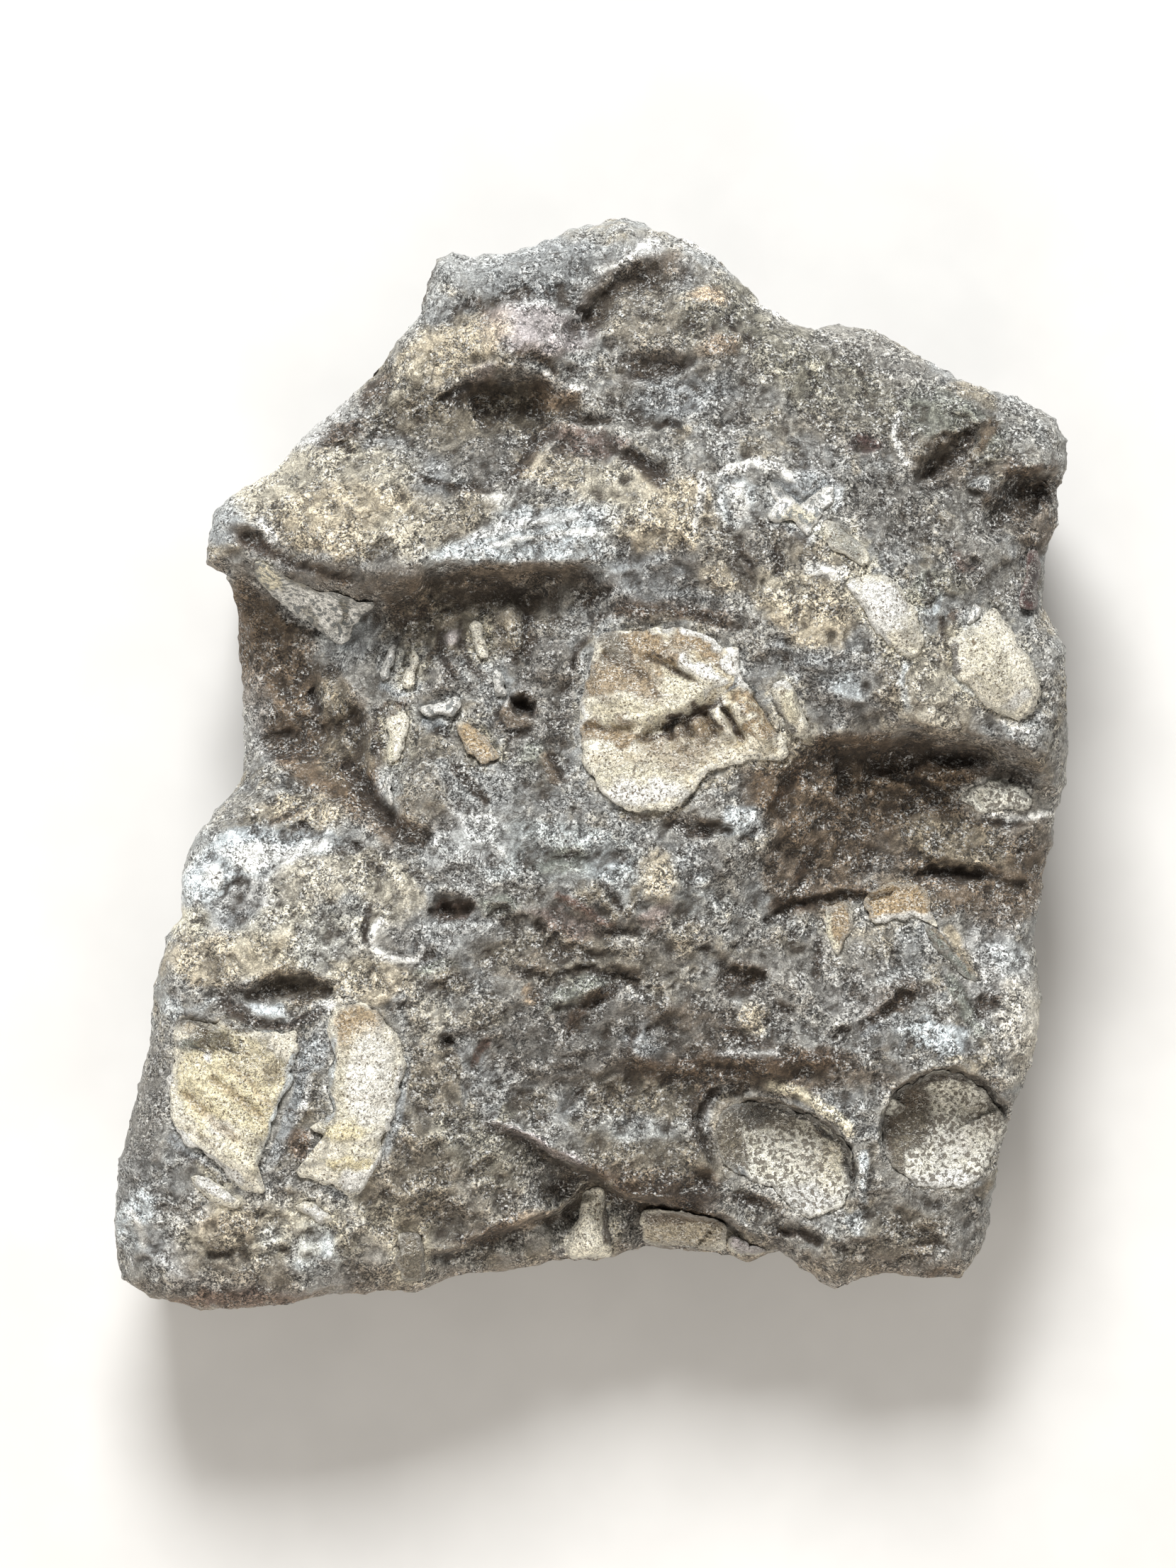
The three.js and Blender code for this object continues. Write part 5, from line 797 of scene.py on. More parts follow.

# veins, arcs, cracks and painted shadows: points, half width, tone, amount, height
blockLines = [
  # between the small rib pieces
  # painted shadows: beside the second rib piece and in the slot left of the third
  ([(-20.3, 13), (-21.4, 9)], 0.35, "black", 0.9, -0.5),
  ([(-24.1, 6.4), (-24.4, 0.4)], 0.4, "black", 0.9, -0.6),
  ([(-19, 5.2), (-15.8, 4)], 0.5, "black", 0.9, -0.8), ([(-17.8, 13), (-18.6, 10)], 0.3, "dark", 0.8, -0.4),
  ([(-25.6, 21.4), (-22.6, 20.2), (-20, 19.6)], 1.1, "darkGrey", 0.8, 0),
  # painted shadow beside the stick and the second oval shell
  ([(39.5, 17.2), (39.9, 14), (40.8, 11.8)], 0.4, "dark", 0.95, -0.5),
  ([(40.4, 17.4), (42.2, 16)], 0.5, "darkBrown", 0.8, -0.3),
  # narrow end
  ([(-9, 51.7), (-4, 51.8), (-1, 50), (-0.4, 46.6)], 0.3, "paleGrey", 0.7, 0.2),
  ([(0.4, 55.2), (3, 56), (5.6, 58.2), (8, 59)], 0.22, "white", 0.8, 0.1),
  ([(-5.4, 44.4), (-3.6, 42.8), (0.4, 42)], 0.25, "white", 0.75, 0.1),
  # painted shadow under the hump
  ([(-9, 46.3), (-5, 45.4), (-3, 43.2)], 0.4, "brown", 0.8, -0.4),
  ([(17.4, 48.6), (18.3, 46.4)], 0.35, "dark", 0.8, -0.4),
  ([(7, 37.6), (8.8, 38.3), (10.6, 38.1)], 0.35, "black", 0.85, -0.5),
  # painted shadow along the tongue's right side and bottom
  ([(-9, 31.2), (-7.4, 33.6), (-6.2, 36), (-3.6, 38)], 0.6, "dark", 0.9, -0.6),
  ([(-20, 33), (-18, 31.6), (-15.6, 31.2), (-13, 30.5), (-10, 30.8)], 0.3, "dark", 0.85, -0.4),
  ([(34.8, 40), (34.2, 37), (35, 34.4), (36.6, 33.6)], 0.25, "white", 0.75, 0.15),
  ([(10.6, 59.6), (13, 58.4), (14.2, 57.4)], 0.5, "white", 0.7, 0),
  ([(19, 52.4), (21.6, 50.8)], 0.4, "white", 0.6, 0),
  ([(3.5, 35), (6, 33.6), (8.8, 31)], 0.8, "dark", 0.95, -0.6),
  ([(-17, 40.6), (-15.4, 42), (-13, 42.8)], 0.4, "black", 0.8, -0.5),
  # upper shells
  ([(13.8, 31.6), (15.4, 33), (18, 33.8), (21, 33.3), (23.4, 31.8)], 0.45, "white", 0.85, 0.3),
  ([(24, 33), (26.4, 32.6), (27.9, 31), (28, 29.4), (27.2, 28)], 0.3, "paleGrey", 0.8, 0.25),
  ([(12.2, 33.4), (12.6, 31), (12, 28), (11.4, 25.5)], 0.3, "white", 0.75, 0.15),
  ([(16, 31.6), (16.6, 29), (17.4, 27)], 0.7, "white", 0.75, 0.25),
  ([(16.6, 26), (16.8, 23.6), (18.6, 21.8)], 0.3, "dark", 0.85, -0.5),
  ([(20.8, 24.6), (21.6, 22.4), (21, 21)], 0.3, "dark", 0.85, -0.5),
  ([(17.8, 28.8), (19, 27), (20.8, 26.2)], 0.35, "dark", 0.75, -0.4),
  # painted shadow line under the upper shell
  ([(20.2, 27.2), (22.4, 26.2), (24.6, 25), (26.2, 25.8), (27.6, 27.8)], 0.35, "dark", 0.8, -0.5),
  ([(24, 21.8), (26, 21.6), (29, 21)], 0.55, "white", 0.85, 0.2),
  ([(36, 17.6), (38.6, 17), (39.6, 19)], 0.3, "calcite", 0.8, 0.15),
  ([(38, 21.8), (38.4, 19.4), (38.2, 18.6)], 0.35, "dark", 0.6, -0.3),
  # painted shadow on the left of the second oval shell
  ([(40.2, 14.8), (40.9, 12.6), (40.4, 10.4)], 0.55, "dark", 0.9, -0.8),
  ([(40.6, 10.2), (42.4, 8.4), (46, 6.4), (49, 5.2)], 0.25, "calcite", 0.8, 0.25),
  ([(42, 8), (45, 5.9), (48.4, 4.4)], 0.22, "dark", 0.7, -0.3),
  ([(45.6, 5.2), (49, 3.8), (51, 4.4)], 0.25, "white", 0.7, 0.2),
  ([(35.6, 12), (35, 9), (36, 5.6)], 0.3, "calcite", 0.6, 0.15),
  # painted shadow band above the middle shield
  ([(2, 17), (5.6, 17.4), (9, 16.6), (12.6, 16.6), (15.6, 15.4), (17.6, 15)], 0.5, "darkBrown", 0.7, -0.4),
  # lip of the left ledge and the recess
  ([(-35.6, 24.8), (-36.2, 26.6), (-37.6, 28)], 0.35, "white", 0.85, 0.1),
  ([(-39.2, 25.6), (-36.4, 24.2), (-33.8, 22.6), (-31, 21.8), (-28, 21), (-25.6, 19.2)],
    0.55, "dark", 0.9, -0.8),
  # the pale band along the ledge lip: calcite colour, with painted light where the edge catches the light
  ([(-19, 22), (-15, 23.6), (-11, 24.2), (-6, 24.3), (-1, 24), (3, 23.4)], 1.1, "calcite", 0.8, 0),
  ([(-14, 25), (-10, 26.6), (-5, 27.6), (0, 27.8)], 0.5, "paleGrey", 0.7, 0.25),
  ([(-12, 24.4), (-6, 25.6), (2, 26)], 0.25, "white", 0.75, 0.2),
  ([(-15.8, 15), (-15.4, 13.4)], 0.8, "pinkWhite", 0.6, 0.6),
  ([(-9.2, 18), (-8.6, 15.4), (-8, 12.6)], 1.1, "greyBrown", 0.7, 1.0),
  ([(-7, 17.6), (-7.2, 14.6), (-6.8, 11.4)], 0.3, "dark", 0.85, -0.6),
  ([(-14.6, 17), (-14.4, 13.4), (-13, 10.6), (-11.4, 9.4)], 0.35, "dark", 0.8, -0.6),
  ([(-16.8, 15.6), (-17, 12.6), (-15, 9.2)], 0.4, "dark", 0.8, -0.6),
  ([(0.4, 14.6), (-1.4, 13), (-2, 10.4)], 0.35, "dark", 0.85, -0.6),
  ([(1.6, 17.2), (0.2, 14.8)], 0.3, "dark", 0.75, -0.4),
  ([(-0.6, 17.6), (1.2, 19.4), (3, 19.8)], 0.5, "dark", 0.7, -0.5),
  ([(-24, 9.4), (-22, 8.2), (-20, 8.6), (-18.6, 8.6)], 0.5, "blueGrey", 0.85, 0.3),
  ([(-19, 5), (-17.2, 4), (-15.4, 3.4)], 0.55, "black", 0.9, -0.9),
  # painted shadow: the shaded wall left of a rib piece
  ([(-23.6, 6.4), (-23.6, 3), (-23.4, -0.6)], 0.6, "dark", 0.9, -1.0),
  ([(-23.6, 6.8), (-21.6, 6.9), (-20, 6.6)], 0.45, "darkBrown", 0.85, -0.5),
  # painted shadow on the right of a rib piece
  ([(-12.4, 4.6), (-10.8, 2.2), (-9.6, 0.4)], 0.4, "black", 0.9, -0.8),
  ([(-9.8, 7.6), (-10.4, 5.6), (-9.4, 3.8), (-7.4, 3.6), (-6, 4.4)], 0.24, "black", 0.85, -0.5),
  ([(-9, 4), (-9.2, 2.2), (-8.6, 1)], 0.22, "dark", 0.75, -0.4),
  ([(-5.4, 1.6), (-4.6, -0.2), (-3.6, -2.6)], 0.55, "brown", 0.9, 0.5),
  ([(-4.6, 1.4), (-3.6, -0.6), (-2.6, -2.4)], 0.3, "dark", 0.8, -0.5),
  ([(-15.6, 0.2), (-13.4, -2.4), (-11, -4.9)], 0.45, "dark", 0.85, -0.6),
  ([(-31.6, 8.6), (-31, 6.8), (-30.6, 5.4)], 0.5, "dark", 0.85, -0.7),
  ([(-18, 18.4), (-19.4, 16.6), (-22, 15.6)], 0.4, "darkBrown", 0.7, -0.4),
  # left mound and middle
  ([(-28.4, 1), (-26.4, -1.6), (-24.4, -4.2), (-22.4, -6.4), (-19.8, -7.8), (-17.2, -8.4)],
    0.9, "darkBrown", 0.95, -1.1),
  ([(-36.6, -6.8), (-34, -5.8), (-32, -5)], 0.4, "brown", 0.85, -0.4),
  ([(-34.6, -11), (-32, -9.2), (-28.8, -8.6)], 0.5, "white", 0.8, 0.1),
  ([(-24.6, -15.6), (-25.2, -17.4), (-25.3, -20.4)], 0.4, "dark", 0.85, -0.6),
  ([(-22.4, -17.6), (-23.8, -17.6), (-24.6, -19.2), (-24, -21), (-22, -21.8), (-19.6, -22), (-18.4, -20.8)],
    0.35, "white", 0.85, 0.4),
  ([(2.6, -5.8), (5.4, -6.1), (9, -5.8), (11.6, -4.2)], 0.4, "dark", 0.85, -0.4),
  ([(8, -6.8), (9.8, -6.6), (11.6, -7.8), (14.2, -7.6)], 0.55, "dark", 0.95, -0.9),
  ([(11, -6), (13, -6.6), (15.4, -6.4)], 0.25, "brown", 0.7, -0.3),
  ([(-4.6, -14.4), (-1.6, -15.6), (1, -17.4), (3.4, -18.6)], 0.4, "redBrown", 0.9, 0.35),
  ([(0, -13.4), (1.4, -15), (3.4, -17.8)], 0.45, "greyBrown", 0.85, 0.5),
  ([(5, -13.2), (5, -15.2), (4, -17.4)], 0.45, "greyBrown", 0.85, 0.45),
  ([(0.9, -13), (2.4, -14.6), (4.2, -17)], 0.25, "dark", 0.8, -0.4),
  # painted curved shadow beside the lens
  ([(3, -25.2), (0.4, -26.4), (-1.8, -28.4), (-2.6, -30.8)], 0.6, "darkBrown", 0.95, -0.6),
  ([(20.8, -26.6), (22.8, -28.2)], 0.4, "dark", 0.8, -0.5),
  ([(5.6, -29.6), (4.6, -31.4), (4.4, -33)], 0.25, "dark", 0.8, -0.4),
  ([(-13.2, -34), (-12.4, -32), (-11.2, -30.6)], 0.35, "redBrown", 0.8, -0.3),
  ([(-16.8, -31.8), (-15.6, -30.8)], 0.5, "black", 0.9, -0.6),
  ([(14.6, -29.4), (17.6, -31), (21, -31.6)], 0.4, "darkBrown", 0.7, -0.4),
  # right
  # painted shadow beneath the small drop onto the lower step
  ([(19.4, -16.6), (22, -15.7), (26, -15.4), (30, -14.5), (34, -13.5)], 0.6, "darkBrown", 0.9, -0.5),
  ([(22.8, -14), (24, -11.6), (25.6, -9.2)], 0.5, "darkBrown", 0.9, -0.5),
  ([(25.8, -18.8), (25.9, -21.6), (25.6, -24.4)], 0.3, "dark", 0.9, -0.4),
  ([(31, -29), (34, -27.6), (37, -25.8)], 0.6, "darkBrown", 0.75, -0.5),
  ([(40, -23.4), (42.4, -27.4), (44.6, -31.4)], 0.6, "greenGrey", 0.85, 0.3),
  ([(40.1, -17.8), (41.6, -20.4), (43.6, -24.4)], 0.5, "tan", 0.85, 0.3),
  ([(44, -5.6), (48, -5.9), (53.4, -5.6)], 0.35, "white", 0.9, 0.3),
  ([(41.6, -3.4), (44, -2.0), (48, -1.4), (50.6, -3.6)], 0.3, "white", 0.75, 0.2),
  ([(43, -5.2), (46, -6.6), (50, -6.9)], 0.3, "dark", 0.8, -0.5),
  ([(33.6, -1.4), (37.6, -1.8), (40.6, -3.8)], 0.35, "black", 0.7, -0.5),
  ([(20.4, -4.4), (22.6, -2), (24, 0.6)], 0.5, "rust", 0.7, -0.3),
  ([(3, -33.4), (9, -34.8), (14, -33.6), (20, -34.4), (26, -33.2), (31, -33.4)], 1.0, "darkBrown", 0.85, 0.0),
  ([(14, -32.6), (19, -32.4), (22, -33)], 0.25, "paleGrey", 0.7, 0.3),
  # lower left
  ([(-41.6, -26.4), (-40.2, -27.8), (-38.2, -28.8), (-36, -29.4), (-33.6, -29.2), (-31, -28.2),
    (-28.8, -27.2)], 0.5, "dark", 0.9, -0.4),
  ([(-31.8, -31), (-32.2, -34.6), (-33.2, -38.6), (-34.8, -42.4), (-36.4, -45.8)], 0.6, "blueGrey", 0.9, 0.3),
  ([(-31.2, -35), (-31.8, -38), (-32.8, -40)], 0.3, "white", 0.7, 0.2),
  # painted shadow line along the left lobe's lower left
  ([(-47.8, -41.4), (-45, -43.8), (-41.6, -46.6), (-38.4, -48.2)], 0.6, "blueGrey", 0.9, 0),
  ([(-46.6, -43), (-43.4, -45.4), (-39.6, -47.8)], 0.25, "dark", 0.8, -0.4),
  ([(-30.6, -47.6), (-28, -48.8), (-25.6, -48)], 0.4, "blueGrey", 0.85, 0),
  ([(-20.6, -32), (-20.8, -36), (-22, -41), (-23.8, -45.6)], 0.45, "blueGrey", 0.85, 0),
  ([(-12, -40), (-8, -41.6), (-4, -43.6), (0, -45.6)], 0.4, "pinkWhite", 0.85, 0.0),
  # painted shadow along the bottom ledge
  ([(-1, -44.6), (2, -46.8), (6, -48.6)], 0.5, "darkBrown", 0.8, 0.0),
  ([(-21.8, -52.2), (-19.6, -52.2), (-18.2, -53.4)], 0.35, "brown", 0.8, -0.4),
  ([(-31, -51), (-29.4, -53.6), (-29.6, -56)], 0.6, "calcite", 0.6, 0.2),
  ([(-52, -50), (-50.6, -53), (-50.4, -55)], 0.35, "white", 0.7, 0.2),
  # round the cups
  # painted shadow round the outer rim of the left cup
  ([(13.4, -44.4), (11.4, -41.4), (11.6, -38.4), (13.2, -36.2), (15.6, -35.1), (18.4, -35.6)],
    0.45, "dark", 0.85, -0.4),
  ([(13.6, -43), (12.9, -40.6), (13.4, -38.4), (15, -36.8), (17, -36.4)], 0.4, "paleGrey", 0.75, 0.3),
  ([(14.8, -45.6), (14.2, -42), (14.8, -39.2), (16.4, -37.8)], 0.2, "darkBrown", 0.7, -0.2),
  ([(19.4, -36), (22.4, -36.5), (25, -37.9), (28.2, -40.3), (30.4, -42.4)], 0.5, "cream", 0.9, 0.35),
  ([(30.8, -43), (31.2, -45.4), (30.9, -48), (30.6, -50)], 0.4, "calcite", 0.85, 0.3),
  ([(20.6, -52.8), (24, -53), (26.6, -54.6)], 0.5, "dark", 0.9, -0.8),
  ([(16, -48.4), (19.4, -49.6), (22.6, -51)], 0.5, "dark", 0.85, -0.7),
  ([(37.6, -57.8), (40, -57.6), (42.4, -57.9)], 0.35, "dark", 0.8, -0.5),
  ([(36, -54.6), (39, -54.2), (41, -55)], 0.35, "brown", 0.7, -0.4),
]

# small bosses and hollows of the stone: x, y, half length, half width, turn, rise
smallLumps = [
  (-5, 53, 1.7, 1.5, 0, 0.5), (6.6, 58, 1.8, 1.4, 0, 0.7), (-12.2, 44, 2, 1.4, 0, 0.6),
  (13, 52.7, 2, 1.1, 5, 0.5), (14.6, 47.4, 2.6, 1.4, 15, 0.6), (-17.5, 29.6, 2.4, 2, 0, 0.5),
  (-11.4, 33.6, 4, 3, -5, 0.9), (24.2, 30.4, 3.4, 2.6, 0, 0.9), (18.6, 23.6, 3, 2, -60, 1.2),
  (30.8, 36, 2, 1.1, -5, -0.5), (40.4, 34.8, 4.4, 2.4, 20, -0.8), (44, 31.4, 1.6, 1.3, 0, 0.8),
  (-23, 21.2, 3, 2, 0, 0.9), (-29, 7.4, 2.6, 2.6, 0, 1.1), (-34.6, 2.2, 2.8, 2, 20, -0.8),
  (-17, 9.6, 2.6, 2, 30, 0.9), (-8.4, 5.6, 1.9, 2.4, -35, 0.9), (-7.3, 6.9, 1.7, 0.8, -50, -2.6),
  (-4.6, 11.8, 2.6, 3, 0, 0.6), (-12.2, 13.6, 1.2, 3, 12, 0.6), (-7, 0.8, 1.8, 1.5, 0, 0.5),
  (-17.4, 1.6, 3, 1.7, 0, 0.6), (-19.4, -3.4, 3.8, 4, 0, 0.6), (-34.4, -3, 1.6, 1, 0, 0.4),
  (-38.8, -10.4, 4.4, 2.6, 20, 0.6), (-43, -13.2, 3, 2.2, 40, 0.5), (-15.6, -16.2, 2.4, 1.3, 15, -1.0),
  (-21.6, -19.4, 2.4, 1.8, 0, 0.4), (-17.2, -23.4, 2.6, 1.1, 5, 0.4), (-10.4, -15.8, 2.4, 1.3, -10, 0.4),
  (8, -12.6, 2.6, 3.4, 5, 0.6), (3.8, -18.9, 2.2, 0.7, 0, -0.9), (2.6, -23.5, 4, 0.9, -3, -0.9),
  (-1.2, -25.4, 4.2, 1.8, 25, 0.9), (-7, -12.6, 1.6, 1.1, -50, 0.4), (17.2, -24.3, 2.8, 1.9, 15, -1.3),
  (18.4, -28.2, 1.8, 1.6, 0, 0.8), (6.2, -31.2, 2.2, 2, 10, 0.8), (17, -6.4, 2.2, 1.7, 0, 0.5),
  (12.6, -11, 3, 2.4, 0, 0.5), (41, 1.2, 4.8, 1.5, -8, -1.2), (34, 1, 4, 2, 0, -1.0),
  (41.6, -12.5, 4.8, 1, 0, -1.0), (44.6, -27, 1.9, 1.4, 30, -0.9), (39.6, -30.6, 3.2, 1.7, -8, 0.7),
  (33, -30.8, 2.2, 1.2, 0, 0.4), (-33.4, -25, 4.4, 1.8, -8, -0.8), (-36.4, -27.7, 2.8, 1.1, -18, 0.6),
  (-30.7, -33, 1.5, 2.3, 5, 0.5), (-31.8, -38.5, 1.1, 1, 0, 0.5), (-16, -31.2, 0.8, 0.8, 0, -1.0),
  (-9.6, -39.6, 2, 0.8, 10, 0.4), (13, -47, 1.8, 1.2, 0, -0.6), (32.4, -42.4, 0.6, 1.5, 20, 0.4),
  (48, 4.9, 1.8, 0.8, 10, 0.6), (31.4, -53.6, 2.6, 1.8, 20, 0.6), (38, -52, 3, 2, -10, 0.6),
  (-31, -55.6, 3, 3, 20, 0.5), (-42, -53, 4, 2.4, 10, 0.6), (-12.4, -28.2, 3, 1.7, 20, 0.6),
]

smallLedges = [
  {"lip": [(-12.6, 50.6), (-9, 51.7), (-4, 51.9), (-1, 50.2), (-0.3, 46.8)], "drop": -1.5},
  {"lip": [(3.2, 42.3), (6.8, 42.4), (10, 43.7), (13, 45)], "drop": -1.8, "reach": 3.5},
  {"lip": [(19.4, -5.8), (20.6, -3), (21.6, -0.4), (22.8, 1.8)], "drop": 2.0, "face": 1, "reach": 5},
  {"lip": [(22.4, -14.6), (24.2, -11.8), (25.8, -8.6)], "drop": 1.4},
  {"lip": [(3, -25.2), (0.4, -26.4), (-1.8, -28.4), (-2.6, -30.8)], "drop": -1.3, "reach": 3},
  {"lip": [(-27.4, -27.4), (-24, -25.8), (-20, -26.2), (-18.6, -30)], "drop": 0.8, "reach": 3},
  {"lip": [(-8.4, -7), (-4, -9.4), (1, -9.8), (5, -9.2)], "drop": 1.1},
  {"lip": [(-12, -15), (-7, -16.4), (-2, -20), (4, -20.6)], "drop": 1.4, "face": 0.7},
  {"lip": [(10, -19.4), (14, -20.6), (17.4, -22.8), (20, -21.6)], "drop": 1.2},
  {"lip": [(-10, -22), (-5, -23.2), (0, -22.6), (5, -23.4), (9, -26)], "drop": 1.4, "face": 0.7},
  {"lip": [(26, -30.4), (31, -28.6), (35, -25.4), (39, -24.6)], "drop": 1.4, "face": 0.7},
  {"lip": [(36, -8), (40, -11.4), (46, -12.2), (51, -12.6)], "drop": 1.6, "face": 0.7},
  {"lip": [(-48, -20.6), (-43, -24.6), (-39, -25), (-35, -23.4), (-30, -23.4)], "drop": 1.0, "face": 0.7},
  {"lip": [(-37, -7.4), (-33, -6), (-29, -7.6), (-24, -9)], "drop": 1.0},
  {"lip": [(-31, 37), (-27, 36), (-23, 38.6), (-19, 38)], "drop": 1.2, "face": 0.8},
  {"lip": [(14, 49.4), (17.6, 47.6), (18.6, 45)], "drop": -0.9},
  {"lip": [(-18, 20.4), (-13, 19.4), (-10.4, 20.6), (-6, 20), (-1, 20.6)], "drop": 1.2},
  {"lip": [(24, -52.2), (28, -53.8), (33, -53.4), (38, -55.2)], "drop": 1.0, "face": 0.7},
  {"lip": [(-47, -50.6), (-42, -54.6), (-35, -54), (-30, -50.6)], "drop": 0.9, "face": 0.7},
]


def linear(tone):  # screen colour to light
    return np.array([c / 12.92 if c < 0.04 else ((c + 0.055) / 1.055) ** 2.4 for c in tones[tone]])


def laidOver(colour, cover, tone, amount):
    share = amount[:, None]
    return colour * (1 - share) + linear(tone) * share, cover * (1 - amount) + amount


crumbTones = {"tan": "cream", "white": "calcite", "speckled": "paleCream", "brown": "redBrown"}


def spilled(x, y, colour, cover):  # crumbs of shell on the stone close round each one
    loose = fractalNoise(x / 0.8, y / 0.8, 131, 3)
    for shell in shells:
        near, _, d = roundShell(x, y, shell, 2)
        a = shell.get("spill", 0.35) * clamp(1.1 - d / 1.1 + 0.7 * loose[near])
        colour[near], cover[near] = laidOver(colour[near], cover[near], crumbTones[shell["paint"]], a)
    return colour, cover


def painted(x, y, patches, lines, fray, wander=0.35):  # colour and how much it covers, for each point
    colour = np.tile(linear("grey"), (len(x), 1))
    cover = np.zeros(len(x))
    wx = x + fray * fractalNoise(x / 1.9, y / 1.9, 71, 3)
    wy = y + fray * fractalNoise(x / 1.9, y / 1.9, 83, 3)
    for cx, cy, rx, ry, turn, tone, amount in patches:
        r = np.sqrt(ellipseAt(wx, wy, cx, cy, rx, ry, turn))
        soft = min(0.45, 0.9 / min(rx, ry))
        colour, cover = laidOver(colour, cover, tone, amount * (1 - ease(1 - soft, 1 + soft, r)))
    for line, half, tone, amount, *_ in lines:
        d, at = nearestOn(x + wander * (wx - x), y + wander * (wy - y), line)
        a = (amount * (1 - ease(half * 0.7, half * 1.8, np.abs(d)))
             * ease(-0.02, 0.12, at) * ease(1.02, 0.85, at))
        colour, cover = laidOver(colour, cover, tone, a)
    return colour, cover


def relaxed(points, edges, rounds):  # each vertex moved towards its neighbours, that many times
    count = np.bincount(edges.ravel(), minlength=len(points))[:, None]
    a, b = edges.T
    for _ in range(rounds):
        total = np.zeros_like(points)
        for axis in range(3):
            total[:, axis] = (np.bincount(a, points[b, axis], len(points))
                              + np.bincount(b, points[a, axis], len(points)))
        points = 0.5 * points + 0.5 * total / count
    return points


def rawPoints(piece):
    points = np.empty(len(piece.data.vertices) * 3)
    piece.data.vertices.foreach_get("co", points)
    return points.reshape(-1, 3)


def meshArrays(piece):  # vertices in mm, normals and edges
    mesh = piece.data
    normals = np.empty(len(mesh.vertices) * 3)
    mesh.vertices.foreach_get("normal", normals)
    edges = np.empty(len(mesh.edges) * 2, int)
    mesh.edges.foreach_get("vertices", edges)
    return rawPoints(piece) / mm, normals.reshape(-1, 3), edges.reshape(-1, 2)


def placePoints(piece, points):  # vertices in mm, kept inside the solids' box
    low, high = np.array(cadBox[0]) / mm, np.array(cadBox[1]) / mm
    piece.data.vertices.foreach_set("co", (np.clip(points, low, high) * mm).ravel())
    piece.data.update()


def writeLayer(piece, name, values):
    layer = piece.data.attributes.new(name, "FLOAT_COLOR", "POINT")
    layer.data.foreach_set("color", values.astype(np.float32).ravel())


def writeWeatherAndShade(piece, side, crest, swell, form, bright=0):  # lee shade (painted shade on faces turned from the key light) or rim, crests, hollows and swell, 0 to 1
    sharp, broad = crest / form["crestFull"], swell / form["swellFull"]
    layers = [side, clamp(sharp), clamp(-sharp), clamp(0.5 + broad + bright)]
    writeLayer(piece, "weatherAndShade", np.stack(layers, 1))


def crestsAndSwellOf(piece, fine, broad):  # how far a finished surface stands out, close by and over a broad reach
    points, normals, edges = meshArrays(piece)
    near, far = relaxed(points, edges, fine), relaxed(points, edges, broad)
    crest = np.einsum("ij,ij->i", points - near, normals)
    swell = np.einsum("ij,ij->i", points - far, normals)
    return points, normals, crest, swell

# finishes

def newFinish(name):
    material = bpy.data.materials.new(name)
    material.use_nodes = True
    tree = material.node_tree
    tree.nodes.clear()
    output = tree.nodes.new("ShaderNodeOutputMaterial")
    shader = tree.nodes.new("ShaderNodeBsdfPrincipled")
    tree.links.new(shader.outputs["BSDF"], output.inputs["Surface"])
    return material, tree, shader


def add(tree, kind, settings=None, **sockets):  # one node, its sockets set to values or linked to outputs
    node = tree.nodes.new(kind)
    for key, value in (settings or {}).items():
        setattr(node, key, value)
    for key, value in sockets.items():
        socket = node.inputs[int(key[1:])] if key[0] == "i" and key[1:].isdigit() else node.inputs[key]
        if isinstance(value, bpy.types.NodeSocket):
            tree.links.new(value, socket)
        else:
            socket.default_value = value
    return node


def maths(tree, operation, a, b=0.0, c=0.0):
    return add(tree, "ShaderNodeMath", {"operation": operation}, i0=a, i1=b, i2=c).outputs[0]


def times(tree, a, b):
    return maths(tree, "MULTIPLY", a, b)


def timesPlus(tree, a, b, c):
    return maths(tree, "MULTIPLY_ADD", a, b, c)


def vectorMaths(tree, operation, a, b, c=(0, 0, 0)):
    node = add(tree, "ShaderNodeVectorMath", {"operation": operation}, i0=a, i1=b, i2=c)
    return node.outputs["Value" if operation == "DOT_PRODUCT" else "Vector"]


def channels(tree, colour):
    return add(tree, "ShaderNodeSeparateColor", None, Color=colour).outputs


def greyOf(tree, value):
    return add(tree, "ShaderNodeCombineColor", None, Red=value, Green=value, Blue=value).outputs[0]


def spreadOf(tree, value, low, high, toLow=0.0, toHigh=1.0):
    smooth = {"interpolation_type": "SMOOTHSTEP"}
    return add(tree, "ShaderNodeMapRange", smooth, i0=value, i1=low, i2=high, i3=toLow, i4=toHigh).outputs[0]


def blended(tree, factor, a, b, way="MIX"):
    settings = {"data_type": "RGBA", "blend_type": way, "clamp_factor": True}
    mix = add(tree, "ShaderNodeMix", settings, i0=factor)
    for index, value in ((6, a), (7, b)):
        if isinstance(value, bpy.types.NodeSocket):
            tree.links.new(value, mix.inputs[index])
        else:
            mix.inputs[index].default_value = (*value, 1.0)
    return mix.outputs[2]


def noiseOf(tree, place, scale, detail=4.0, rough=0.6, wander=0.0):
    return add(tree, "ShaderNodeTexNoise", None, Vector=place, Scale=scale, Detail=detail, Roughness=rough,
               Distortion=wander).outputs[0]


def cellsOf(tree, place, scale, feature="F1"):
    return add(tree, "ShaderNodeTexVoronoi", {"feature": feature}, Vector=place, Scale=scale)


def millimetres(tree):
    coordinates = add(tree, "ShaderNodeTexCoord")
    place = coordinates.outputs["Object"]
    return add(tree, "ShaderNodeMapping", None, Vector=place, Scale=(1000, 1000, 1000)).outputs[0]


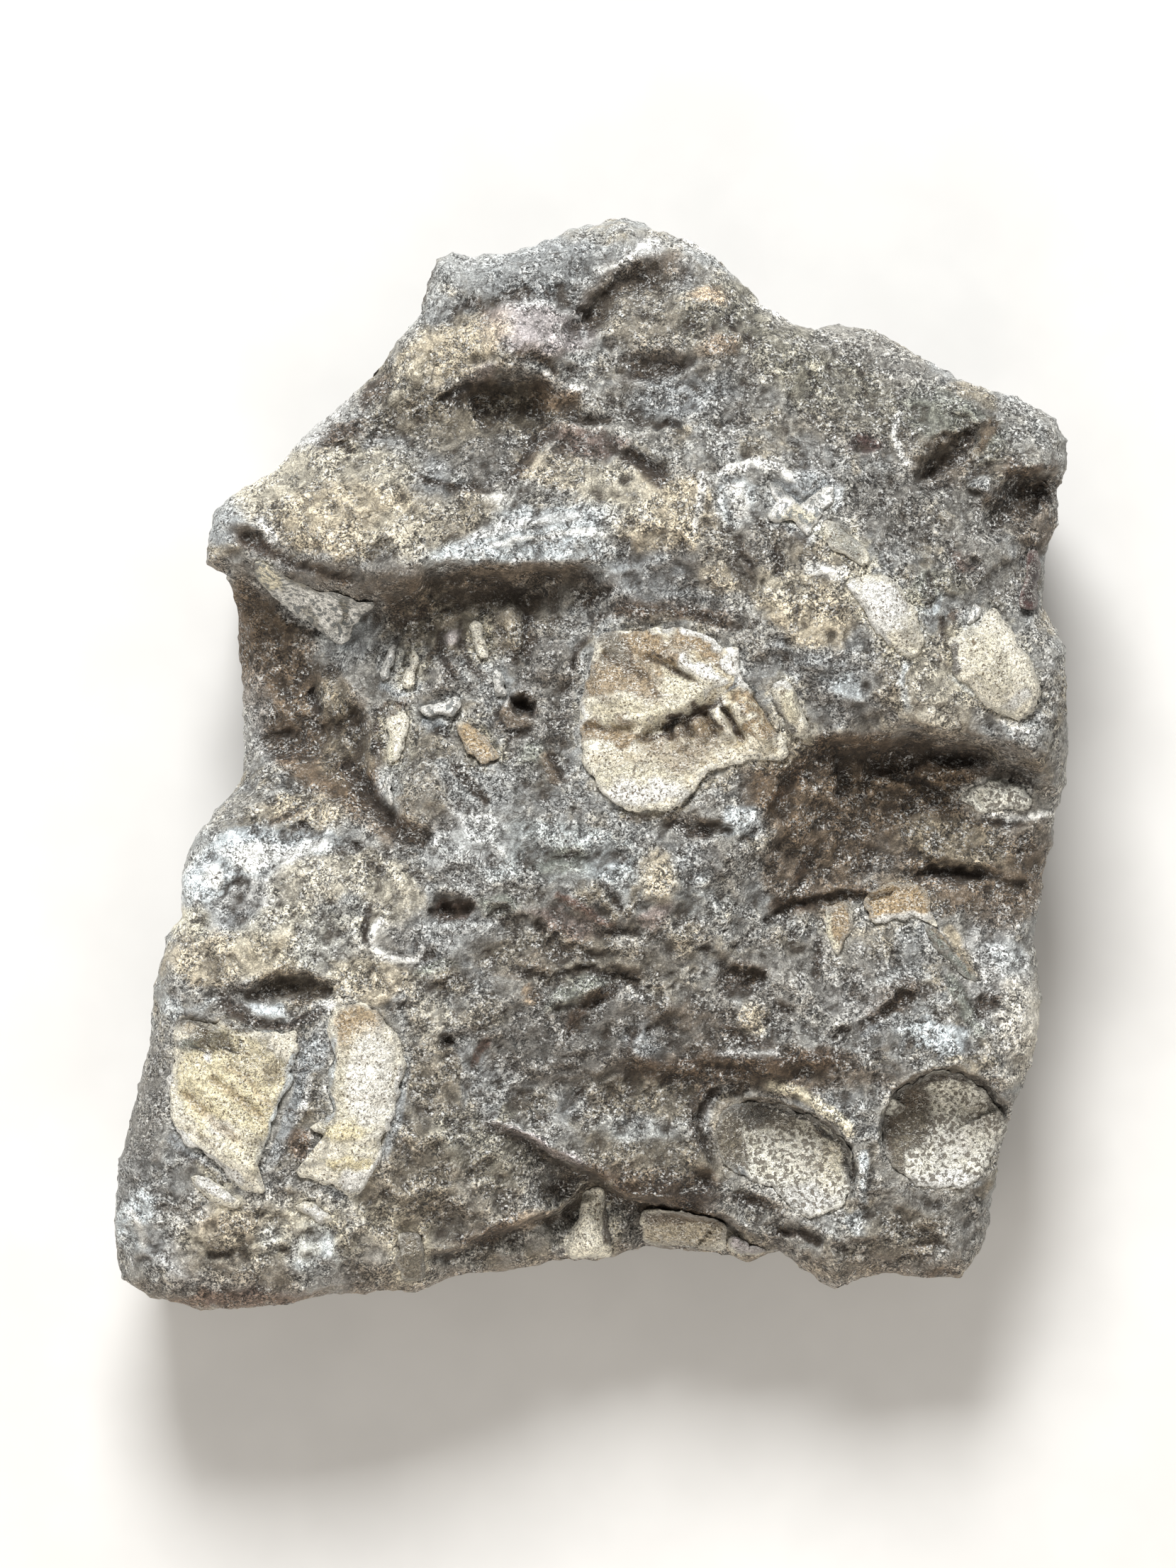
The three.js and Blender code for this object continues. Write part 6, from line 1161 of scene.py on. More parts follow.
def facets(tree, place, scale):  # a tilted plane for each crystal grain, in mm
    cells = cellsOf(tree, place, scale)
    within = vectorMaths(tree, "SUBTRACT", place, cells.outputs["Position"])
    lean = vectorMaths(tree, "SUBTRACT", cells.outputs["Color"], (0.5, 0.5, 0.5))
    return vectorMaths(tree, "DOT_PRODUCT", within, lean), cells


def bentPlace(tree, place, scale, amount):  # stirred by noise, so that cells and lines aren't regular
    wander = add(tree, "ShaderNodeTexNoise", None, Vector=place, Scale=scale, Detail=3.0)
    return vectorMaths(tree, "MULTIPLY_ADD", wander.outputs["Color"], (amount,) * 3, place)


def crawlingLines(tree, place, scale, thin):  # short bright worm-like lines, longer from side to side
    squashed = vectorMaths(tree, "MULTIPLY", place, (0.55, 1.25, 1.0))
    value = noiseOf(tree, squashed, scale, 2.0, 0.5)
    ridge = maths(tree, "ABSOLUTE", maths(tree, "SUBTRACT", value, 0.5))
    return spreadOf(tree, ridge, thin, thin * 0.35)


def layersOf(tree):  # painted tone and its cover; lee shade (painted shade on faces turned from the key light) or rim, crests, hollows and broad swell
    tone = add(tree, "ShaderNodeAttribute", {"attribute_name": "tone"}).outputs
    weatherAndShade = add(tree, "ShaderNodeAttribute", {"attribute_name": "weatherAndShade"}).outputs
    return (tone["Color"], tone["Alpha"], *channels(tree, weatherAndShade["Color"]), weatherAndShade["Alpha"])


stoneLook = {
    "grey": (0.24, 0.232, 0.208), "blueGrey": (0.25, 0.255, 0.247), "tanGrey": (0.25, 0.222, 0.17),
    # brown: stain and painted shade on the lee side and in low places; the near-black after it: dirt and
    # painted shade in hollows, and cracks; the near-white: flecks and painted glints
    "brown": (0.13, 0.095, 0.062), "sootAndShade": (0.05, 0.034, 0.021), "limeAndGlint": (0.84, 0.84, 0.81),
    "grain": 3.6, "grainTilt": 1.0, "chunk": 1.15, "chunkTilt": 0.35,  # crystals and clumps to the mm, slopes
    "crystalShades": (0.7, 1.3), "chunkShades": (0.78, 1.22), "darkestGrain": 0.15,
    "bend": 0.9, "seams": 0.5, "worms": 1.7, "shards": 3.6, "calm": 0.3, "calmShares": (0.42, 1.4),
    "stainAndShade": 0.8, "fleckAndGlint": 0.85, "dirtAndShade": 0.6, "crackDepth": 0.15, "lumpHeight": 0.5,
}


def makeLimestone():
    look = stoneLook
    material, tree, shader = newFinish("weatheredLimestone")
    place = millimetres(tree)
    bent = bentPlace(tree, place, look["bend"], look["bend"])
    tilt, cells = facets(tree, bent, look["grain"])
    chunkTilt, chunks = facets(tree, bent, look["chunk"])
    chunkTone = channels(tree, chunks.outputs["Color"])[1]
    crystalTone = channels(tree, cells.outputs["Color"])[0]
    broad = noiseOf(tree, place, 0.10, 5.0, 0.6)
    other = noiseOf(tree, vectorMaths(tree, "ADD", place, (37.0, 11.0, 5.0)), 0.16, 5.0, 0.62)
    middle = noiseOf(tree, place, 0.6, 6.0, 0.7)
    fine = noiseOf(tree, place, 2.2, 3.0, 0.65, 1.7)
    seams = cellsOf(tree, bentPlace(tree, place, look["seams"], 2.0), look["seams"], "DISTANCE_TO_EDGE")
    crack = times(tree, spreadOf(tree, seams.outputs["Distance"], 0.045, 0.012),
                  spreadOf(tree, middle, 0.44, 0.6))
    tone, cover, leeShade, crest, hollow, swell = layersOf(tree)

    colour = blended(tree, spreadOf(tree, broad, 0.4, 0.6), look["grey"], look["blueGrey"])
    colour = blended(tree, spreadOf(tree, other, 0.48, 0.66), colour, look["tanGrey"])
    edge = maths(tree, "ADD", cover, timesPlus(tree, middle, 1.4, -0.7))
    colour = blended(tree, spreadOf(tree, edge, 0.05, 0.65), colour, tone)
    # low places, where the broad swell is small: brown for dirt and painted shade
    low = spreadOf(tree, timesPlus(tree, middle, 0.4, swell), 0.62, 0.3)
    # painted shade on the lee side, broken by noise, joined with brown stain and painted shade where the
    # surface lies low
    paintedLeeShade = times(tree, leeShade, spreadOf(tree, middle, 0.3, 0.62, 0.35, 1.0))
    stainedAndShaded = maths(tree, "MAXIMUM", paintedLeeShade, times(tree, low, 0.8))
    colour = blended(tree, times(tree, stainedAndShaded, look["stainAndShade"]), colour, look["brown"])
    # grain: strong light and dark from crystal to crystal, then white worm-like flecks with painted glints,
    # and dark pits where dirt and painted shade sit in hollows
    shade = times(tree, spreadOf(tree, crystalTone, 0.0, 1.0, *look["crystalShades"]),
                  spreadOf(tree, chunkTone, 0.0, 1.0, *look["chunkShades"]))
    grain = spreadOf(tree, fine, 0.37, 0.63, 0.25, 1.75)
    # painted light and shade, partly wear: grain lighter on crests and broad rises, darker in hollows
    wearLightAndShade = timesPlus(tree, crest, 0.4,
                     timesPlus(tree, hollow, -0.35, spreadOf(tree, swell, 0.2, 0.8, 0.55, 1.35)))
    # smooth lenses between the coarse grain
    calm = spreadOf(tree, noiseOf(tree, bent, look["calm"], 3.0), 0.4, 0.56, *look["calmShares"])
    grain = timesPlus(tree, maths(tree, "SUBTRACT", times(tree, grain, shade), 1.0), calm, 1.0)
    grain = times(tree, maths(tree, "MAXIMUM", grain, look["darkestGrain"]), wearLightAndShade)
    colour = blended(tree, 1.0, colour, greyOf(tree, grain), "MULTIPLY")
    worms = crawlingLines(tree, bent, look["worms"], 0.03)
    clump = spreadOf(tree, timesPlus(tree, crest, 0.12, timesPlus(tree, leeShade, -0.12, middle)), 0.42, 0.6)
    # painted glints: single crystal cells turned near white, as facets catching the light, fewer on the lee
    # side
    shards = cellsOf(tree, bent, look["shards"])
    bright = channels(tree, shards.outputs["Color"])[0]
    paintedGlint = times(tree, spreadOf(tree, bright, 0.74, 0.78),
                    spreadOf(tree, shards.outputs["Distance"], 0.6, 0.4))
    fleckAndGlint = times(tree, maths(tree, "MAXIMUM", times(tree, worms, 0.7), paintedGlint), clump)
    fleckAndGlint = times(tree, fleckAndGlint, spreadOf(tree, calm, 0.3, 1.3, 0.25, 1.0))
    colour = blended(tree, times(tree, fleckAndGlint, look["fleckAndGlint"]), colour, look["limeAndGlint"])
    # dirt and painted shade darken the fine hollows; the cracks are dark joints
    dirtAndShade = maths(tree, "MAXIMUM", times(tree, hollow, spreadOf(tree, fine, 0.7, 0.3, 0.3, 1.0)), crack)
    colour = blended(tree, times(tree, dirtAndShade, look["dirtAndShade"]), colour, look["sootAndShade"])
    tree.links.new(colour, shader.inputs["Base Color"])
    tree.links.new(spreadOf(tree, fleckAndGlint, 0.0, 1.0, 0.72, 0.35), shader.inputs["Roughness"])
    height = timesPlus(tree, times(tree, tilt, calm), look["grainTilt"], times(tree, fine, 0.35))
    height = timesPlus(tree, chunkTilt, look["chunkTilt"], height)
    height = timesPlus(tree, crack, -look["crackDepth"], timesPlus(tree, middle, look["lumpHeight"], height))
    bump = add(tree, "ShaderNodeBump", None, Strength=1.0, Distance=mm, Height=height)
    tree.links.new(bump.outputs[0], shader.inputs["Normal"])
    return material


shellLooks = {  # ground, light crests (worn colour and painted light), furrows (patina and painted shade), dark blots and where their noise begins, gloss
    "tan": {"ground": (0.47, 0.39, 0.25), "crest": (0.82, 0.77, 0.63), "furrowPatinaAndShade": (0.10, 0.07, 0.042),
            "rough": 0.6, "blotScale": 2.6, "blots": 0.64, "blot": (0.13, 0.09, 0.05), "stone": 0.45},
    "white": {"ground": (0.60, 0.58, 0.50), "crest": (0.90, 0.89, 0.84), "furrowPatinaAndShade": (0.12, 0.11, 0.10),
              "rough": 0.55, "blotScale": 1.3, "blots": 0.55, "blot": (0.19, 0.205, 0.205), "stone": 0.5},
    "speckled": {"ground": (0.56, 0.53, 0.43), "crest": (0.86, 0.84, 0.74), "furrowPatinaAndShade": (0.05, 0.04, 0.03),
                 "rough": 0.5, "blotScale": 1.7, "blots": 0.535, "blot": (0.125, 0.105, 0.08), "stone": 0.5},
    "brown": {"ground": (0.045, 0.028, 0.021), "crest": (0.12, 0.085, 0.065), "furrowPatinaAndShade": (0.02, 0.015, 0.012),
              "rough": 0.4, "blotScale": 2.0, "blots": 0.7, "blot": (0.2, 0.17, 0.15), "stone": 0.3},
}


wormTone = (0.92, 0.9, 0.83)


def makeShellFinish(name, look):
    material, tree, shader = newFinish(name + "Shell")
    place = millimetres(tree)
    bent = bentPlace(tree, place, 1.6, 0.6)
    blots = cellsOf(tree, bentPlace(tree, place, 1.6, 0.3), look["blotScale"] * 0.9).outputs["Distance"]
    blotted = timesPlus(tree, noiseOf(tree, place, 0.3, 2.0), 0.3,
                        noiseOf(tree, bent, look["blotScale"] * 1.4, 2.0, 0.55))
    blotted = timesPlus(tree, blots, -0.4, maths(tree, "ADD", blotted, 0.17))
    middle = noiseOf(tree, place, 0.6, 6.0, 0.68)
    fine = noiseOf(tree, place, 2.4, 3.0, 0.65, 1.5)
    tone, cover, rim, crest, hollow, swell = layersOf(tree)

    # lighter where the shell stands out: partly worn colour, partly painted light
    raised = maths(tree, "ADD", timesPlus(tree, middle, 0.9, -0.45), timesPlus(tree, swell, 1.6, -0.3))
    colour = blended(tree, spreadOf(tree, raised, 0.1, 0.85), look["ground"], look["crest"])
    edge = maths(tree, "ADD", cover, timesPlus(tree, middle, 1.0, timesPlus(tree, fine, 0.8, -0.9)))
    colour = blended(tree, spreadOf(tree, edge, 0.1, 0.7), colour, tone)
    # darker where the surface lies low and in fine hollows: partly patina, partly painted shade
    colour = blended(tree, times(tree, spreadOf(tree, swell, 0.42, 0.05), 0.75), colour, look["furrowPatinaAndShade"])
    colour = blended(tree, times(tree, hollow, 0.5), colour, look["furrowPatinaAndShade"])
    # grain lighter on crests: partly wear, partly painted light
    grain = times(tree, spreadOf(tree, fine, 0.36, 0.64, 0.45, 1.4), timesPlus(tree, crest, 0.2, 1.0))
    colour = blended(tree, 1.0, colour, greyOf(tree, grain), "MULTIPLY")
    worms = times(tree, crawlingLines(tree, bent, 2.2, 0.03), spreadOf(tree, middle, 0.4, 0.55))
    colour = blended(tree, times(tree, worms, 0.75), colour, wormTone)
    dot = spreadOf(tree, blotted, look["blots"] + 0.11, look["blots"] + 0.2)
    pores = cellsOf(tree, bent, 4.2)
    pore = spreadOf(tree, timesPlus(tree, middle, 0.35, pores.outputs["Distance"]), 0.42, 0.34)
    colour = blended(tree, times(tree, pore, 0.55), colour, look["furrowPatinaAndShade"])
    colour = blended(tree, times(tree, dot, 0.85), colour, look["blot"])
    bitten = maths(tree, "ADD", times(tree, rim, 0.55), timesPlus(tree, middle, 1.6, times(tree, fine, 0.5)))
    bite = times(tree, spreadOf(tree, bitten, 1.28, 1.4), look["stone"])
    colour = blended(tree, bite, colour, stoneLook["grey"])
    tree.links.new(colour, shader.inputs["Base Color"])
    rough = spreadOf(tree, middle, 0.3, 0.7, look["rough"] - 0.1, look["rough"] + 0.15)
    tree.links.new(rough, shader.inputs["Roughness"])
    height = timesPlus(tree, fine, 0.3, times(tree, middle, 0.3))
    height = timesPlus(tree, dot, -0.2, timesPlus(tree, pore, -0.06, height))
    bump = add(tree, "ShaderNodeBump", None, Strength=1.0, Distance=mm, Height=height)
    tree.links.new(bump.outputs[0], shader.inputs["Normal"])
    return material


limestone = makeLimestone()
shellFinishes = {name: makeShellFinish(name, look) for name, look in shellLooks.items()}
print("finishes ready")

# the limestone block
blockForm = {
    "columns": 250, "rows": 290, "wallRows": 24,  # squares over the face and down the side walls
    "netColumns": 60, "netRows": 70, "netRounds": 900,  # coarser net on which the squares are evened out
    "rimCrowding": 0.2,  # how much closer together the squares lie near the rim
    "chipDepth": 1.1, "fineChips": 0.4, "smallChips": 0.15, "plates": 0.35,  # relief, mm
    "rough": 0.6, "grit": 0.14,
    "plateCount": 2.4, "plateFlat": 0.72,  # how many plates overlap, and how much of each is flat
    "ledgeShare": 0.65,  # of the small ledges' full drop
    "ragged": 0.45,  # how far the outline strays, mm
    "baseInset": 5.5, "wallChip": 3.4, "wallFlake": 1.8,  # how far the walls draw in and are broken, mm
    "middle": (0, 6),
    "highLedge": 3, "steepBand": 4.0, "steepPull": 0.55,  # which ledges draw the squares close, how widely
    "bedReach": 1.4, "bedGrit": 0.12, "grooveWidth": 0.5, "roomUnder": 1.3,  # round and under the shells, mm
    "leeShadeSlope": 1.3, "leeShadeStart": 0.25, "crestFull": 0.28, "swellFull": 1.2,  # where the painted lee shade sets in, and how much relief makes a full crest or swell
    "fineRounds": 3, "broadRounds": 24, "fray": 0.7,  # smoothing to find crests and swell; ragged paint
    "texture": [  # name, kind, size and strength in mm, where
        ("wallFlakes", "VORONOI", 9, 2.6, "wall"), ("wallChips", "VORONOI", 3.6, 1.1, "wall"),
        ("wallGrit", "CLOUDS", 1.1, 0.7, "wall"), ("faceChips", "VORONOI", 1.4, 0.45, "face"),
        ("faceGrit", "CLOUDS", 0.6, 0.3, "face")],
}


def onMargin(stretch, t):
    corners = np.array(stretch, float)
    run = np.concatenate([[0], np.cumsum(np.hypot(*np.diff(corners, axis=0).T))])
    return np.stack([np.interp(t * run[-1], run, corners[:, k]) for k in (0, 1)], 1)


def netPoint(s, t):  # the four stretches of the margin blended over the block
    top, right = onMargin(margin[0], s), onMargin(margin[1], 1 - t)
    bottom, left = onMargin(margin[2], 1 - s), onMargin(margin[3], t)
    tl, tr, br, bl = (np.array(stretch[0], float) for stretch in margin)
    s, t = s[:, None], t[:, None]
    return ((1 - t) * bottom + t * top + (1 - s) * left + s * right
            - (1 - s) * (1 - t) * bl - s * (1 - t) * br - (1 - s) * t * tl - s * t * tr)


def evenedNet(s, t):  # the blended net with its folds and crowding smoothed out, the margin kept
    across, along = blockForm["netColumns"], blockForm["netRows"]
    gs, gt = np.meshgrid(np.linspace(0, 1, across + 1), np.linspace(0, 1, along + 1))
    start = netPoint(gs.ravel(), gt.ravel()).T.reshape(2, along + 1, across + 1)
    net = start.copy()
    for _ in range(blockForm["netRounds"]):
        west, east = net[:, 1:-1, :-2], net[:, 1:-1, 2:]
        south, north = net[:, :-2, 1:-1], net[:, 2:, 1:-1]
        u, v = (east - west) / 2, (north - south) / 2
        a, b, c = (v * v).sum(0), (u * v).sum(0), (u * u).sum(0)
        corner = net[:, 2:, 2:] - net[:, 2:, :-2] - net[:, :-2, 2:] + net[:, :-2, :-2]
        pulled = a * (east + west) + c * (north + south) - 0.5 * b * corner
        net[:, 1:-1, 1:-1] = pulled / (2 * (a + c) + 1e-9)
    shift = net - start
    i, j = np.minimum((s * across).astype(int), across - 1), np.minimum((t * along).astype(int), along - 1)
    p, q = s * across - i, t * along - j
    moved = (shift[:, j, i] * (1 - p) * (1 - q) + shift[:, j, i + 1] * p * (1 - q)
             + shift[:, j + 1, i] * (1 - p) * q + shift[:, j + 1, i + 1] * p * q)
    return netPoint(s, t) + moved.T


def crowded(x, y):  # points near a high ledge drawn on to its steep face, where the net would be stretched
    for ledge in ledges:
        if abs(ledge["drop"]) < blockForm["highLedge"]:
            continue
        wx, wy = (x, y) if ledge.get("carved") else wavered(x, y)
        band, face = blockForm["steepBand"], ledge["face"]
        d, at = nearestOn(wx, wy, ledge["lip"])
        step = 0.2
        gx = (nearestOn(wx + step, wy, ledge["lip"])[0] - d) / step
        gy = (nearestOn(wx, wy + step, ledge["lip"])[0] - d) / step
        u = np.clip((d + face / 2) / band, -1, 1)
        pull = -blockForm["steepPull"] * band * u * (1 - u * u) ** 2 * ease(0, 0.15, at) * ease(1, 0.85, at)
        x, y = x + pull * np.clip(gx, -1, 1), y + pull * np.clip(gy, -1, 1)
    return x, y


def stoneHeight(x, y):
    form = blockForm
    smooth = faceHeight(x, y) - rimFall(x, y)
    z = smooth + form["chipDepth"] * scoops(x / 5.2 + y / 9, y / 7.5 - x / 14, 5)
    z = z + form["fineChips"] * scoops(x / 2.2 + y / 4, y / 3.1 - x / 6, 25)
    z = z + form["rough"] * fractalNoise(x / 7, y / 6.4, 3, 3)
    z = z + form["smallChips"] * scoops(x / 1.1 + y / 2.2, y / 1.5 - x / 3, 45)
    z = z + form["grit"] * fractalNoise(x, y, 11, 2)
    z = z + form["plates"] * brokenPlates(x, y)
    wx = x + 0.5 * fractalNoise(x / 1.6, y / 1.6, 141, 2)
    wy = y + 0.5 * fractalNoise(x / 1.6, y / 1.6, 151, 2)
    for cx, cy, rx, ry, turn, rise in smallLumps:
        z = z + rise * np.sqrt(clamp(1 - ellipseAt(wx, wy, cx, cy, rx, ry, turn)))
    for ledge in smallLedges:
        z = z + form["ledgeShare"] * ledgeStep(wx, wy, ledge)
    for line, half, _, _, rise in blockLines:
        if rise:
            d, at = nearestOn(x, y, line)
            z = z + rise * np.exp(-(d / half) ** 2) * ease(0, 0.12, at) * ease(1, 0.88, at)
    return bedded(x, y, z, smooth)


def brokenPlates(x, y):  # thin plates of stone that end in small steps
    level = blockForm["plateCount"] * fractalNoise(x / 6 + y / 10 + 3, y / 8.5 - x / 12, 121, 3)
    part = level - np.floor(level)
    return np.floor(level) + ease(blockForm["plateFlat"], 1, part) - level


def bedded(x, y, z, smooth):  # the stone follows each shell closely round its edge and makes room under it
    form, z = blockForm, z.copy()
    for shell in shells:
        near, curve, d = roundShell(x, y, shell, 2.5)
        px, py = x[near], y[near]
        inside = insideOf(px, py, curve)
        hug = np.where(inside, 1, np.exp(-(d / form["bedReach"]) ** 2))
        level = smooth[near] + form["bedGrit"] * fractalNoise(px, py, 11, 2)
        groove = shell.get("groove", 0.15) * np.exp(-(d / form["grooveWidth"]) ** 2)
        room = np.where(inside, ease(0.1, 0.9, d) * form["roomUnder"], 0)
        z[near] = z[near] * (1 - hug) + level * hug - groove - room
    return z


def growBlock():
    form = blockForm
    bpy.ops.object.select_all(action="DESELECT")
    bpy.ops.mesh.primitive_grid_add(x_subdivisions=form["columns"], y_subdivisions=form["rows"], size=2)
    block = bpy.context.active_object
    block.name = "limestoneBlock"
    bpy.ops.object.mode_set(mode="EDIT")
    bpy.ops.mesh.select_mode(type="EDGE")
    bpy.ops.mesh.select_all(action="SELECT")
    bpy.ops.mesh.region_to_loop()
    for _ in range(form["wallRows"]):
        bpy.ops.mesh.extrude_edges_move(TRANSFORM_OT_translate={"value": (0, 0, -0.1)})
    bpy.ops.mesh.edge_face_add()
    bpy.ops.mesh.poke()
    bpy.ops.mesh.select_all(action="SELECT")
    bpy.ops.mesh.normals_make_consistent(inside=False)
    bpy.ops.object.mode_set(mode="OBJECT")

    raw = rawPoints(block)
    down = np.round(-raw[:, 2] * 10) / form["wallRows"]
    u, v = (raw[:, 0] + 1) / 2, (raw[:, 1] + 1) / 2
    crowd = form["rimCrowding"] / (2 * math.pi)
    s = u - crowd * np.sin(2 * math.pi * u)
    t = v - crowd * np.sin(2 * math.pi * v)
    onRim = (np.minimum(u, 1 - u) < 1e-5) | (np.minimum(v, 1 - v) < 1e-5)
    hub = (down > 0.99) & ~onRim  # the middle of the flat back

    xy = evenedNet(s, t)
    x, y = crowded(xy[:, 0], xy[:, 1])
    x, y = np.where(onRim, xy[:, 0], x), np.where(onRim, xy[:, 1], y)
    middle = np.array(form["middle"], float)
    away = np.hypot(x - middle[0], y - middle[1])
    turn = np.arctan2(y - middle[1], x - middle[0])
    ragged = form["ragged"] * (fractalNoise(turn * 14, down * 3, 51, 3) - 0.6)
    edge = 1 + np.where(onRim, ragged / np.maximum(away, 1), 0)
    z = stoneHeight(x, y)
    x, y = middle[0] + (x - middle[0]) * edge, middle[1] + (y - middle[1]) * edge

    wall = down > 0
    chip = form["wallChip"] * scoops(turn * 5, down * 2, 9) * np.sin(down * 2)
    flake = (form["wallFlake"] * scoops(turn * 13 + down, down * 4, 61)
             * np.sin(np.minimum(down * 3, math.pi * 0.8)))
    inset = np.maximum(0.2, form["baseInset"] * down ** 1.5 + chip + 0.5 * flake)
    shrink = 1 - np.where(wall, inset, 0) / np.maximum(away, 1)
    shrink = np.where(hub, 0, shrink)
    points = [middle[0] + (x - middle[0]) * shrink, middle[1] + (y - middle[1]) * shrink, z * (1 - down)]
    placePoints(block, np.stack(points, 1))

    faceGroup = block.vertex_groups.new(name="face")
    wallGroup = block.vertex_groups.new(name="wall")
    underShell = np.zeros(len(x), bool)
    for shell in shells:
        underShell |= insideOf(x, y, shell["outline"]) & ~wall
    faceGroup.add([int(i) for i in np.nonzero(~hub & (down < 0.99) & ~underShell)[0]], 1.0, "REPLACE")
    for k in range(1, form["wallRows"]):
        row = np.nonzero(np.round(down * form["wallRows"]) == k)[0]
        weight = math.sin(min(k / 6, 1) * math.pi / 2) * min(1, (form["wallRows"] - k) / 3)
        wallGroup.add([int(i) for i in row], weight, "REPLACE")
    for texture in form["texture"]:
        roughen(block, *texture)
    points = meshArrays(block)[0]
    points[down > 0.99, 2] = 0
    placePoints(block, points)

    points, normals, crest, swell = crestsAndSwellOf(block, form["fineRounds"], form["broadRounds"])
    colour, cover = painted(points[:, 0], points[:, 1], blockPatches, blockLines, form["fray"])
    colour, cover = spilled(points[:, 0], points[:, 1], colour, cover)
    cover = np.where(wall, cover * (1 - clamp(down * 6)), cover)
    # painted shade: faces turned from the key light, towards -y, are marked for the lee-side brown, less so
    # on the walls
    leeShade = clamp(-normals[:, 1] * form["leeShadeSlope"] - form["leeShadeStart"]) * (1 - wall * 0.4)
    calm = 1 - wall * 0.5  # the walls are more even
    writeLayer(block, "tone", np.concatenate([colour, cover[:, None]], 1))
    writeWeatherAndShade(block, leeShade, crest * calm, swell * calm, form)
    finishPiece(block, "matrix", limestone)


def roughen(piece, name, kind, size, strength, group):
    texture = bpy.data.textures.new(name, kind)
    texture.noise_scale = size * mm
    if kind == "CLOUDS":
        texture.noise_depth = 3
    else:
        texture.distance_metric = "DISTANCE_SQUARED"  # shallow bowls, not pits
    bpy.context.view_layer.objects.active = piece
    bpy.ops.object.modifier_add(type="DISPLACE")
    rough = piece.modifiers[-1]
    rough.texture, rough.texture_coords = texture, "LOCAL"
    rough.strength, rough.mid_level = strength * mm, 0.5
    rough.vertex_group = group
    bpy.ops.object.modifier_apply(modifier=rough.name)


def finishPiece(piece, node, material):
    piece.data.materials.clear()
    piece.data.materials.append(material)
    bpy.ops.object.select_all(action="DESELECT")
    piece.select_set(True)
    bpy.context.view_layer.objects.active = piece
    bpy.ops.object.shade_smooth()
    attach(piece, "root")
    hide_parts(node)

# the shells, each a plate over its bed

shellForm = {
    "step": 0.24,  # spacing of the vertices, mm
    "frayed": 0.4,  # how ragged a broken edge is
    "rounding": 0.3,  # width over which an edge rounds over
    "edgeFall": 0.14,  # and how far
    "pits": 0.07, "pitSize": 0.5, "wear": 0.2, "wearSize": 2.2,
    "rimWidth": 0.9, "crestFull": 0.12, "swellFull": 0.9,
    "proudShare": 0.45, "swellShare": 0.8, "leastThick": 0.8,
    "fineRounds": 4, "broadRounds": 30,  # how much a surface is smoothed to find its crests and its swell
}


def shellHeight(x, y, shell):
    z = faceHeight(x, y) - rimFall(x, y)
    return z if shell.get("ownRidges") else z + ridgeRise(x, y)


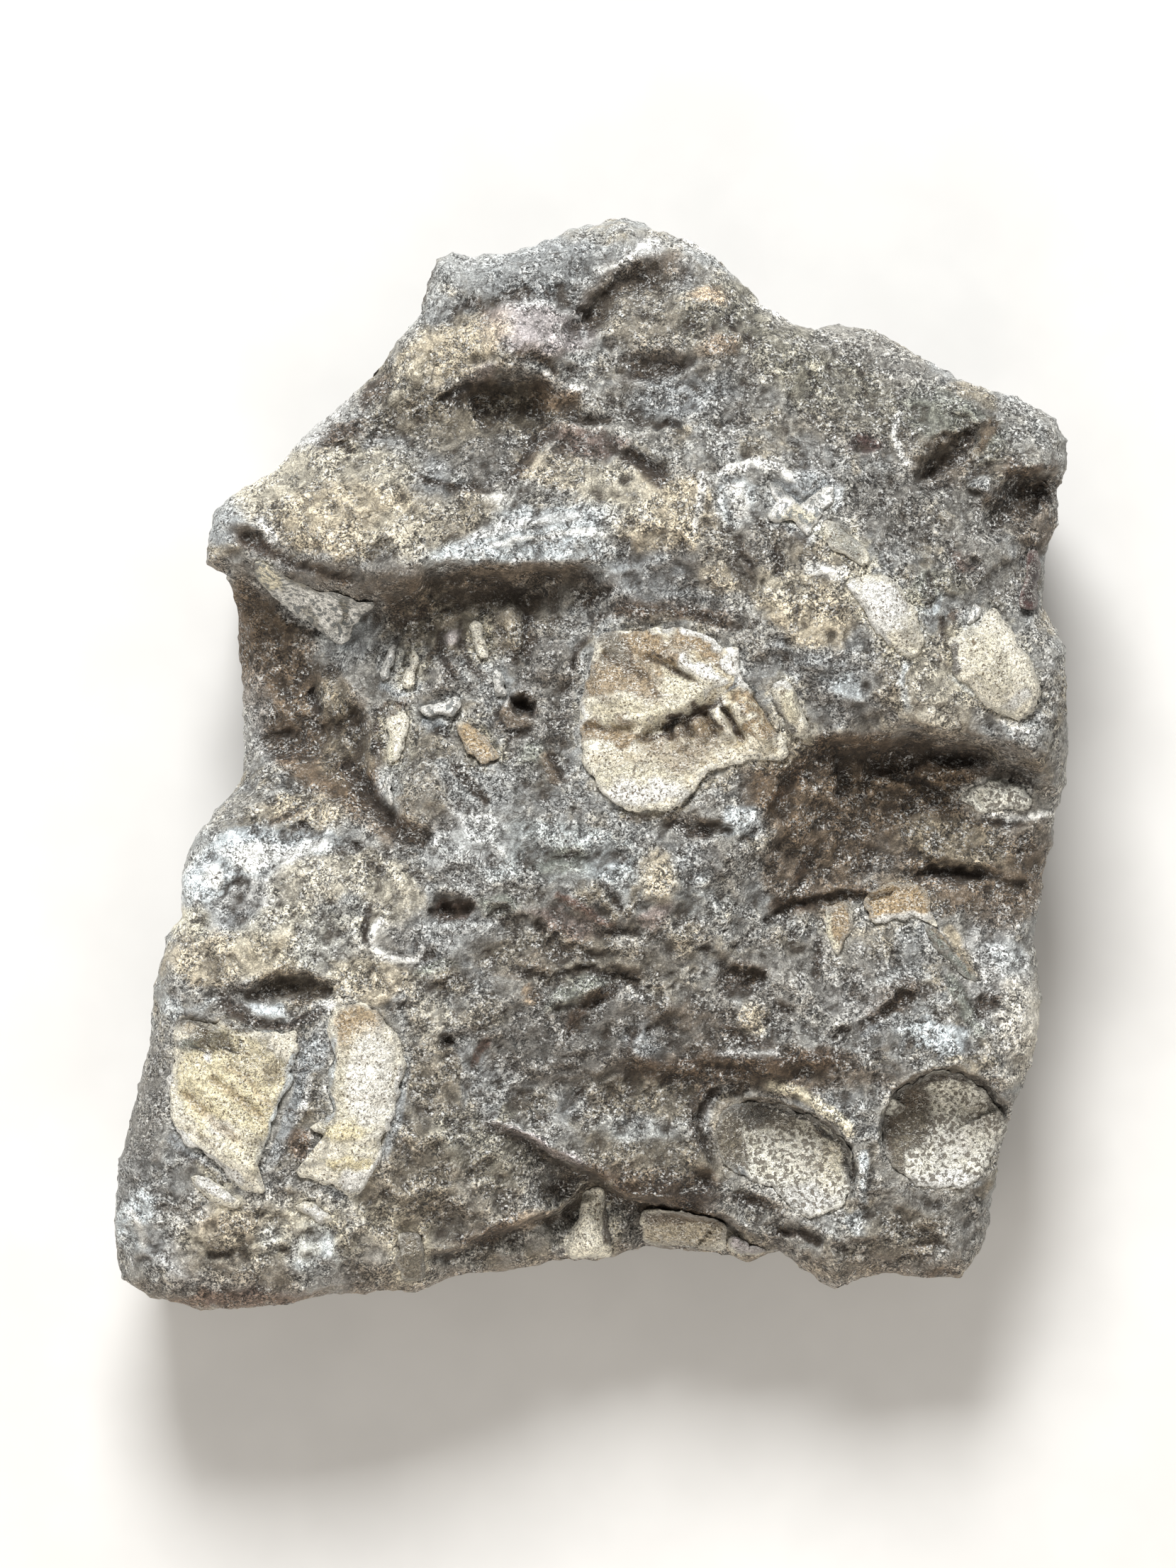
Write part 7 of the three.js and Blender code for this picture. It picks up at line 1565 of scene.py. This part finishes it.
def growShell(shell):
    form = shellForm
    ring = roundedOutline(shell["outline"], 6)[::-1]
    length = evenlySpaced(ring, 8)[1]
    count = max(40, int(length / form["step"]))
    ring, _ = evenlySpaced(ring, count)
    center = np.array(shell["outline"]).mean(0)
    reach = np.hypot(*(ring - center).T)
    stray = (form["frayed"] * shell.get("frayed", 1)
             * (fractalNoise(ring[:, 0] / 1.7, ring[:, 1] / 1.7, 91, 4) - 0.3))
    ring = center + (ring - center) * (1 + stray / reach)[:, None]
    across = max(8, int(reach.mean() / form["step"]))
    total = across + 4  # rings down to the rim, the broken edge, and the underside

    bpy.ops.object.select_all(action="DESELECT")
    bpy.ops.mesh.primitive_uv_sphere_add(segments=count, ring_count=total, radius=1)
    piece = bpy.context.active_object
    piece.name = shell["title"]
    raw = rawPoints(piece)
    row = np.round(np.arccos(np.clip(raw[:, 2], -1, 1)) / math.pi * total).astype(int)
    spoke = np.round(np.arctan2(raw[:, 1], raw[:, 0]) / (2 * math.pi) * count).astype(int) % count

    share = np.interp(row, [0, across, across + 1, across + 2, across + 3, total], [0, 1, 1.0, 0.97, 0.5, 0])
    x, y = (center + (ring[spoke] - center) * share[:, None]).T
    onTop = row <= across
    closed = [tuple(p) for p in ring]
    inward = np.abs(nearestOn(x, y, closed + closed[:1])[0])
    top = (shellHeight(x, y, shell) + shell.get("proud", 0.4) * form["proudShare"]
           + shell.get("swell", 0.35) * form["swellShare"] * (1 - share ** 2))
    top = top - form["edgeFall"] * (1 - ease(0, form["rounding"], inward))
    top = top + form["wear"] * fractalNoise(x / form["wearSize"], y / form["wearSize"], 101, 3)
    top = top + form["pits"] * fractalNoise(x / form["pitSize"], y / form["pitSize"], 111, 2)
    for line, half, rise in shell.get("marks", []):
        d, at = nearestOn(x, y, line)
        top = top + rise * np.exp(-(d / half) ** 2) * ease(0, 0.12, at) * ease(1, 0.75, at)
    under = faceHeight(x, y) - rimFall(x, y) - shell.get("depth", 1.5)
    side = np.interp(row, [across, across + 1, across + 2, total], [0, 0.4, 1, 1])
    z = np.where(onTop, top, top * (1 - side) + np.minimum(under, top - form["leastThick"]) * side)
    placePoints(piece, np.stack([x, y, z], 1))
    bpy.ops.object.mode_set(mode="EDIT")
    bpy.ops.mesh.select_all(action="SELECT")
    bpy.ops.mesh.normals_make_consistent(inside=False)
    bpy.ops.object.mode_set(mode="OBJECT")

    _, _, crest, swell = crestsAndSwellOf(piece, form["fineRounds"], form["broadRounds"])
    fray, wander = shell.get("fray", 0.6), shell.get("wander", 0.6)
    colour, cover = painted(x, y, shell.get("patches", []), shell.get("lines", []), fray, wander)
    rim = clamp(1 - inward / form["rimWidth"]) * onTop
    writeLayer(piece, "tone", np.concatenate([colour, cover[:, None]], 1))
    writeWeatherAndShade(piece, rim, crest, swell, form, shell.get("bright", 0))
    finishPiece(piece, shell["name"], shellFinishes[shell["paint"]])

growBlock()
print("block grown")
for shell in shells:
    growShell(shell)
print("shells laid in")

# floor, light and camera

studio = {
    "floor": 1.6, "floorColour": (0.62, 0.61, 0.59), "floorGrain": 0.05, "floorRoughness": 0.85,
    "key": {"place": (-0.12, 0.80, 0.80), "size": 0.42, "power": 21, "colour": (0.98, 0.99, 1.0)},
    "fill": {"place": (-0.1, -0.7, 0.5), "size": 0.9, "power": 5, "colour": (1.0, 0.93, 0.85)},
    "sky": (1.0, 0.98, 0.95), "skyStrength": 0.42,
    "eye": (-0.0002, -0.0022, 1.6), "lens": 319.7, "sensor": 36, "near": 0.01, "far": 10,
}


def lightFrom(name, form):
    bpy.ops.object.light_add(type="AREA", location=form["place"])
    lamp = bpy.context.active_object
    lamp.name = name
    lamp.data.size, lamp.data.energy, lamp.data.color = form["size"], form["power"], form["colour"]
    aim = -np.array(form["place"]) / np.linalg.norm(form["place"])
    lamp.rotation_euler = (math.acos(-aim[2]), 0, math.atan2(aim[1], aim[0]) - math.pi / 2)


def setStage():
    bpy.ops.mesh.primitive_plane_add(size=studio["floor"])
    floor = bpy.context.active_object
    floor.name = "floor"
    material, tree, shader = newFinish("palePaper")
    grain = noiseOf(tree, millimetres(tree), studio["floorGrain"], 3.0)
    shade = spreadOf(tree, grain, 0.3, 0.7, 0.97, 1.03)
    paper = blended(tree, 1.0, studio["floorColour"], greyOf(tree, shade), "MULTIPLY")
    tree.links.new(paper, shader.inputs["Base Color"])
    shader.inputs["Roughness"].default_value = studio["floorRoughness"]
    floor.data.materials.append(material)

    lightFrom("windowLight", studio["key"])
    lightFrom("roomLight", studio["fill"])
    world = bpy.data.worlds.new("studio")
    world.use_nodes = True
    background = world.node_tree.nodes["Background"]
    background.inputs["Color"].default_value = (*studio["sky"], 1)
    background.inputs["Strength"].default_value = studio["skyStrength"]
    bpy.context.scene.world = world

    bpy.ops.object.camera_add(location=studio["eye"], rotation=(0, 0, 0))
    camera = bpy.context.active_object
    camera.data.lens, camera.data.sensor_width = studio["lens"], studio["sensor"]
    camera.data.clip_start, camera.data.clip_end = studio["near"], studio["far"]
    bpy.context.scene.camera = camera
    bpy.context.scene.view_settings.view_transform = "Standard"


setStage()
print("stage set")
